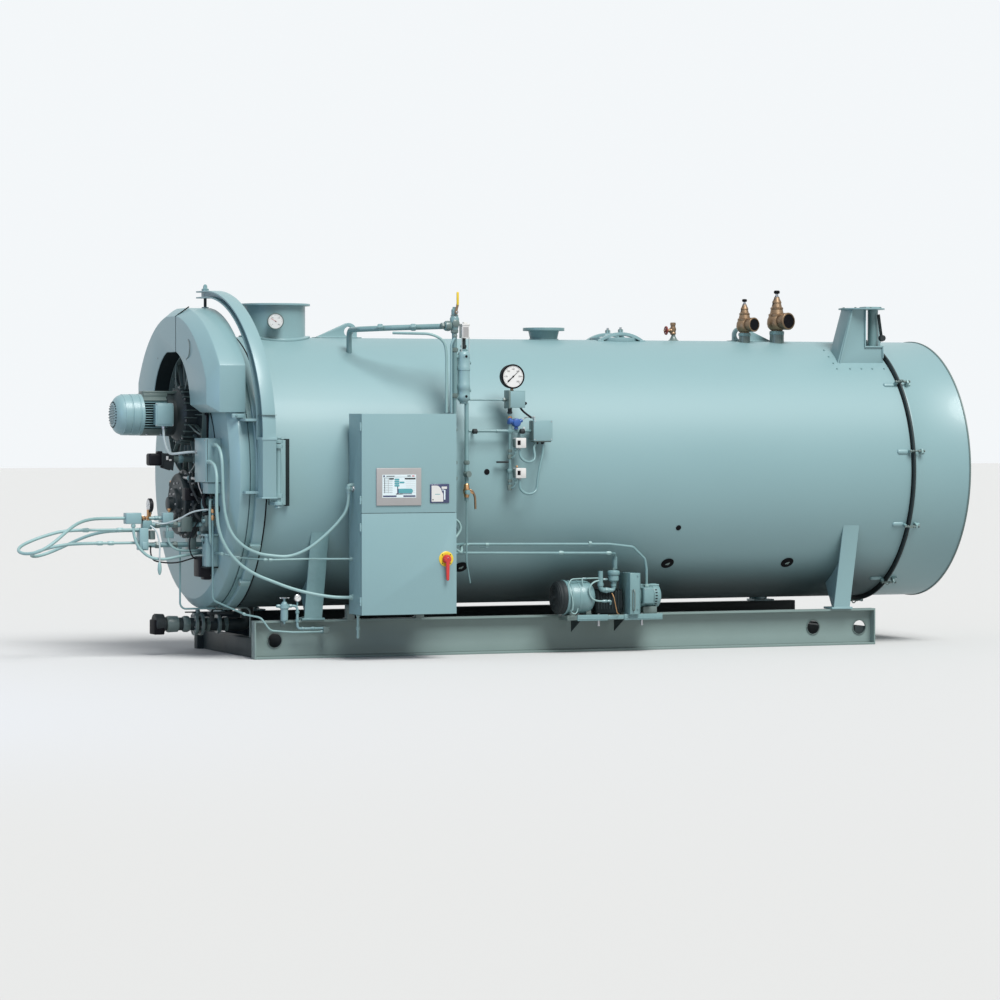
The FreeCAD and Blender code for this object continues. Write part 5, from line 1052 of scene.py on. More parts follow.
def makeScreen():
    s = screen
    face = cabinet["face"]
    g = Gather()
    g.block((s["low"][0], face - 0.014, s["low"][1]), (s["high"][0], face, s["high"][1]), "greyBezel", 0.006, 3)
    x0, z0 = s["glassLow"]
    x1, z1 = s["glassHigh"]
    facePlate(g, x0 - 0.004, x1 + 0.004, z0 - 0.004, z1 + 0.004, face - 0.0146, face - 0.012, "greyBezel")
    facePlate(g, x0, x1, z0, z1, face - 0.015, face - 0.012, "screenPale")
    front = face - 0.0155

    def mark(left, right, bottom, top, look):
        # a mark's place is a share of the glass: across from its left edge and up from its bottom edge
        facePlate(g, x0 + left * (x1 - x0), x0 + right * (x1 - x0), z0 + bottom * (z1 - z0),
            z0 + top * (z1 - z0), front, face - 0.0145, look, 0.0002)

    for rise in np.linspace(0.22, 0.84, 9):
        mark(0.03, 0.3, rise, rise + 0.01, "inkBlack")
        mark(0.7, 0.97, rise, rise + 0.008, "greyBezel")
    for left, right, bottom, top, look in ((0.02, 0.98, 0.89, 0.9, "inkBlack"),
            (0.2, 0.34, 0.79, 0.85, "inkBlack"), (0.66, 0.98, 0.79, 0.85, "inkBlack"),
            (0.02, 0.42, 0.03, 0.1, "screenNavy"), (0.62, 0.98, 0.03, 0.1, "screenNavy"),
            (0.06, 0.075, 0.2, 0.84, "inkBlack"), (0.17, 0.18, 0.2, 0.84, "greyBezel"),
            (0.44, 0.465, 0.2, 0.48, "inkBlack"), (0.88, 0.95, 0.92, 0.96, "redPlastic"),
            (0.12, 0.36, 0.92, 0.95, "inkBlack"), (0.74, 0.84, 0.92, 0.96, "inkBlack"),
            (0.4, 0.6, 0.14, 0.18, "inkBlack")):
        mark(left, right, bottom, top, look)
    for across, rise in ((0.43, 0.79), (0.43, 0.7), (0.43, 0.61), (0.58, 0.66), (0.43, 0.52)):
        centre = (x0 + across * (x1 - x0), front, z0 + rise * (z1 - z0))
        g.pill(centre, toRear, toNear, 0.05, 0.017, 0.0006, "screenTeal")
    centre = (x0 + 0.68 * (x1 - x0), front, z0 + 0.29 * (z1 - z0))
    g.pill(centre, toRear, toNear, 0.15, 0.044, 0.0008, "screenTeal")
    g.pill((centre[0] - 0.074, front - 0.0003, centre[2]), upward, toNear, 0.05, 0.014, 0.0008, "screenNavy")
    facePlate(g, centre[0] - 0.06, centre[0] + 0.066, centre[2] - 0.03, centre[2] - 0.024, front, face - 0.0145,
        "screenNavy", 0.0002)
    g.turned([(0, 0.0085), (0.0008, 0.0085)], (x0 + 0.05 * (x1 - x0), face - 0.0145, z0 + 0.94 * (z1 - z0)),
        toNear, "screenNavy", 20)
    # controller beside it: dark frame, pale panel with a rounded corner, light bar and buttons
    cx0, cx1, cz0, cz1 = -1.769, -1.579, 1.468, 1.645
    g.block((cx0, face - 0.01, cz0), (cx1, face, cz1), "screenNavy", 0.006, 3)
    arch = np.radians(np.linspace(90, 20, 9))
    bend = np.stack([cx0 + 0.06 + 0.058 * np.cos(arch), cz0 + 0.078 + 0.084 * np.sin(arch)], 1)
    outline = [(cx0 + 0.012, cz0 + 0.012), (cx0 + 0.128, cz0 + 0.012), (cx0 + 0.128, cz0 + 0.08),
        *bend[::-1].tolist(), (cx0 + 0.012, cz0 + 0.162)]
    g.plate(outline, (0, face - 0.0095, 0), toRear, upward, 0.0015, "whitePlastic", 0.0004)
    facePlate(g, cx0 + 0.136, cx0 + 0.15, cz0 + 0.03, cz0 + 0.12, face - 0.0108, face - 0.008, "screenPale")
    facePlate(g, cx0 + 0.112, cx0 + 0.166, cz0 + 0.13, cz0 + 0.152, face - 0.0108, face - 0.008, "whitePlastic")
    facePlate(g, cx0 + 0.118, cx0 + 0.136, cz0 + 0.116, cz0 + 0.124, face - 0.0112, face - 0.008, "screenPale")
    facePlate(g, cx0 + 0.046, cx0 + 0.098, cz0 + 0.078, cz0 + 0.084, face - 0.0115, face - 0.008, "screenTeal")
    g.turned([(0, 0.006), (0.001, 0.006)], (cx0 + 0.026, face - 0.0108, cz0 + 0.03), toNear, "inkBlack", 14)
    g.make("cabinetScreen", "upper_door", "cabinet_screen", slot="dark_screen")


def makeSwitch():
    # yellow collar on the lower door, then the red hub and its lever, which hangs when the switch is on
    x, z = -1.609, 0.944
    face = cabinet["face"]
    collar = Gather()
    collar.turned([(0, 0.0705), (0.005, 0.0715), (0.0085, 0.068), (0.01, 0.06), (0.008, 0.044), (0.008, 0.0)],
        (x, face + 0.0005, z), toNear, "yellowVinyl", 48)
    for turn in np.radians((45, 135, 225, 315)):
        collar.turned([(0, 0.005), (0.002, 0.005)], (x + 0.056 * math.cos(turn), face - 0.009,
            z + 0.056 * math.sin(turn)), toNear, "inkBlack", 10)
    collar.make("switchCollar", "lower_door", slot="yellow_vinyl")
    lever = Gather()
    lever.turned([(0, 0.04), (0.004, 0.042), (0.024, 0.041), (0.034, 0.036), (0.042, 0.03), (0.045, 0.01)],
        (x, face - 0.0105, z), toNear, "redPlastic", 36)
    grip = [(x - 0.02, z + 0.034), (x + 0.018, z + 0.034), (x + 0.018, z - 0.04), (x + 0.014, z - 0.192),
        (x + 0.008, z - 0.2), (x - 0.006, z - 0.2), (x - 0.012, z - 0.192), (x - 0.016, z - 0.04)]
    lever.plate(grip, (0, face - 0.053, 0), toRear, upward, -0.026, "redPlastic", 0.004)
    lever.turned([(0, 0.01), (0.002, 0.01), (0.003, 0.006)], (x, face - 0.0525, z + 0.006), toNear,
        "whitePlastic", 16)
    lever.make("switchLever", "disconnect", "disconnect_handle", slot="red_plastic")


def makeCabinetInside():
    c = cabinet
    g = Gather()
    back = c["back"] - 0.01
    # pale mounting panels, wiring ducts and rows of modules on rails, in both bays
    for z0, z1 in ((c["low"] + 0.03, c["split"] - 0.03), (c["split"] + 0.03, c["high"] - 0.03)):
        g.block((c["x0"] + 0.03, back - 0.02, z0), (c["x1"] - 0.03, back - 0.012, z1), "whitePlastic", 0.002)
        for rise in (0.1, 0.38, 0.66, 0.9):
            z = z0 + rise * (z1 - z0)
            g.block((c["x0"] + 0.06, back - 0.07, z - 0.018), (c["x1"] - 0.06, back - 0.02, z + 0.018),
                "greyBezel", 0.004)
        for rise in (0.24, 0.52, 0.79):
            z = z0 + rise * (z1 - z0)
            g.block((c["x0"] + 0.06, back - 0.028, z - 0.016), (c["x1"] - 0.06, back - 0.02, z + 0.016),
                "steel", 0.001)
            widths = (0.045, 0.045, 0.07, 0.036, 0.036, 0.036, 0.09, 0.045, 0.06, 0.036)
            x = c["x0"] + 0.09
            for order, width in enumerate(widths):
                look = ("blackPlastic", "whitePlastic", "greyBezel")[order % 3]
                g.block((x, back - 0.11, z - 0.045), (x + width - 0.003, back - 0.026, z + 0.045), look, 0.003)
                x += width + 0.01
    g.make("cabinetInside", "boiler", slot="white_plastic")
    # glands and elbow on the left side, the arms' bolts, a dark slab under the cabinet as painted shade, and
    # the pipe below it
    h = Gather()
    h.nut((-2.449, -1.43, 1.6), toRear, 0.027, "steel", 0.022)
    h.turned([(0, 0.02), (0.004, 0.027), (0.022, 0.027), (0.028, 0.022), (0.05, 0.019), (0.062, 0.016)],
        (-2.49, -1.43, 1.618), downward, "hoseSleeve", 18)
    h.tube([(-2.49, -1.43, 1.612), (-2.489, -1.43, 1.628), (-2.47, -1.43, 1.634), (-2.446, -1.43, 1.634)],
        0.021, "hoseSleeve", 16, 0.016)
    h.turned([(0, 0.03), (0.008, 0.032), (0.012, 0.024), (0.03, 0.022), (0.034, 0.018)], (-2.442, -1.4, 0.588),
        toFront, "hoseSleeve", 20)
    for x in (c["x0"] + 0.12, c["x1"] - 0.12):
        for y in (-1.27, -1.08):
            h.bolt((x, y, 0.502), upward, 0.012, "steel")
    # dark slab under the cabinet: painted shade
    h.block((c["x0"] + 0.02, c["back"] - 0.3, c["low"] - 0.006),
        (c["x1"] - 0.02, c["back"] - 0.02, c["low"] + 0.002), "nearBlackAndPaintedShade", 0.001)
    h.tube([(c["x0"] + 0.055, -1.4, c["low"] + 0.005), (c["x0"] + 0.055, -1.4, 0.205)], 0.013, "hoseSleeve", 14)
    h.nut((c["x0"] + 0.055, -1.4, c["low"] - 0.012), upward, 0.019, "hoseSleeve", 0.026)
    h.nut((c["x0"] + 0.055, -1.4, 0.3), upward, 0.018, "hoseSleeve", 0.04)
    h.make("cabinetFittings", "boiler")


makeScreen()
makeSwitch()
makeCabinetInside()
print("cabinet")

# Pressure gauge: black case with a stepped rim, white dial with ticks and plain numbers, needle and stem
gauge = dict(centre=(-0.832, -1.37, 2.652), radius=0.118, front=-1.415, lowAngle=225.0, highAngle=-45.0,
    top=300, needle=42)


def makeGauge():
    c = gauge
    x, y, z = c["centre"]
    out = toNear
    r = c["radius"]
    g = Gather()
    g.turned([(0, r * 0.88), (0.006, r * 0.95), (0.06, r * 0.96), (0.066, r * 0.99), (0.07, r * 0.99),
        (0.077, r * 0.98), (0.08, r * 0.95), (0.08, r * 0.875), (0.0725, r * 0.86), (0.0725, 0.0)],
        (x, y + 0.035, z), out, "inkBlack", 72)
    g.turned([(0, r * 0.86), (0.001, r * 0.86)], (x, c["front"] + 0.007, z), out, "dialWhite", 72)
    face = c["front"] + 0.0055
    for order, turn in enumerate(np.radians(np.linspace(c["lowAngle"], c["highAngle"], 31))):
        ray = np.array((math.cos(turn), 0, math.sin(turn)))
        main = order % 5 == 0
        g.turnedBlock(np.array((x, face, z)) + ray * r * (0.76 if main else 0.78), ray, out,
            (0.016 if main else 0.009, 0.0026 if main else 0.0014, 0.0008), "inkBlack", 0.0003)
        if main:
            g.text(str(c["top"] * order // 30), np.array((x, face, z)) + ray * r * 0.58, toRear, upward, 0.021,
                "inkBlack")
    aim = math.radians(c["needle"])
    ray = np.array((math.cos(aim), 0, math.sin(aim)))
    side = np.array((-math.sin(aim), 0, math.cos(aim)))
    g.plate([(-0.062, -0.0045), (0.074, -0.001), (0.074, 0.001), (-0.062, 0.0045)], (x, face - 0.0035, z), ray,
        side, 0.0012, "inkBlack", 0.0003)
    g.plate([(-0.074, -0.0065), (-0.044, -0.0065), (-0.044, 0.0065), (-0.074, 0.0065)], (x, face - 0.0035, z),
        ray, side, 0.0012, "inkBlack", 0.0003)
    g.turned([(0, 0.008), (0.003, 0.008), (0.004, 0.004)], (x, face - 0.002, z), out, "inkBlack", 18)
    g.turned([(0, 0.014), (0.026, 0.014), (0.028, 0.02), (0.05, 0.02), (0.052, 0.015), (0.08, 0.015)],
        (-0.83, y, 2.47), upward, "bronze", 18)
    g.make("pressureGauge", "boiler", "pressure_gauge", slot="bronze")


makeGauge()

# Header and its controls: siphon box, fittings, blue transmitter, two switches, whips and the box's glands
controls = dict(y=-1.37, header=-0.85, switches=(2.023, 1.738))


def makeControls():
    y, hx = controls["y"], controls["header"]
    g = Gather()
    for z in controls["switches"]:
        g.block((-0.822, y - 0.09, z - 0.048), (-0.718, y - 0.01, z + 0.048), "whitePlastic", 0.006, 3)
        g.block((-0.83, y - 0.08, z - 0.042), (-0.806, y - 0.016, z + 0.04), "enamelDark", 0.004)
        g.block((-0.808, y - 0.092, z - 0.02), (-0.776, y - 0.086, z + 0.024), "inkBlack", 0.002)
        g.block((-0.77, y - 0.0915, z - 0.034), (-0.73, y - 0.086, z + 0.034), "whitePlastic", 0.002)
        g.turned([(0, 0.018), (0.008, 0.02), (0.024, 0.02), (0.028, 0.012)], (-0.812, y - 0.05, z - 0.044),
            downward, "enamelCast", 16)
        g.tube([(-0.812, y - 0.05, z - 0.05), (-0.812, y - 0.052, z - 0.11), (-0.83, y - 0.04, z - 0.14),
            (hx, y, z - 0.14)], 0.009, "enamelCast", 12, 0.03)
        g.nut((hx, y, z - 0.13), upward, 0.024, "enamelDark", 0.044)
        g.nut((hx, y, z - 0.075), upward, 0.02, "enamelDark", 0.03)
        g.nut((-0.812, y - 0.051, z - 0.092), upward, 0.014, "enamelCast", 0.026)
        g.nut((-0.77, y - 0.05, z - 0.056), upward, 0.014, "paleLead", 0.024)
    # whips from each switch to the underside of the junction box
    whips = ([(-0.77, y - 0.05, 1.972), (-0.772, y - 0.06, 1.9), (-0.74, y - 0.075, 1.855),
        (-0.68, y - 0.078, 1.838), (-0.62, y - 0.06, 1.862), (-0.61, y - 0.04, 1.92), (-0.618, y - 0.02, 1.98),
        (-0.575, y - 0.01, 2.048)], [(-0.77, y - 0.05, 1.687), (-0.772, y - 0.06, 1.59),
        (-0.73, y - 0.075, 1.545), (-0.66, y - 0.078, 1.538), (-0.6, y - 0.06, 1.57), (-0.585, y - 0.05, 1.68),
        (-0.56, y - 0.04, 1.8), (-0.52, y - 0.02, 1.92), (-0.51, y - 0.01, 1.99), (-0.515, y - 0.01, 2.048)])
    for whip in whips:
        g.tube(whip, 0.0125, "enamelCast", 14, 0.06)
        g.turned([(0, 0.016), (0.006, 0.018), (0.026, 0.017), (0.034, 0.012)],
            np.array(whip[-1]) + (0, 0, -0.003), (-0.2, 0, -1), "blackPlastic", 16)
    # transmitter: round body with two capped ends and its lead
    centre = np.array((-0.79, y - 0.012, 2.215))
    g.turned([(0, 0.03), (0.004, 0.036), (0.014, 0.041), (0.06, 0.041), (0.072, 0.036), (0.076, 0.028)],
        centre + (0, 0.04, 0), toNear, "blueCast", 28)
    g.turned([(0, 0.024), (0.03, 0.024), (0.034, 0.032), (0.05, 0.032), (0.054, 0.026)],
        centre + (-0.03, 0, 0.006), (-1, 0, 0.25), "blueCast", 20)
    g.turned([(0, 0.018), (0.026, 0.018), (0.03, 0.014)], centre + (0.034, 0, 0.012), (1, 0, 0.45), "blueCast",
        16)
    g.turned([(0, 0.018), (0.024, 0.02)], centre + (0, 0, -0.038), downward, "blueCast", 16)
    g.tube([(-0.735, y - 0.012, 2.24), (-0.705, y - 0.014, 2.262), (-0.66, y - 0.012, 2.27),
        (-0.622, y - 0.008, 2.262), (-0.6, y, 2.232)], 0.0065, "paleLead", 12, 0.03)
    g.make("pressureControls", "boiler", "pressure_controls", slot="white_plastic")
    h = Gather()
    # siphon box edges, black nipples, drain rod with its knob
    h.block((-0.884, y - 0.064, 2.35), (-0.868, y + 0.064, 2.522), "enamelDark", 0.003)
    h.block((-0.868, y - 0.062, 2.362), (-0.722, y - 0.058, 2.51), "enamel", 0.002)
    h.nut((-0.905, y, 2.432), toRear, 0.018, "enamelDark", 0.034)
    h.turned([(0, 0.02), (0.036, 0.02), (0.04, 0.024), (0.056, 0.024), (0.06, 0.017)], (hx, y, 2.358), downward,
        "blackIron", 18)
    h.nut((hx, y, 2.262), upward, 0.02, "brass", 0.028)
    h.tube([(-0.752, y - 0.02, 2.36), (-0.735, y - 0.03, 2.33), (-0.69, y - 0.045, 2.29),
        (-0.65, y - 0.05, 2.262)], 0.01, "blackPlastic", 12, 0.03)
    h.turned([(0, 0.01), (0.012, 0.015), (0.03, 0.013), (0.036, 0.006)], (-0.722, y - 0.03, 2.388), (1, 0, 0.5),
        "blackPlastic", 16)
    for z in (2.137, 1.76):
        h.nut((hx, y, z), upward, 0.024, "enamelCast", 0.046)
    for x in (-1.18, -0.7, -0.98):
        h.nut((x, y, 2.137), toRear, 0.019, "enamelCast", 0.03)
    h.turnedBlock((-0.715, y - 0.018, 2.15), upward, toNear, (0.05, 0.024, 0.01), "paleLead", 0.003)
    h.turnedBlock((-0.915, y + 0.01, 1.842), toRear, upward, (0.13, 0.034, 0.018), "blackIron", 0.004)
    h.nut((hx, y, 1.59), upward, 0.022, "enamelDark", 0.034)
    h.turned([(0, 0.01), (0.02, 0.01), (0.024, 0.005)], (-0.812, y - 0.07, 1.8), toNear, "brass", 12)
    # junction box: lid edge, screws, dark side and glands below
    h.block((-0.631, y - 0.064, 2.042), (-0.437, y - 0.05, 2.239), "enamel", 0.004)
    h.block((-0.636, y - 0.052, 2.05), (-0.626, y + 0.046, 2.232), "enamelDark", 0.003)
    h.block((-0.622, y - 0.05, 2.03), (-0.446, y + 0.04, 2.047), "enamelDark", 0.004)
    for x in (-0.618, -0.45):
        for z in (2.056, 2.226):
            h.turned([(0, 0.005), (0.002, 0.005), (0.003, 0.003)], (x, y - 0.064, z), toNear, "steel", 10)
    h.turned([(0, 0.012), (0.03, 0.012), (0.032, 0.016), (0.044, 0.016)], (-0.6, y - 0.01, 2.235), (-0.3, 0, 1),
        "paleLead", 14)
    for clamp in (-1.236, -0.754):
        h.turned([(0, 0.02), (0.004, 0.024), (0.04, 0.024), (0.044, 0.02)], (clamp - 0.022, -1.445, 2.134),
            toRear, "blackIron", 20)
    h.make("controlFittings", "boiler")


makeControls()

# Water column, its probe, legs, valves and lever
column = dict(x=-1.32, y=-1.37, legX=-1.412)


def makeColumn():
    x, y, lx = column["x"], column["y"], column["legX"]
    g = Gather()
    g.turned([(0, 0.03), (0.01, 0.042), (0.022, 0.054), (0.04, 0.061), (0.06, 0.0615), (0.064, 0.059),
        (0.12, 0.059), (0.124, 0.0615), (0.17, 0.0615), (0.174, 0.059), (0.3, 0.059), (0.304, 0.0625),
        (0.34, 0.0625), (0.344, 0.06), (0.42, 0.0605), (0.45, 0.06), (0.47, 0.052), (0.484, 0.038),
        (0.49, 0.026)], (x, y, 2.405), upward, "enamel", 48)
    out = unit((0.07, -1, 0))
    for z in (2.462, 2.838):
        g.turned([(0, 0.026), (0.012, 0.026), (0.016, 0.022)], np.array((x, y, z)) + out * 0.045, out, "enamel",
            24)
        g.turned([(0, 0.014), (0.018, 0.013)], np.array((x, y, z)) + out * 0.0445, out, "inkBlack", 12)
    side = unit((1, 0.15, 0))
    for z in (2.52, 2.78):
        g.turned([(0, 0.018), (0.02, 0.018), (0.024, 0.013)], np.array((x, y, z)) + side * 0.052, side,
            "enamelCast", 16)
    g.turned([(0, 0.034), (0.008, 0.038), (0.022, 0.038), (0.026, 0.028)], (x, y, 2.882), upward, "enamelCast",
        6)
    g.turned([(0, 0.034), (0.008, 0.038), (0.022, 0.038), (0.026, 0.028)], (x, y, 2.418), downward,
        "enamelCast", 6)
    g.make("waterColumn", "boiler", "water_column")
    p = Gather()
    p.turned([(0, 0.022), (0.02, 0.022), (0.024, 0.028), (0.044, 0.028), (0.048, 0.02), (0.11, 0.02)],
        (x, y, 2.9), upward, "blackIron", 20)
    for dx in (-0.03, 0.044):
        p.rod((x + dx, y - 0.03, 2.88), (x + dx, y - 0.03, 3.02), 0.005, "paleLead", 10)
    p.block((x - 0.03, y - 0.042, 3.01), (x + 0.042, y + 0.042, 3.14), "whitePlastic", 0.007, 3)
    p.block((x - 0.034, y - 0.046, 3.126), (x + 0.048, y + 0.046, 3.148), "whitePlastic", 0.006, 3)
    p.block((x - 0.004, y - 0.02, 3.14), (x + 0.03, y + 0.02, 3.163), "whitePlastic", 0.006, 3)
    p.block((x - 0.02, y - 0.0435, 3.022), (x + 0.034, y - 0.04, 3.116), "greyBezel", 0.001, 1)
    p.make("levelProbe", "boiler", "level_probe", slot="white_plastic")
    # unions, tee ends and the second bent line on the steam and water legs
    h = Gather()
    h.turned([(0, 0.034), (0.006, 0.046), (0.03, 0.05), (0.052, 0.046), (0.058, 0.034)], (lx - 0.098, y, 3.125),
        toRear, "enamelDark", 24)
    h.nut((lx - 0.12, y + 0.006, 3.125), toRear, 0.032, "enamelDark", 0.03)
    for z in (3.076, 3.216, 2.9, 2.47):
        h.nut((lx, y, z), upward, 0.034, "enamelDark", 0.044)
    h.turned([(0, 0.034), (0.012, 0.036), (0.02, 0.022)], (lx, y - 0.03, 3.15), toNear, "enamelDark", 20)
    for z in (2.15, 1.84, 1.69):
        h.nut((lx, y, z), upward, 0.027, "enamelDark", 0.04)
    h.tube([(-1.95, -1.15, 3.06), (-1.64, -1.37, 3.05), (-1.52, -1.39, 2.985), (-1.5, -1.392, 2.86),
        (-1.5, -1.392, 2.31)], 0.013, "hoseSleeve", 14, 0.13)
    h.tube([(lx - 0.01, y - 0.05, 3.02), (-1.465, y - 0.05, 2.96), (-1.462, y - 0.045, 2.88),
        (-1.462, y - 0.045, 2.31)], 0.011, "enamel", 12, 0.06)
    h.nut((lx - 0.01, y - 0.046, 3.028), (0.4, 0, 0.8), 0.018, "enamelDark", 0.034)
    for px in (-1.78, -2.05):
        h.nut((px, -1.245 if px > -2 else -1.08, 3.112), (-0.95, 0.45, 0), 0.036, "enamelCast", 0.05)
    h.make("columnFittings", "boiler")
    # quarter-turn lever: brown neck and a yellow sleeve
    v = Gather()
    ly = y - 0.054
    v.turned([(0, 0.018), (0.008, 0.018)], (lx, ly + 0.008, 3.255), toNear, "bronze", 20)
    v.turned([(0, 0.011), (0.008, 0.011), (0.01, 0.008)], (lx, ly, 3.255), toNear, "steel", 6)
    v.plate([(lx - 0.012, 3.262), (lx + 0.01, 3.262), (lx + 0.024, 3.318), (lx + 0.024, 3.34),
        (lx + 0.002, 3.34), (lx - 0.002, 3.318)], (0, ly + 0.001, 0), toRear, upward, -0.006, "bronze", 0.0015)
    v.block((lx + 0.002, ly - 0.005, 3.318), (lx + 0.025, ly + 0.013, 3.445), "yellowVinyl", 0.008, 3)
    v.make("ballLever", "ball_lever", "ball_valve_lever", slot="yellow_vinyl")
    # drain cock with a slanting lever and the tube's coupling
    d = Gather()
    dx = -1.29
    d.turned([(0, 0.02), (0.012, 0.026), (0.04, 0.028), (0.056, 0.034), (0.09, 0.034), (0.104, 0.026),
        (0.13, 0.024)], (dx, y, 1.64), downward, "brass", 22)
    d.turned([(0, 0.02), (0.02, 0.02), (0.026, 0.014), (0.036, 0.014)], (dx, y - 0.02, 1.572), toNear, "brass",
        16)
    d.turnedBlock((dx + 0.018, y - 0.052, 1.566), (0.7, 0, -0.5), toNear, (0.07, 0.016, 0.008), "brass", 0.003)
    d.tube([(dx + 0.004, y, 1.59), (dx + 0.05, y - 0.02, 1.575), (dx + 0.078, y - 0.02, 1.52),
        (dx + 0.082, y - 0.02, 1.4)], 0.011, "bronze", 12, 0.03)
    d.nut((dx, y, 1.84), upward, 0.028, "enamelDark", 0.04)
    d.nut((dx, y, 1.73), upward, 0.03, "enamelDark", 0.05)
    d.turned([(0, 0.024), (0.03, 0.024), (0.034, 0.03), (0.05, 0.03)], (dx - 0.01, y - 0.01, 1.73),
        (0.3, -1, 0), "enamelDark", 18)
    d.make("drainCock", "boiler", slot="bronze")


makeColumn()
print("water column and controls")

# Rear seam: capsules pressed into the jacket, eye bolts at the ring and hooks on the rear head
rearSeam = dict(count=11, tabX=3.385, tabLength=0.128, tabWidth=0.052, hookX=3.575)


def makeRearSeam():
    c = rearSeam
    g = Gather()
    for order in range(c["count"]):
        turn = math.pi + order * tau / c["count"]
        out = np.array((0, -math.sin(turn), math.cos(turn)))
        across = spokeAt(turn)
        foot = np.array((0.0, 0.0, axisZ)) + out * shellR
        along = np.array((1.0, 0, 0))
        g.pill(foot + along * c["tabX"], along, out, c["tabLength"], c["tabWidth"], 0.017, "enamel")
        g.turnedBlock(foot + along * 3.452 + out * 0.02, along, out, (0.03, 0.03, 0.046), "enamelCast", 0.004)
        g.rod(foot + along * 3.446 + out * 0.052, foot + along * 3.604 + out * 0.052, 0.0075, "enamelDark", 10)
        for x in (3.446, 3.476, 3.536, 3.596):
            g.nut(foot + along * x + out * 0.052, along, 0.013, "enamelDark", 0.014)
        ear = foot + along * 3.5 + out * 0.058
        a = np.linspace(0, tau, 17)[:, None, None]
        b = np.linspace(0, tau, 8, endpoint=False)[None, :, None]
        spoke = np.cos(a) * along + np.sin(a) * out
        g.add(ear + (0.02 + 0.006 * np.cos(b)) * spoke + 0.006 * np.sin(b) * across, "enamelDark", caps=False)
        g.turnedBlock(foot + along * c["hookX"] + out * 0.026, along, out, (0.024, 0.044, 0.07), "enamelPale",
            0.005)
        g.turnedBlock(foot + along * (c["hookX"] + 0.018) + out * 0.006, along, out, (0.06, 0.03, 0.02),
            "enamelPale", 0.005)
        g.bolt(foot + along * (c["hookX"] + 0.012) + out * 0.052, along, 0.012, "blackIron")
    g.make("rearSeam", "boiler", "rear_seam_clamps")
    # dark rim and bolts at the rear edge, gasket in the groove, and the seams beside both flange rings
    r = Gather()
    r.arcBand((0, 0, axisZ), toRear, [(4.126, shellR + 0.002), (4.126, shellR + 0.0085),
        (4.1405, shellR + 0.0085), (4.1405, shellR - 0.01), (4.1375, shellR - 0.012)], 0, 360, "enamelDark",
        145)
    r.arcBand((0, 0, axisZ), toRear, [(3.504, 1.262), (3.504, 1.2675), (3.52, 1.2675), (3.52, 1.262)], 0, 360,
        "nearBlackAndPaintedShade", 145)
    r.arcBand((0, 0, axisZ), toRear, [(-3.4045, 1.3), (-3.4045, 1.3065), (-3.3585, 1.3065), (-3.3585, 1.3)], 0,
        360, "enamelCast", 145)
    r.arcBand((0, 0, axisZ), toRear, [(-3.265, flangeR), (-3.264, flangeR + 0.001), (-3.2515, flangeR + 0.001),
        (-3.25, flangeR)], 0, 360, "inkBlack", 145)
    r.arcBand((0, 0, axisZ), toRear, [(3.474, shellR - 0.003), (3.474, shellR + 0.0025),
        (3.4845, shellR + 0.0025), (3.4845, shellR - 0.003)], 0, 360, "inkBlack", 145)
    for spoke in spokesRound(44, 0.03):
        r.turned([(0, 0.01), (0.003, 0.01), (0.006, 0.006)],
            np.array((4.1345, 0, axisZ)) + spoke * (shellR - 0.06), toRear, "enamelDark", 10)
    r.make("endRims", "boiler")


makeRearSeam()

# Jacket: one sheet whose radius dips a little and slowly; then the covers, lugs, straps and bolts on it
jacket = dict(low=-3.25, high=3.485, thickness=0.06, dip=0.0012)


def makeJacket():
    # radius = shell radius - dip * (0.5 + 0.5 sin(5 turn + 2.1 x) cos(1.7 x)), closed over the inner wall
    j = jacket
    x = np.linspace(j["low"], j["high"], 180)[:, None]
    turn = np.linspace(0, tau, 288, endpoint=False)[None, :]
    ripple = 0.5 + 0.5 * np.sin(5 * turn + 2.1 * x) * np.cos(1.7 * x)
    fade = np.minimum(1, np.minimum(x - j["low"], j["high"] - x) / 0.25)
    radius = np.concatenate([shellR - j["dip"] * ripple * fade, np.full((2, 288), shellR - j["thickness"])])
    x = np.broadcast_to(np.concatenate([x, x[-1:], x[:1]]), radius.shape)
    wall = np.stack([x, radius * np.cos(turn), axisZ + radius * np.sin(turn)], -1)
    g = Gather()
    # the jacket's finish darkens its colour towards the belly: painted shade
    g.add(np.concatenate([wall, wall[:1]]), "enamelShell", caps=False)
    g.make("jacket", "boiler", "shell_jacket")


def shellPoint(x, height, side=-1.0):
    # the jacket's place at a length along the boiler and a height above the floor, and its outward direction
    rise = height - axisZ
    out = np.array((0, side * math.sqrt(max(0.0, 1 - (rise / shellR) ** 2)), rise / shellR))
    return np.array((x, 0, axisZ)) + out * shellR, out


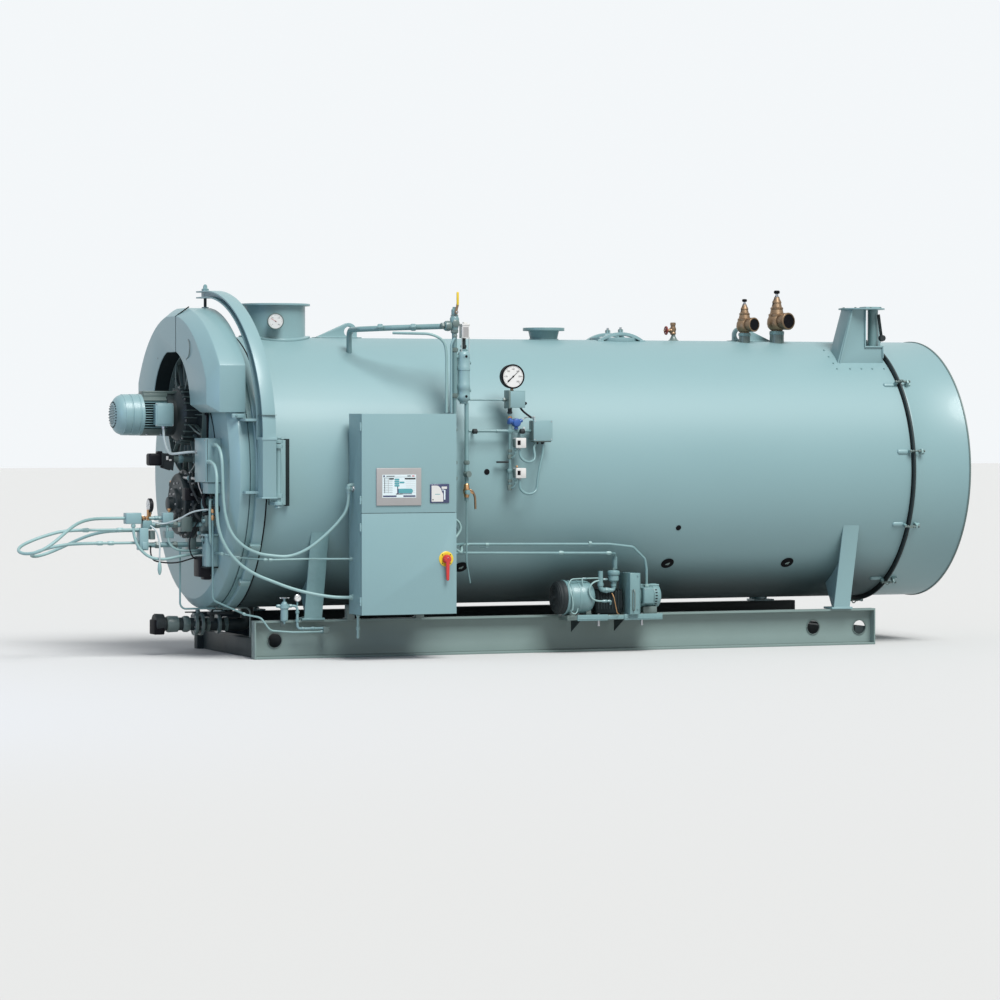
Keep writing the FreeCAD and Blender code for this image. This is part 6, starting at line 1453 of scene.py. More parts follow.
def makeShellFittings():
    g = Gather()
    # handhole covers low on the near side: rim, dark plate, yoke and nut, sunk in the jacket's opening
    for x, z in ((-1.176, 0.836), (0.986, 0.841), (2.289, 0.83)):
        spot, out = shellPoint(x, z)
        g.turned([(0, 0.064), (0.003, 0.066), (0.005, 0.06), (0.003, 0.05)], spot - out * 0.001, out,
            "inkBlack", 40)
        g.turned([(0, 0.054), (0.0045, 0.054)], spot, out, "inkBlack", 32)
        g.turnedBlock(spot + out * 0.008, (1, 0, 0.4), out, (0.052, 0.012, 0.01), "enamelDark", 0.003)
        g.bolt(spot + out * 0.01, out, 0.011, "enamelDark")
    for x, z in ((-1.055, 1.749), (0.994, 1.194)):
        spot, out = shellPoint(x, z)
        g.turned([(0, 0.027), (0.003, 0.028), (0.004, 0.024)], spot - out * 0.001, out, "inkBlack", 24)
    # small bolts along the edge of the rear davit's pad
    for x, z in ((2.891, 2.748), (3.038, 2.749), (3.166, 2.75), (3.287, 2.75), (3.42, 2.751), (2.888, 2.805),
            (2.89, 2.871), (2.909, 2.939)):
        spot, out = shellPoint(x, z)
        g.bolt(spot, out, 0.009, "enamelCast")
    # two lugs under the front flange's near side
    for x, y, z in ((-3.32, -1.158, 1.06), (-3.33, -0.87, 0.721)):
        out = unit((0, y, z - axisZ))
        g.turnedBlock((x, y, z), toRear, out, (0.1, 0.062, 0.05), "enamelPale", 0.006)
        g.turnedBlock(np.array((x - 0.046, y, z)) + out * 0.004, toRear, out, (0.014, 0.046, 0.046),
            "enamelRail", 0.004)
    # straps that hold the conduits to the shell
    for x in (-1.06, 0.0):
        g.turnedBlock((x, -1.235, 1.035), toFar, upward, (0.16, 0.03, 0.006), "enamel", 0.002)
        g.arcBand((x, -1.31, 1.062), toRear, [(-0.014, 0.0145), (-0.014, 0.0175), (0.014, 0.0175),
            (0.014, 0.0145)], 0, 360, "hoseSleeve", 17)
    for x, z in ((-0.296, 0.974), (0.2, 0.964)):
        g.nut((x, -1.3, z), toRear, 0.019, "hoseSleeve", 0.05)
    g.tube([(-1.502, -1.47, 1.085), (-1.42, -1.45, 1.02), (-1.365, -1.42, 0.988), (-1.345, -1.39, 1.02),
        (-1.335, -1.33, 1.062), (-1.25, -1.311, 1.062)], 0.0125, "hoseSleeve", 12, 0.04)
    g.nut((0.614, -1.265, 0.64), upward, 0.019, "hoseSleeve", 0.04)
    g.nut((-1.496, -1.5, 1.07), toRear, 0.02, "hoseSleeve", 0.03)
    g.nut((-1.496, -1.48, 0.99), toRear, 0.02, "hoseSleeve", 0.03)
    # loop of dark lead below the cabinet's right edge
    g.tube([(-1.5, -1.44, 1.29), (-1.44, -1.43, 1.27), (-1.41, -1.42, 1.2), (-1.46, -1.43, 1.12),
        (-1.502, -1.44, 1.09)], 0.014, "blackPlastic", 12, 0.05)
    g.tube([(-1.5, -1.47, 1.32), (-1.41, -1.455, 1.3), (-1.37, -1.45, 1.22), (-1.43, -1.46, 1.14),
        (-1.49, -1.48, 1.085)], 0.012, "hoseSleeve", 12, 0.06)
    for x in (-2.758, -2.608, 2.795, 2.945):
        for y in (-0.925, 0.925):
            g.bolt((x, y, 0.38), upward, 0.014, "enamelCast")
    g.make("shellFittings", "boiler")


makeJacket()
makeShellFittings()
print("shell and rear seam")

# Crown: stack dial, flange holes, manway nuts, lugs' welds, vent valve, safety valves and the rear davit
crown = dict(stackX=-2.742, nozzleX=0.062, manwayX=0.822, ventX=1.47)


def makeStackDial():
    a = math.radians(-62)
    out = unit((math.cos(a + math.pi) * 0.55, math.sin(a), 0))
    start = np.array((crown["stackX"], 0, 3.18)) + out * 0.296
    g = Gather()
    g.turned([(0, 0.024), (0.008, 0.026), (0.014, 0.014), (0.05, 0.014), (0.052, 0.04), (0.056, 0.072),
        (0.064, 0.08), (0.09, 0.08), (0.096, 0.076), (0.096, 0.07), (0.092, 0.068)], start, out, "enamelDark",
        48)
    g.turned([(0, 0.069), (0.001, 0.069)], start + out * 0.092, out, "dialWhite", 48)
    up = np.array((0, 0, 1.0))
    right = unit(np.cross(up, out))
    face = start + out * 0.0936
    for order, turn in enumerate(np.radians(np.linspace(225, -45, 19))):
        ray = right * math.cos(turn) + up * math.sin(turn)
        g.turnedBlock(face + ray * 0.058, ray, out, (0.01 if order % 3 == 0 else 0.006, 0.0016, 0.0006),
            "inkBlack", 0.0002)
        if order % 6 == 0:
            g.text(str(order * 50 // 3), face + ray * 0.043, right, up, 0.013, "inkBlack")
    ray = right * math.cos(2.6) + up * math.sin(2.6)
    g.turnedBlock(face + ray * 0.018 + out * 0.001, ray, out, (0.066, 0.003, 0.001), "redPlastic", 0.0004)
    g.turned([(0, 0.005), (0.002, 0.005)], face, out, "inkBlack", 14)
    g.make("stackDial", "boiler", "stack_thermometer", slot="dark_steel")


def makeCrown():
    c = crown
    g = Gather()
    for turn in np.arange(16) * tau / 16:
        ray = np.array((math.cos(turn), math.sin(turn), 0))
        g.turned([(0, 0.0095), (0.001, 0.0095)], np.array((c["stackX"], 0, 3.355)) + ray * 0.323 -
            (0, 0, 0.0006), upward, "nearBlackAndPaintedShade", 10)
    # soft ring where the nozzle's neck leaves the jacket and where the stack does
    for x, radius, look in ((c["nozzleX"], 0.136, "enamel"), (c["stackX"], 0.306, "enamel")):
        turn = np.linspace(0, tau, 65)
        reach = radius + 0.002
        path = np.stack([x + reach * np.cos(turn), reach * np.sin(turn),
            axisZ + np.sqrt(shellR ** 2 - (reach * np.sin(turn)) ** 2) + 0.001], 1)
        g.tube(path, 0.009, look, 8)
    # manway: studs' round nuts, yokes' feet and the cover's handle
    mx = c["manwayX"]
    for y in (-0.16, 0.16):
        for dx in (-0.226, 0.226):
            g.block((mx + dx - 0.03, y - 0.038, 3.012), (mx + dx + 0.03, y + 0.038, 3.032), "enamel",
                0.004)
        g.turned([(0, 0.022), (0.01, 0.026), (0.03, 0.026), (0.038, 0.018)], (mx, y, 3.104), upward,
            "enamelDark", 6)
        g.rod((mx, y, 3.138), (mx, y, 3.16), 0.0115, "steel", 12)
    g.tube([(0.722, 0, 3.046), (0.722, 0, 3.085), (0.922, 0, 3.085), (0.922, 0, 3.046)], 0.01, "enamel", 12,
        0.02)
    # lifting lugs' weld beads
    for x, side in ((-1.988, -1), (2.209, 1)):
        for y in (-0.022, 0.022):
            g.tube([(x - side * 0.086, y, 3.041), (x + side * 0.32, y, 3.041)], 0.006, "enamel", 8)
    g.make("crownDetail", "boiler")


def makeVentWheel():
    g = Gather()
    g.wheel((1.39, 0, 3.135), toRear, 0.038, 0.0075, "redIron", 5, 0.012)
    g.turned([(0, 0.008), (0.006, 0.008), (0.008, 0.005)], (1.38, 0, 3.135), toFront, "steel", 6)
    g.make("ventWheel", "vent_wheel", "vent_handwheel", slot="red_iron")
    v = Gather()
    x = crown["ventX"]
    v.turned([(0, 0.058), (0.012, 0.056), (0.026, 0.038), (0.058, 0.021), (0.086, 0.02)], (x, 0, 3.022), upward,
        "enamelDark", 28)
    v.turned([(0, 0.024), (0.006, 0.03), (0.02, 0.03), (0.026, 0.026), (0.05, 0.032), (0.07, 0.03),
        (0.076, 0.024), (0.092, 0.024), (0.096, 0.028), (0.118, 0.028), (0.122, 0.022)], (x - 0.004, 0, 3.094),
        upward, "bronze", 24)
    v.turned([(0, 0.026), (0.01, 0.028), (0.016, 0.024), (0.03, 0.024), (0.034, 0.017), (0.062, 0.014),
        (0.064, 0.007), (0.096, 0.007)], (x - 0.01, 0, 3.135), toFront, "bronze", 20)
    v.nut((x - 0.044, 0, 3.135), toRear, 0.019, "bronze", 0.02)
    v.make("ventValve", "boiler", "vent_valve", slot="bronze")


# Each safety valve: foot on the shell, height of its foot, overall size and its socket's radius
safetyValves = (dict(x=2.173, z=3.09, size=0.29, socket=0.056), dict(x=2.533, z=3.105, size=0.35, socket=0.072))


def makeSafetyValves():
    y = -0.18
    g = Gather()
    for v in safetyValves:
        x, z, s = v["x"], v["z"], v["size"]
        up = upward
        g.turned([(0, v["socket"]), (z - 2.976, v["socket"]), (z - 2.97, v["socket"] - 0.006)], (x, y, 2.97),
            up, "enamelDark", 32)
        g.turned([(0, 0.19 * s), (0.02 * s, 0.215 * s), (0.1 * s, 0.215 * s), (0.12 * s, 0.19 * s)],
            (x, y, z - 0.01), up, "enamelCast", 28)
        g.turned([(0, 0.165 * s), (0.1 * s, 0.165 * s), (0.115 * s, 0.185 * s)], (x, y, z + 0.01 * s), up,
            "bronze", 8)
        g.turned([(0.0, 0.17 * s), (0.04 * s, 0.21 * s), (0.1 * s, 0.26 * s), (0.2 * s, 0.285 * s),
            (0.33 * s, 0.27 * s), (0.4 * s, 0.235 * s), (0.42 * s, 0.24 * s), (0.47 * s, 0.24 * s),
            (0.49 * s, 0.2 * s), (0.6 * s, 0.175 * s), (0.62 * s, 0.185 * s), (0.66 * s, 0.185 * s),
            (0.68 * s, 0.15 * s), (0.78 * s, 0.125 * s), (0.8 * s, 0.135 * s), (0.83 * s, 0.13 * s),
            (0.92 * s, 0.085 * s), (0.97 * s, 0.075 * s)], (x, y, z + 0.1 * s), up, "bronze", 40)
        a = math.radians(-74)
        out = np.array((math.cos(a), math.sin(a), 0))
        centre = np.array((x, y, z + 0.36 * s))
        g.turned([(0, 0.2 * s), (0.28 * s, 0.21 * s), (0.34 * s, 0.245 * s), (0.5 * s, 0.25 * s),
            (0.52 * s, 0.235 * s), (0.52 * s, 0.205 * s), (0.38 * s, 0.2 * s), (0.38 * s, 0.0)], centre, out,
            "bronze", 36)
        g.turned([(0, 0.199 * s), (0.12 * s, 0.203 * s)], centre + out * 0.381 * s, out, "inkBlack", 32)
        # cap, lever fork and knob
        g.turned([(0, 0.055 * s), (0.05 * s, 0.055 * s), (0.06 * s, 0.04 * s), (0.12 * s, 0.04 * s)],
            (x, y, z + 1.05 * s), up, "steel", 16)
        g.turned([(0, 0.05 * s), (0.02 * s, 0.085 * s), (0.07 * s, 0.088 * s), (0.1 * s, 0.06 * s)],
            (x, y, z + 1.155 * s), up, "inkBlack", 22)
        g.turnedBlock((x - 0.1 * s, y - 0.03 * s, z + 0.96 * s), (0.35, 0, 1), toNear,
            (0.3 * s, 0.03 * s, 0.016 * s), "blackIron", 0.003)
        g.bolt((x - 0.045 * s, y - 0.05 * s, z + 1.03 * s), toNear, 0.02 * s, "steel")
        for turn in np.arange(6) * tau / 6:
            ray = np.array((math.cos(turn), math.sin(turn), 0))
            g.bolt(np.array((x, y, z + 0.565 * s)) + ray * 0.215 * s, up, 0.018 * s, "bronze")
    g.make("safetyValves", "boiler", "safety_valves", slot="bronze")


def makeRearDavit():
    # folded edge strips, screws and the dark fork seen inside the bracket's open back
    g = Gather()
    y0 = -0.728
    g.plate([(2.95, 2.78), (2.966, 2.78), (3.112, 3.34), (3.096, 3.34)], (0, y0, 0), toRear, upward, 0.012,
        "enamel", 0.001)
    g.block((3.24, y0 - 0.014, 2.978), (3.254, y0, 3.342), "enamel", 0.002)
    g.block((3.24, y0 - 0.014, 2.966), (3.448, y0, 2.98), "enamel", 0.002)
    g.block((3.438, y0 - 0.014, 2.86), (3.452, y0, 2.98), "enamel", 0.002)
    g.block((3.256, y0 + 0.004, 2.982), (3.262, y0 + 0.02, 3.34), "nearBlackAndPaintedShade", 0.001)
    g.tube([(3.393, -0.616, 2.97), (3.393, -0.616, 3.344)], 0.053, "enamelCast", 24)
    g.turnedBlock((3.43, -0.7, 3.18), (0.15, 0, -1), toNear, (0.24, 0.03, 0.014), "nearBlackAndPaintedShade", 0.003)
    g.turned([(0, 0.03), (0.02, 0.034), (0.05, 0.03)], (3.44, -0.7, 3.06), toNear, "blackIron", 18)
    for turn in np.arange(8) * tau / 8:
        g.bolt((3.266 + 0.2 * math.cos(turn), -0.616 + 0.2 * math.sin(turn), 3.3595), upward, 0.01,
            "enamelDark")
    g.make("rearDavitDetail", "boiler")


makeStackDial()
makeCrown()
makeVentWheel()
makeSafetyValves()
makeRearDavit()
print("crown")

# Air compressor: base channels, tank, pump, filter, guard, motor and the lines between them
compressor = dict(y=-1.15, floor=0.32, deck=0.368, tankZ=0.538, motorZ=0.54)


def makeCompressor():
    c = compressor
    y = c["y"]
    x = toRear
    g = Gather()
    # base: two channel pieces, cross strips and legs
    front = y - 0.11
    g.block((-0.211, front, c["floor"]), (0.782, y + 0.11, c["deck"]), "enamelDark", 0.003)
    for x0, x1 in ((-0.11, 0.205), (0.38, 0.782)):
        g.block((x0, front - 0.012, c["floor"] - 0.006), (x1, front + 0.004, c["deck"] + 0.004), "enamelCast",
            0.003)
        g.block((x0 + 0.01, front - 0.015, c["floor"] + 0.008), (x1 - 0.01, front - 0.01, c["floor"] + 0.018),
            "enamelCast", 0.002)
    g.block((0.205, front - 0.006, c["floor"] + 0.004), (0.38, front + 0.004, c["deck"] - 0.006), "enamelCast",
        0.003)
    for gusset in (-0.048, 0.405):
        g.plate([(-0.956, 0.316), (-1.19, 0.316), (-0.956, 0.195)], (gusset, 0, 0), toFar, upward, 0.01,
            "enamelShade")
    for leg in (0.123, 0.576):
        g.block((leg - 0.04, y + 0.108, c["floor"]), (leg + 0.04, -0.954, c["deck"]), "enamelDark", 0.003)
        g.tube([(leg, front + 0.022, c["floor"] + 0.004), (leg, front + 0.022, 0.262)], 0.012, "steel", 12)
        g.bolt((leg, front + 0.022, 0.272), downward, 0.014, "steel")
        g.bolt((leg, front + 0.022, c["deck"]), upward, 0.013, "steel")
    # tank: ribbed dark end, body with two straps, domed far end
    base = np.array((-0.3, y, c["tankZ"]))
    g.turned([(0.0, 0.128), (0.004, 0.14), (0.01, 0.142), (0.014, 0.152), (0.03, 0.158), (0.04, 0.152),
        (0.048, 0.158), (0.066, 0.16), (0.082, 0.162)], base, x, "blackIron", 56)
    for ring in (0.04, 0.07, 0.1, 0.122):
        g.arcBand(base, x, [(-0.001, ring - 0.004), (-0.006, ring), (-0.001, ring + 0.004), (0.003, ring)], 0,
            360, "blackIron", 49)
    g.bolt(base + (-0.001, 0, 0), toFront, 0.016, "blackIron")
    g.turned([(0.08, 0.166), (0.086, 0.17), (0.098, 0.168), (0.104, 0.158), (0.19, 0.158), (0.194, 0.16),
        (0.3, 0.16), (0.33, 0.154), (0.36, 0.136), (0.382, 0.104), (0.392, 0.06)], base, x, "enamelCast", 64)
    for low in (0.122, 0.205):
        g.arcBand(base, x, [(low, 0.159), (low, 0.1635), (low + 0.022, 0.1635), (low + 0.022, 0.159)], 0, 360,
            "enamelCast", 65)
    for foot in (-0.15, 0.02):
        g.block((foot - 0.026, y - 0.09, c["deck"] - 0.002), (foot + 0.026, y + 0.09, c["tankZ"] - 0.12),
            "enamelDark", 0.006)
    # pump body, outlet elbow and inlet filter
    g.block((0.11, y - 0.055, c["deck"]), (0.39, y + 0.095, 0.6), "nearBlackAndPaintedShade", 0.02, 3)
    for rib in np.arange(9) * 0.03 + 0.125:
        g.block((rib, y - 0.066, 0.42), (rib + 0.008, y + 0.1, 0.612), "enamelShade", 0.003, 1)
    fy = y - 0.085
    g.tube([(0.144, fy, 0.79), (0.144, fy, 0.604), (0.235, fy, 0.604)], 0.024, "enamelCast", 20, 0.05)
    g.turned([(0, 0.023), (0.003, 0.03), (0.03, 0.03), (0.034, 0.024)], (0.144, fy, 0.676), downward,
        "enamelCast", 20)
    g.turned([(0, 0.023), (0.001, 0.023)], (0.144, fy, 0.7895), upward, "nearBlackAndPaintedShade", 20)
    g.nut((0.2, fy, 0.604), x, 0.028, "enamelCast", 0.036)
    g.nut((0.236, fy, 0.604), x, 0.022, "enamelCast", 0.026)
    g.tube([(0.236, fy, 0.604), (0.28, fy, 0.604), (0.28, fy, 0.69)], 0.02, "enamelCast", 20, 0.035)
    g.turned([(0, 0.022), (0.004, 0.027), (0.02, 0.027), (0.024, 0.022)], (0.28, fy, 0.64), upward,
        "enamelCast", 20)
    g.turned([(0.0, 0.022), (0.004, 0.036), (0.01, 0.046), (0.014, 0.05), (0.05, 0.051), (0.054, 0.047),
        (0.062, 0.047), (0.066, 0.056), (0.072, 0.06), (0.098, 0.06), (0.106, 0.056), (0.112, 0.03),
        (0.113, 0.012)], (0.28, fy, 0.684), upward, "enamelCast", 44)
    g.turned([(0, 0.01), (0.014, 0.01), (0.018, 0.006)], (0.28, fy, 0.796), upward, "enamelDark", 12)
    # belt guard with its loop handle
    g.block((0.422, y - 0.165, c["deck"]), (0.523, y + 0.1, 0.765), "enamelCast", 0.006, 3)
    g.block((0.419, y - 0.168, c["deck"] + 0.002), (0.425, y + 0.102, 0.768), "enamelCast", 0.002)
    g.block((0.519, y - 0.168, c["deck"] + 0.002), (0.526, y + 0.102, 0.768), "enamelCast", 0.002)
    hy = y - 0.166
    g.tube([(0.455, hy, 0.606), (0.455, hy - 0.026, 0.6), (0.458, hy - 0.028, 0.56), (0.458, hy - 0.028, 0.45),
        (0.455, hy - 0.026, 0.412), (0.455, hy, 0.406)], 0.0065, "enamelDark", 10, 0.02)
    g.block((0.44, hy - 0.003, 0.408), (0.448, hy + 0.004, 0.606), "enamelDark", 0.001)
    for z in (0.42, 0.74):
        g.bolt((0.5, hy, z), toNear, 0.008, "enamelCast")
    g.nut((0.535, y - 0.09, 0.712), x, 0.012, "blackIron", 0.03)
    # motor: body with two slotted bands, end shield, terminal box and foot
    end = np.array((0.545, y, c["motorZ"]))
    g.turned([(0, 0.098), (0.004, 0.112), (0.012, 0.118), (0.06, 0.118), (0.064, 0.113), (0.15, 0.113),
        (0.154, 0.118), (0.212, 0.118), (0.226, 0.11), (0.238, 0.09), (0.243, 0.06)], end, x, "enamelCast", 48)
    for turn in np.radians(np.arange(-30, 215, 14)):
        ray = np.array((0, -math.cos(turn), -math.sin(turn)))
        for low in (0.176, 0.214):
            g.turnedBlock(end + (low, 0, 0) + ray * (0.117 if low < 0.2 else 0.108), x, ray,
                (0.022, 0.012, 0.004), "inkBlack", 0.001)
    g.rod(end + (0.01, -0.06, 0.102), end + (0.222, -0.06, 0.102), 0.012, "enamelCast", 14)
    g.block((0.59, y - 0.095, c["deck"] - 0.002), (0.735, y + 0.095, c["motorZ"] - 0.1), "enamelDark", 0.006)
    g.turned([(0, 0.07), (0.014, 0.066), (0.02, 0.048)], (0.64, y - 0.01, c["deck"]), upward, "blackIron", 24)
    g.block((0.56, y - 0.17, 0.47), (0.668, y - 0.075, 0.625), "enamelCast", 0.006)
    g.block((0.565, y - 0.176, 0.476), (0.663, y - 0.166, 0.619), "enamelCast", 0.004)
    for dx in (0.574, 0.654):
        g.turned([(0, 0.004), (0.002, 0.004)], (dx, y - 0.176, 0.608), toNear, "steel", 8)
    g.block((0.545, y - 0.1, 0.47), (0.56, y + 0.02, 0.72), "nearBlackAndPaintedShade", 0.003)
    # tube over the tank, bow hose, copper line and elbows
    g.tube([(-0.214, y - 0.135, 0.612), (-0.21, y - 0.13, 0.662), (-0.175, y - 0.11, 0.716),
        (-0.06, y - 0.1, 0.72), (0.11, y - 0.095, 0.722), (0.17, y - 0.08, 0.714)], 0.0065, "hoseSleeve", 12,
        0.03)
    g.tube([(-0.06, y - 0.112, 0.719), (-0.062, y - 0.12, 0.7), (-0.06, y - 0.125, 0.664)], 0.006, "hoseSleeve",
        10, 0.01)
    g.nut((-0.03, y - 0.101, 0.72), x, 0.01, "enamelCast", 0.05)
    g.nut((0.192, y - 0.08, 0.708), x, 0.01, "enamelCast", 0.05)
    g.tube([(-0.204, y - 0.155, 0.6), (-0.19, y - 0.17, 0.56), (-0.178, y - 0.172, 0.48),
        (-0.182, y - 0.166, 0.42)], 0.007, "hoseSleeve", 10, 0.04)
    g.tube([(-0.192, y - 0.148, 0.424), (-0.182, y - 0.156, 0.392), (-0.15, y - 0.156, 0.384),
        (-0.126, y - 0.15, 0.404), (-0.118, y - 0.15, 0.44)], 0.006, "hoseSleeve", 10, 0.015)
    g.tube([(0.1, y - 0.15, 0.7), (0.04, y - 0.168, 0.69), (-0.006, y - 0.172, 0.65), (-0.012, y - 0.172, 0.58),
        (0.02, y - 0.17, 0.526), (0.08, y - 0.16, 0.504), (0.15, y - 0.15, 0.502)], 0.0085, "hoseSleeve", 14,
        0.06)
    g.nut((0.16, y - 0.15, 0.502), x, 0.014, "enamelCast", 0.05)
    g.nut((0.205, y - 0.15, 0.502), x, 0.012, "enamelCast", 0.036)
    g.tube([(0.205, y - 0.15, 0.502), (0.228, y - 0.145, 0.5), (0.232, y - 0.12, 0.47)], 0.01, "enamelCast", 12,
        0.012)
    g.tube([(0.248, y - 0.12, 0.575), (0.256, y - 0.15, 0.54), (0.272, y - 0.16, 0.45),
        (0.286, y - 0.16, 0.385), (0.32, y - 0.13, 0.376)], 0.005, "brass", 10, 0.03)
    g.tube([(0.3, y + 0.02, 0.6), (0.34, y + 0.02, 0.64), (0.34, y + 0.02, 0.86)], 0.0155, "enamelCast", 16,
        0.04)
    g.turned([(0, 0.019), (0.004, 0.024), (0.11, 0.024), (0.116, 0.019), (0.13, 0.014), (0.136, 0.008)],
        (0.34, y + 0.02, 0.8), upward, "enamelCast", 24)
    g.make("airCompressor", "boiler", "compressor")


makeCompressor()

# Regulator by the front corner: bowl, body, tee handle, dial and unions; the blowdown line; the skid's welds
regulator = dict(x=-2.981, y=-1.01)


def makeRegulator():
    x, y = regulator["x"], regulator["y"]
    g = Gather()
    g.turned([(0, 0.006), (0.01, 0.01), (0.024, 0.01), (0.028, 0.026), (0.036, 0.033), (0.06, 0.035),
        (0.14, 0.035), (0.146, 0.04), (0.15, 0.045), (0.16, 0.045), (0.164, 0.04), (0.186, 0.04),
        (0.192, 0.028), (0.206, 0.022), (0.214, 0.01), (0.238, 0.01)], (x, y, 0.33), upward, "enamel", 32)
    g.turned([(0, 0.03), (0.003, 0.034), (0.01, 0.034), (0.012, 0.028)], (x, y, 0.57), upward, "steel", 24)
    g.rod((x - 0.046, y, 0.574), (x + 0.046, y, 0.574), 0.006, "steel", 12)
    g.tube([(x - 0.08, y, 0.5), (x, y, 0.5)], 0.012, "enamelCast", 14)
    g.tube([(x, y, 0.5), (x + 0.128, y, 0.5), (x + 0.128, y, 0.284), (-2.6, y, 0.284)], 0.012, "enamel", 14,
        0.04)
    for spot, along in (((x - 0.06, y, 0.5), toRear), ((x + 0.058, y, 0.5), toRear),
            ((x + 0.128, y, 0.44), upward), ((x + 0.128, y, 0.36), upward), ((-2.7, y, 0.284), toRear),
            ((-2.8, y, 0.284), toRear)):
        g.nut(spot, along, 0.018, "enamelCast", 0.032)
    g.tube([(x + 0.128, y, 0.5), (x + 0.128, y, 0.545)], 0.008, "enamelCast", 12)
    dial = np.array((x + 0.128, y - 0.02, 0.572))
    g.turned([(0, 0.028), (0.004, 0.034), (0.03, 0.034), (0.036, 0.026)], dial, toFar, "steel", 32)
    g.turned([(0, 0.029), (0.001, 0.029)], dial + (0, 0.0005, 0), toNear, "dialWhite", 32)
    for turn in np.radians(np.linspace(225, -45, 10)):
        ray = np.array((math.cos(turn), 0, math.sin(turn)))
        g.turnedBlock(dial + (0, -0.0012, 0) + ray * 0.024, ray, toNear, (0.006, 0.0014, 0.0008), "inkBlack",
            0.0002)
    g.turnedBlock(dial + (0.006, -0.0018, 0.006), (0.7, 0, 0.7), toNear, (0.03, 0.0018, 0.0008), "inkBlack",
        0.0002)
    g.block((x - 0.02, y, 0.402), (x + 0.02, -0.954, 0.418), "enamelDark", 0.002)
    g.block((x - 0.022, -0.968, 0.3), (x + 0.022, -0.954, 0.424), "enamelDark", 0.003)
    # fuel return down to its block, the drain and the air line, as their own nodes have them
    g.tube([(-3.324, -0.902, 0.419), (-3.21, -1.01, 0.395), (-3.12, -1.01, 0.272), (-2.9, -1.01, 0.252),
        (-2.6, -1.01, 0.252)], 0.009, "hoseSleeve", 12, 0.04)
    g.block((-2.6, -1.032, 0.232), (-2.54, -0.954, 0.3), "enamelDark", 0.006)
    g.nut((-2.612, -1.01, 0.252), toRear, 0.015, "enamelCast", 0.03)
    g.tube([(-3.468, -0.45, 0.462), (-3.134, -0.45, 0.462), (-3.134, -0.45, 0.18)], 0.009, "enamelDark", 12,
        0.06)
    g.tube([(-3.168, -1.108, 0.937), (-2.8, -1.18, 0.944), (-2.5, -1.4, 0.948), (-2.443, -1.4, 0.948)], 0.009,
        "hoseSleeve", 12, 0.03)
    g.nut((-3.15, -1.11, 0.937), (1, -0.15, 0), 0.016, "hoseSleeve", 0.04)
    g.nut((-2.456, -1.4, 0.948), toRear, 0.016, "hoseSleeve", 0.026)
    g.make("regulatorLines", "boiler", "air_regulator_lines")


def makeBlowdown():
    g = Gather()
    z = 0.3
    g.tube([(-3.85, 0, z), (-3.18, 0, z - 0.02), (-3.02, 0, 0.28), (-3.02, 0, 0.47)], 0.062, "enamelShade", 28,
        0.1)
    for x, radius in ((-3.545, 0.11), (-3.485, 0.11), (-3.315, 0.095)):
        g.turned([(0, radius - 0.003), (0.003, radius), (0.027, radius), (0.03, radius - 0.003)],
            (x - 0.015, 0, z - 0.008), toRear, "enamelDark", 40)
        for turn in np.arange(8) * tau / 8 + 0.3:
            place = np.array((x + 0.015, 0.086 * math.cos(turn), z - 0.008 + 0.086 * math.sin(turn)))
            if radius > 0.1:
                g.bolt(place - (0.03, 0, 0), toFront, 0.011, "steel")
    g.turned([(0, 0.064), (0.01, 0.076), (0.1, 0.08), (0.12, 0.07)], (-3.71, 0, z - 0.004), toFront,
        "enamelDark", 32)
    g.turned([(0, 0.07), (0.02, 0.078), (0.05, 0.078), (0.07, 0.07)], (-3.6, 0, z - 0.006), toFront,
        "enamelDark", 8)
    # capped end: black sleeve behind a black square cap
    g.turned([(0, 0.066), (0.01, 0.094), (0.09, 0.098), (0.1, 0.09)], (-3.85, 0, z), toFront, "blackIron", 40)
    g.block((-3.968, -0.088, 0.201), (-3.868, 0.088, 0.34), "inkBlack", 0.01, 3)
    g.block((-3.936, -0.06, 0.33), (-3.88, 0.06, 0.372), "inkBlack", 0.012, 3)
    # valve stem, its bar and gland
    g.turned([(0, 0.034), (0.012, 0.036), (0.05, 0.026), (0.08, 0.02)], (-3.515, 0, z + 0.05), upward,
        "enamelDark", 20)
    g.tube([(-3.515, 0, z + 0.08), (-3.515, 0, 0.404)], 0.012, "steel", 12)
    g.block((-3.64, -0.014, 0.4), (-3.5, 0.014, 0.412), "blackIron", 0.003)
    for x in (-3.42, -3.24):
        g.nut((x, 0, z - 0.012), toRear, 0.074, "enamelDark", 0.05)
    # black pieces at the skid's front: hanger over the line and its bolts
    g.block((-3.5, -0.33, 0.395), (-3.262, -0.25, 0.42), "blackIron", 0.004)
    g.block((-3.48, -0.3, 0.33), (-3.44, -0.27, 0.398), "blackIron", 0.004)
    g.tube([(-3.47, -0.29, 0.414), (-3.45, -0.29, 0.448), (-3.33, -0.29, 0.444), (-3.32, -0.29, 0.42)], 0.01,
        "blackIron", 10, 0.02)
    g.make("blowdownLine", "boiler", "blowdown_piping", slot="dark_steel")


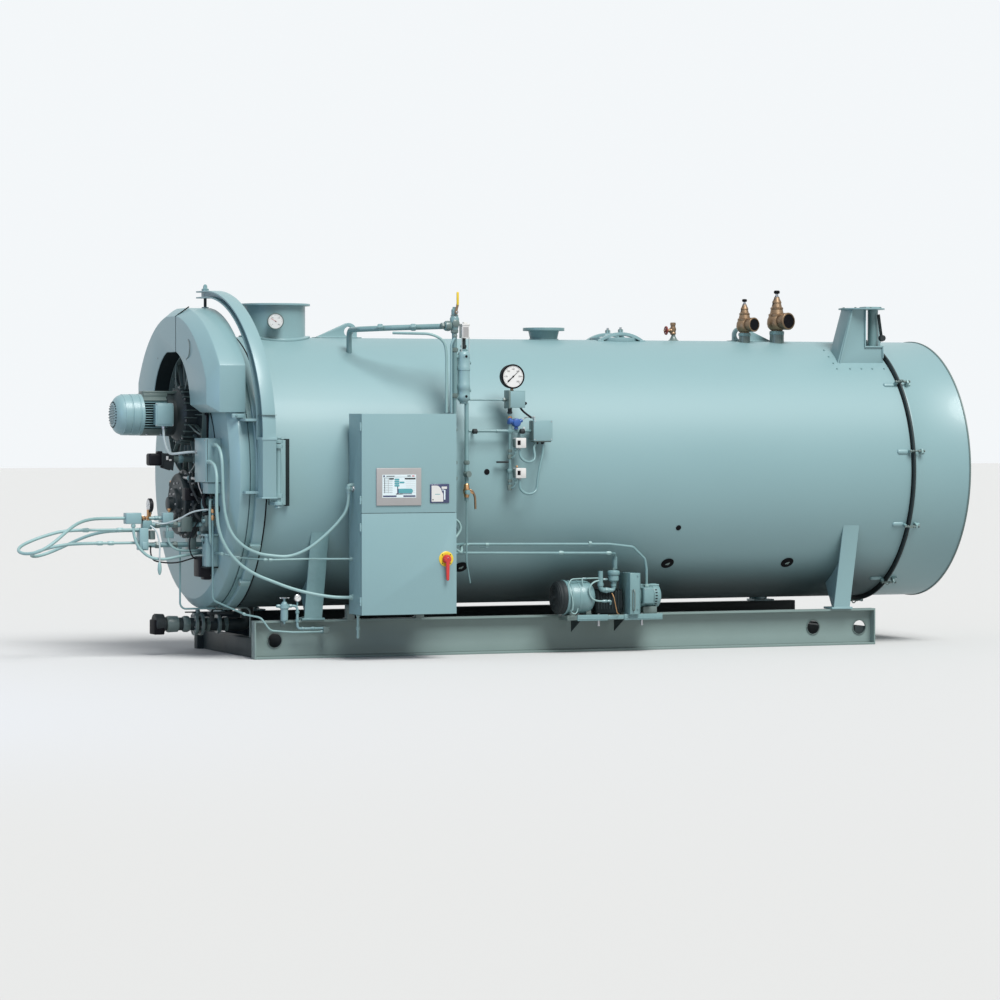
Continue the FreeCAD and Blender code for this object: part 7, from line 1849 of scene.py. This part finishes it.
def makeSkidDetail():
    g = Gather()
    # eased rings round the lifting holes, and weld beads under the top flange and at the ends
    for side in (-1, 1):
        y = side * 0.868
        for x, z in ((-3.031, 0.17), (2.603, 0.18), (3.115, 0.17)):
            g.arcBand((x, y, z), toFar, [(-0.009, 0.0685), (-0.009, 0.0745), (0.009, 0.0745), (0.009, 0.0685)],
                0, 360, "enamelDark", 41)
        for z in (0.0225, 0.3375):
            g.tube([(-3.238, side * 0.869, z), (3.238, side * 0.869, z)], 0.004, "enamelDark", 6)
        for x in (-3.238, 3.238):
            g.tube([(x, side * 0.87, 0.022), (x, side * 0.952, 0.022)], 0.004, "enamelDark", 6)
            g.tube([(x, side * 0.87, 0.338), (x, side * 0.952, 0.338)], 0.004, "enamelDark", 6)
    g.make("skidDetail", "boiler")


makeRegulator()
makeBlowdown()
makeSkidDetail()
print("compressor, regulator, blowdown and skid")


# Finish of every node that keeps the frame's own shape: its look and how far its edges are eased
nodeLooks = {
    # the far rail and the cross members take the darkened enamel: painted shade
    "skid_rail_near": ("enamelRail", 0.004), "skid_rail_far": ("enamelShade", 0.004),
    "skid_cross_members": ("enamelShade", 0.004), "front_saddle": ("enamelCast", 0.003),
    "rear_saddle": ("enamel", 0.003), "front_tube_sheet": ("blackIron", 0), "rear_tube_sheet": ("blackIron", 0),
    "furnace_tube": ("refractory", 0), "front_flange_ring": ("enamel", 0.004),
    "rear_flange_ring": ("enamelShade", 0.004), "rear_head": ("enamel", 0.003),
    # the steam nozzle takes the darker cast enamel: painted shade
    "stack_outlet": ("enamel", 0.002), "lifting_lugs": ("enamel", 0.004), "steam_nozzle": ("enamelCast", 0.003),
    "manway": ("enamel", 0.003), "rear_davit_base": ("enamel", 0.003), "hinge_bracket": ("enamel", 0.003),
    # the cabinet's arms take the dark enamel: painted shade under the cabinet
    "control_cabinet": ("enamel", 0.0025), "cabinet_arms": ("enamelDark", 0.003),
    "cabinet_upper_door": ("enamel", 0.0025), "cabinet_lower_door": ("enamel", 0.0025),
    "front_head": ("enamel", 0.006), "air_shroud": ("enamel", 0.006), "davit_arm": ("enamel", 0.003),
    "head_junction_box": ("enamel", 0.004), "controls_junction_box": ("enamel", 0.004),
}


def makeNodes():
    done = {name for piece in bpy.data.objects for name in piece.get("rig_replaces", [])}
    for node in sorted(set(frame["nodes"]) - done):
        look, easing, *zones = nodeLooks.get(node, ("enamelCast", 0.002))
        finishNode(node, look, easing, zones)


makeNodes()
print("frame's own shapes finished")
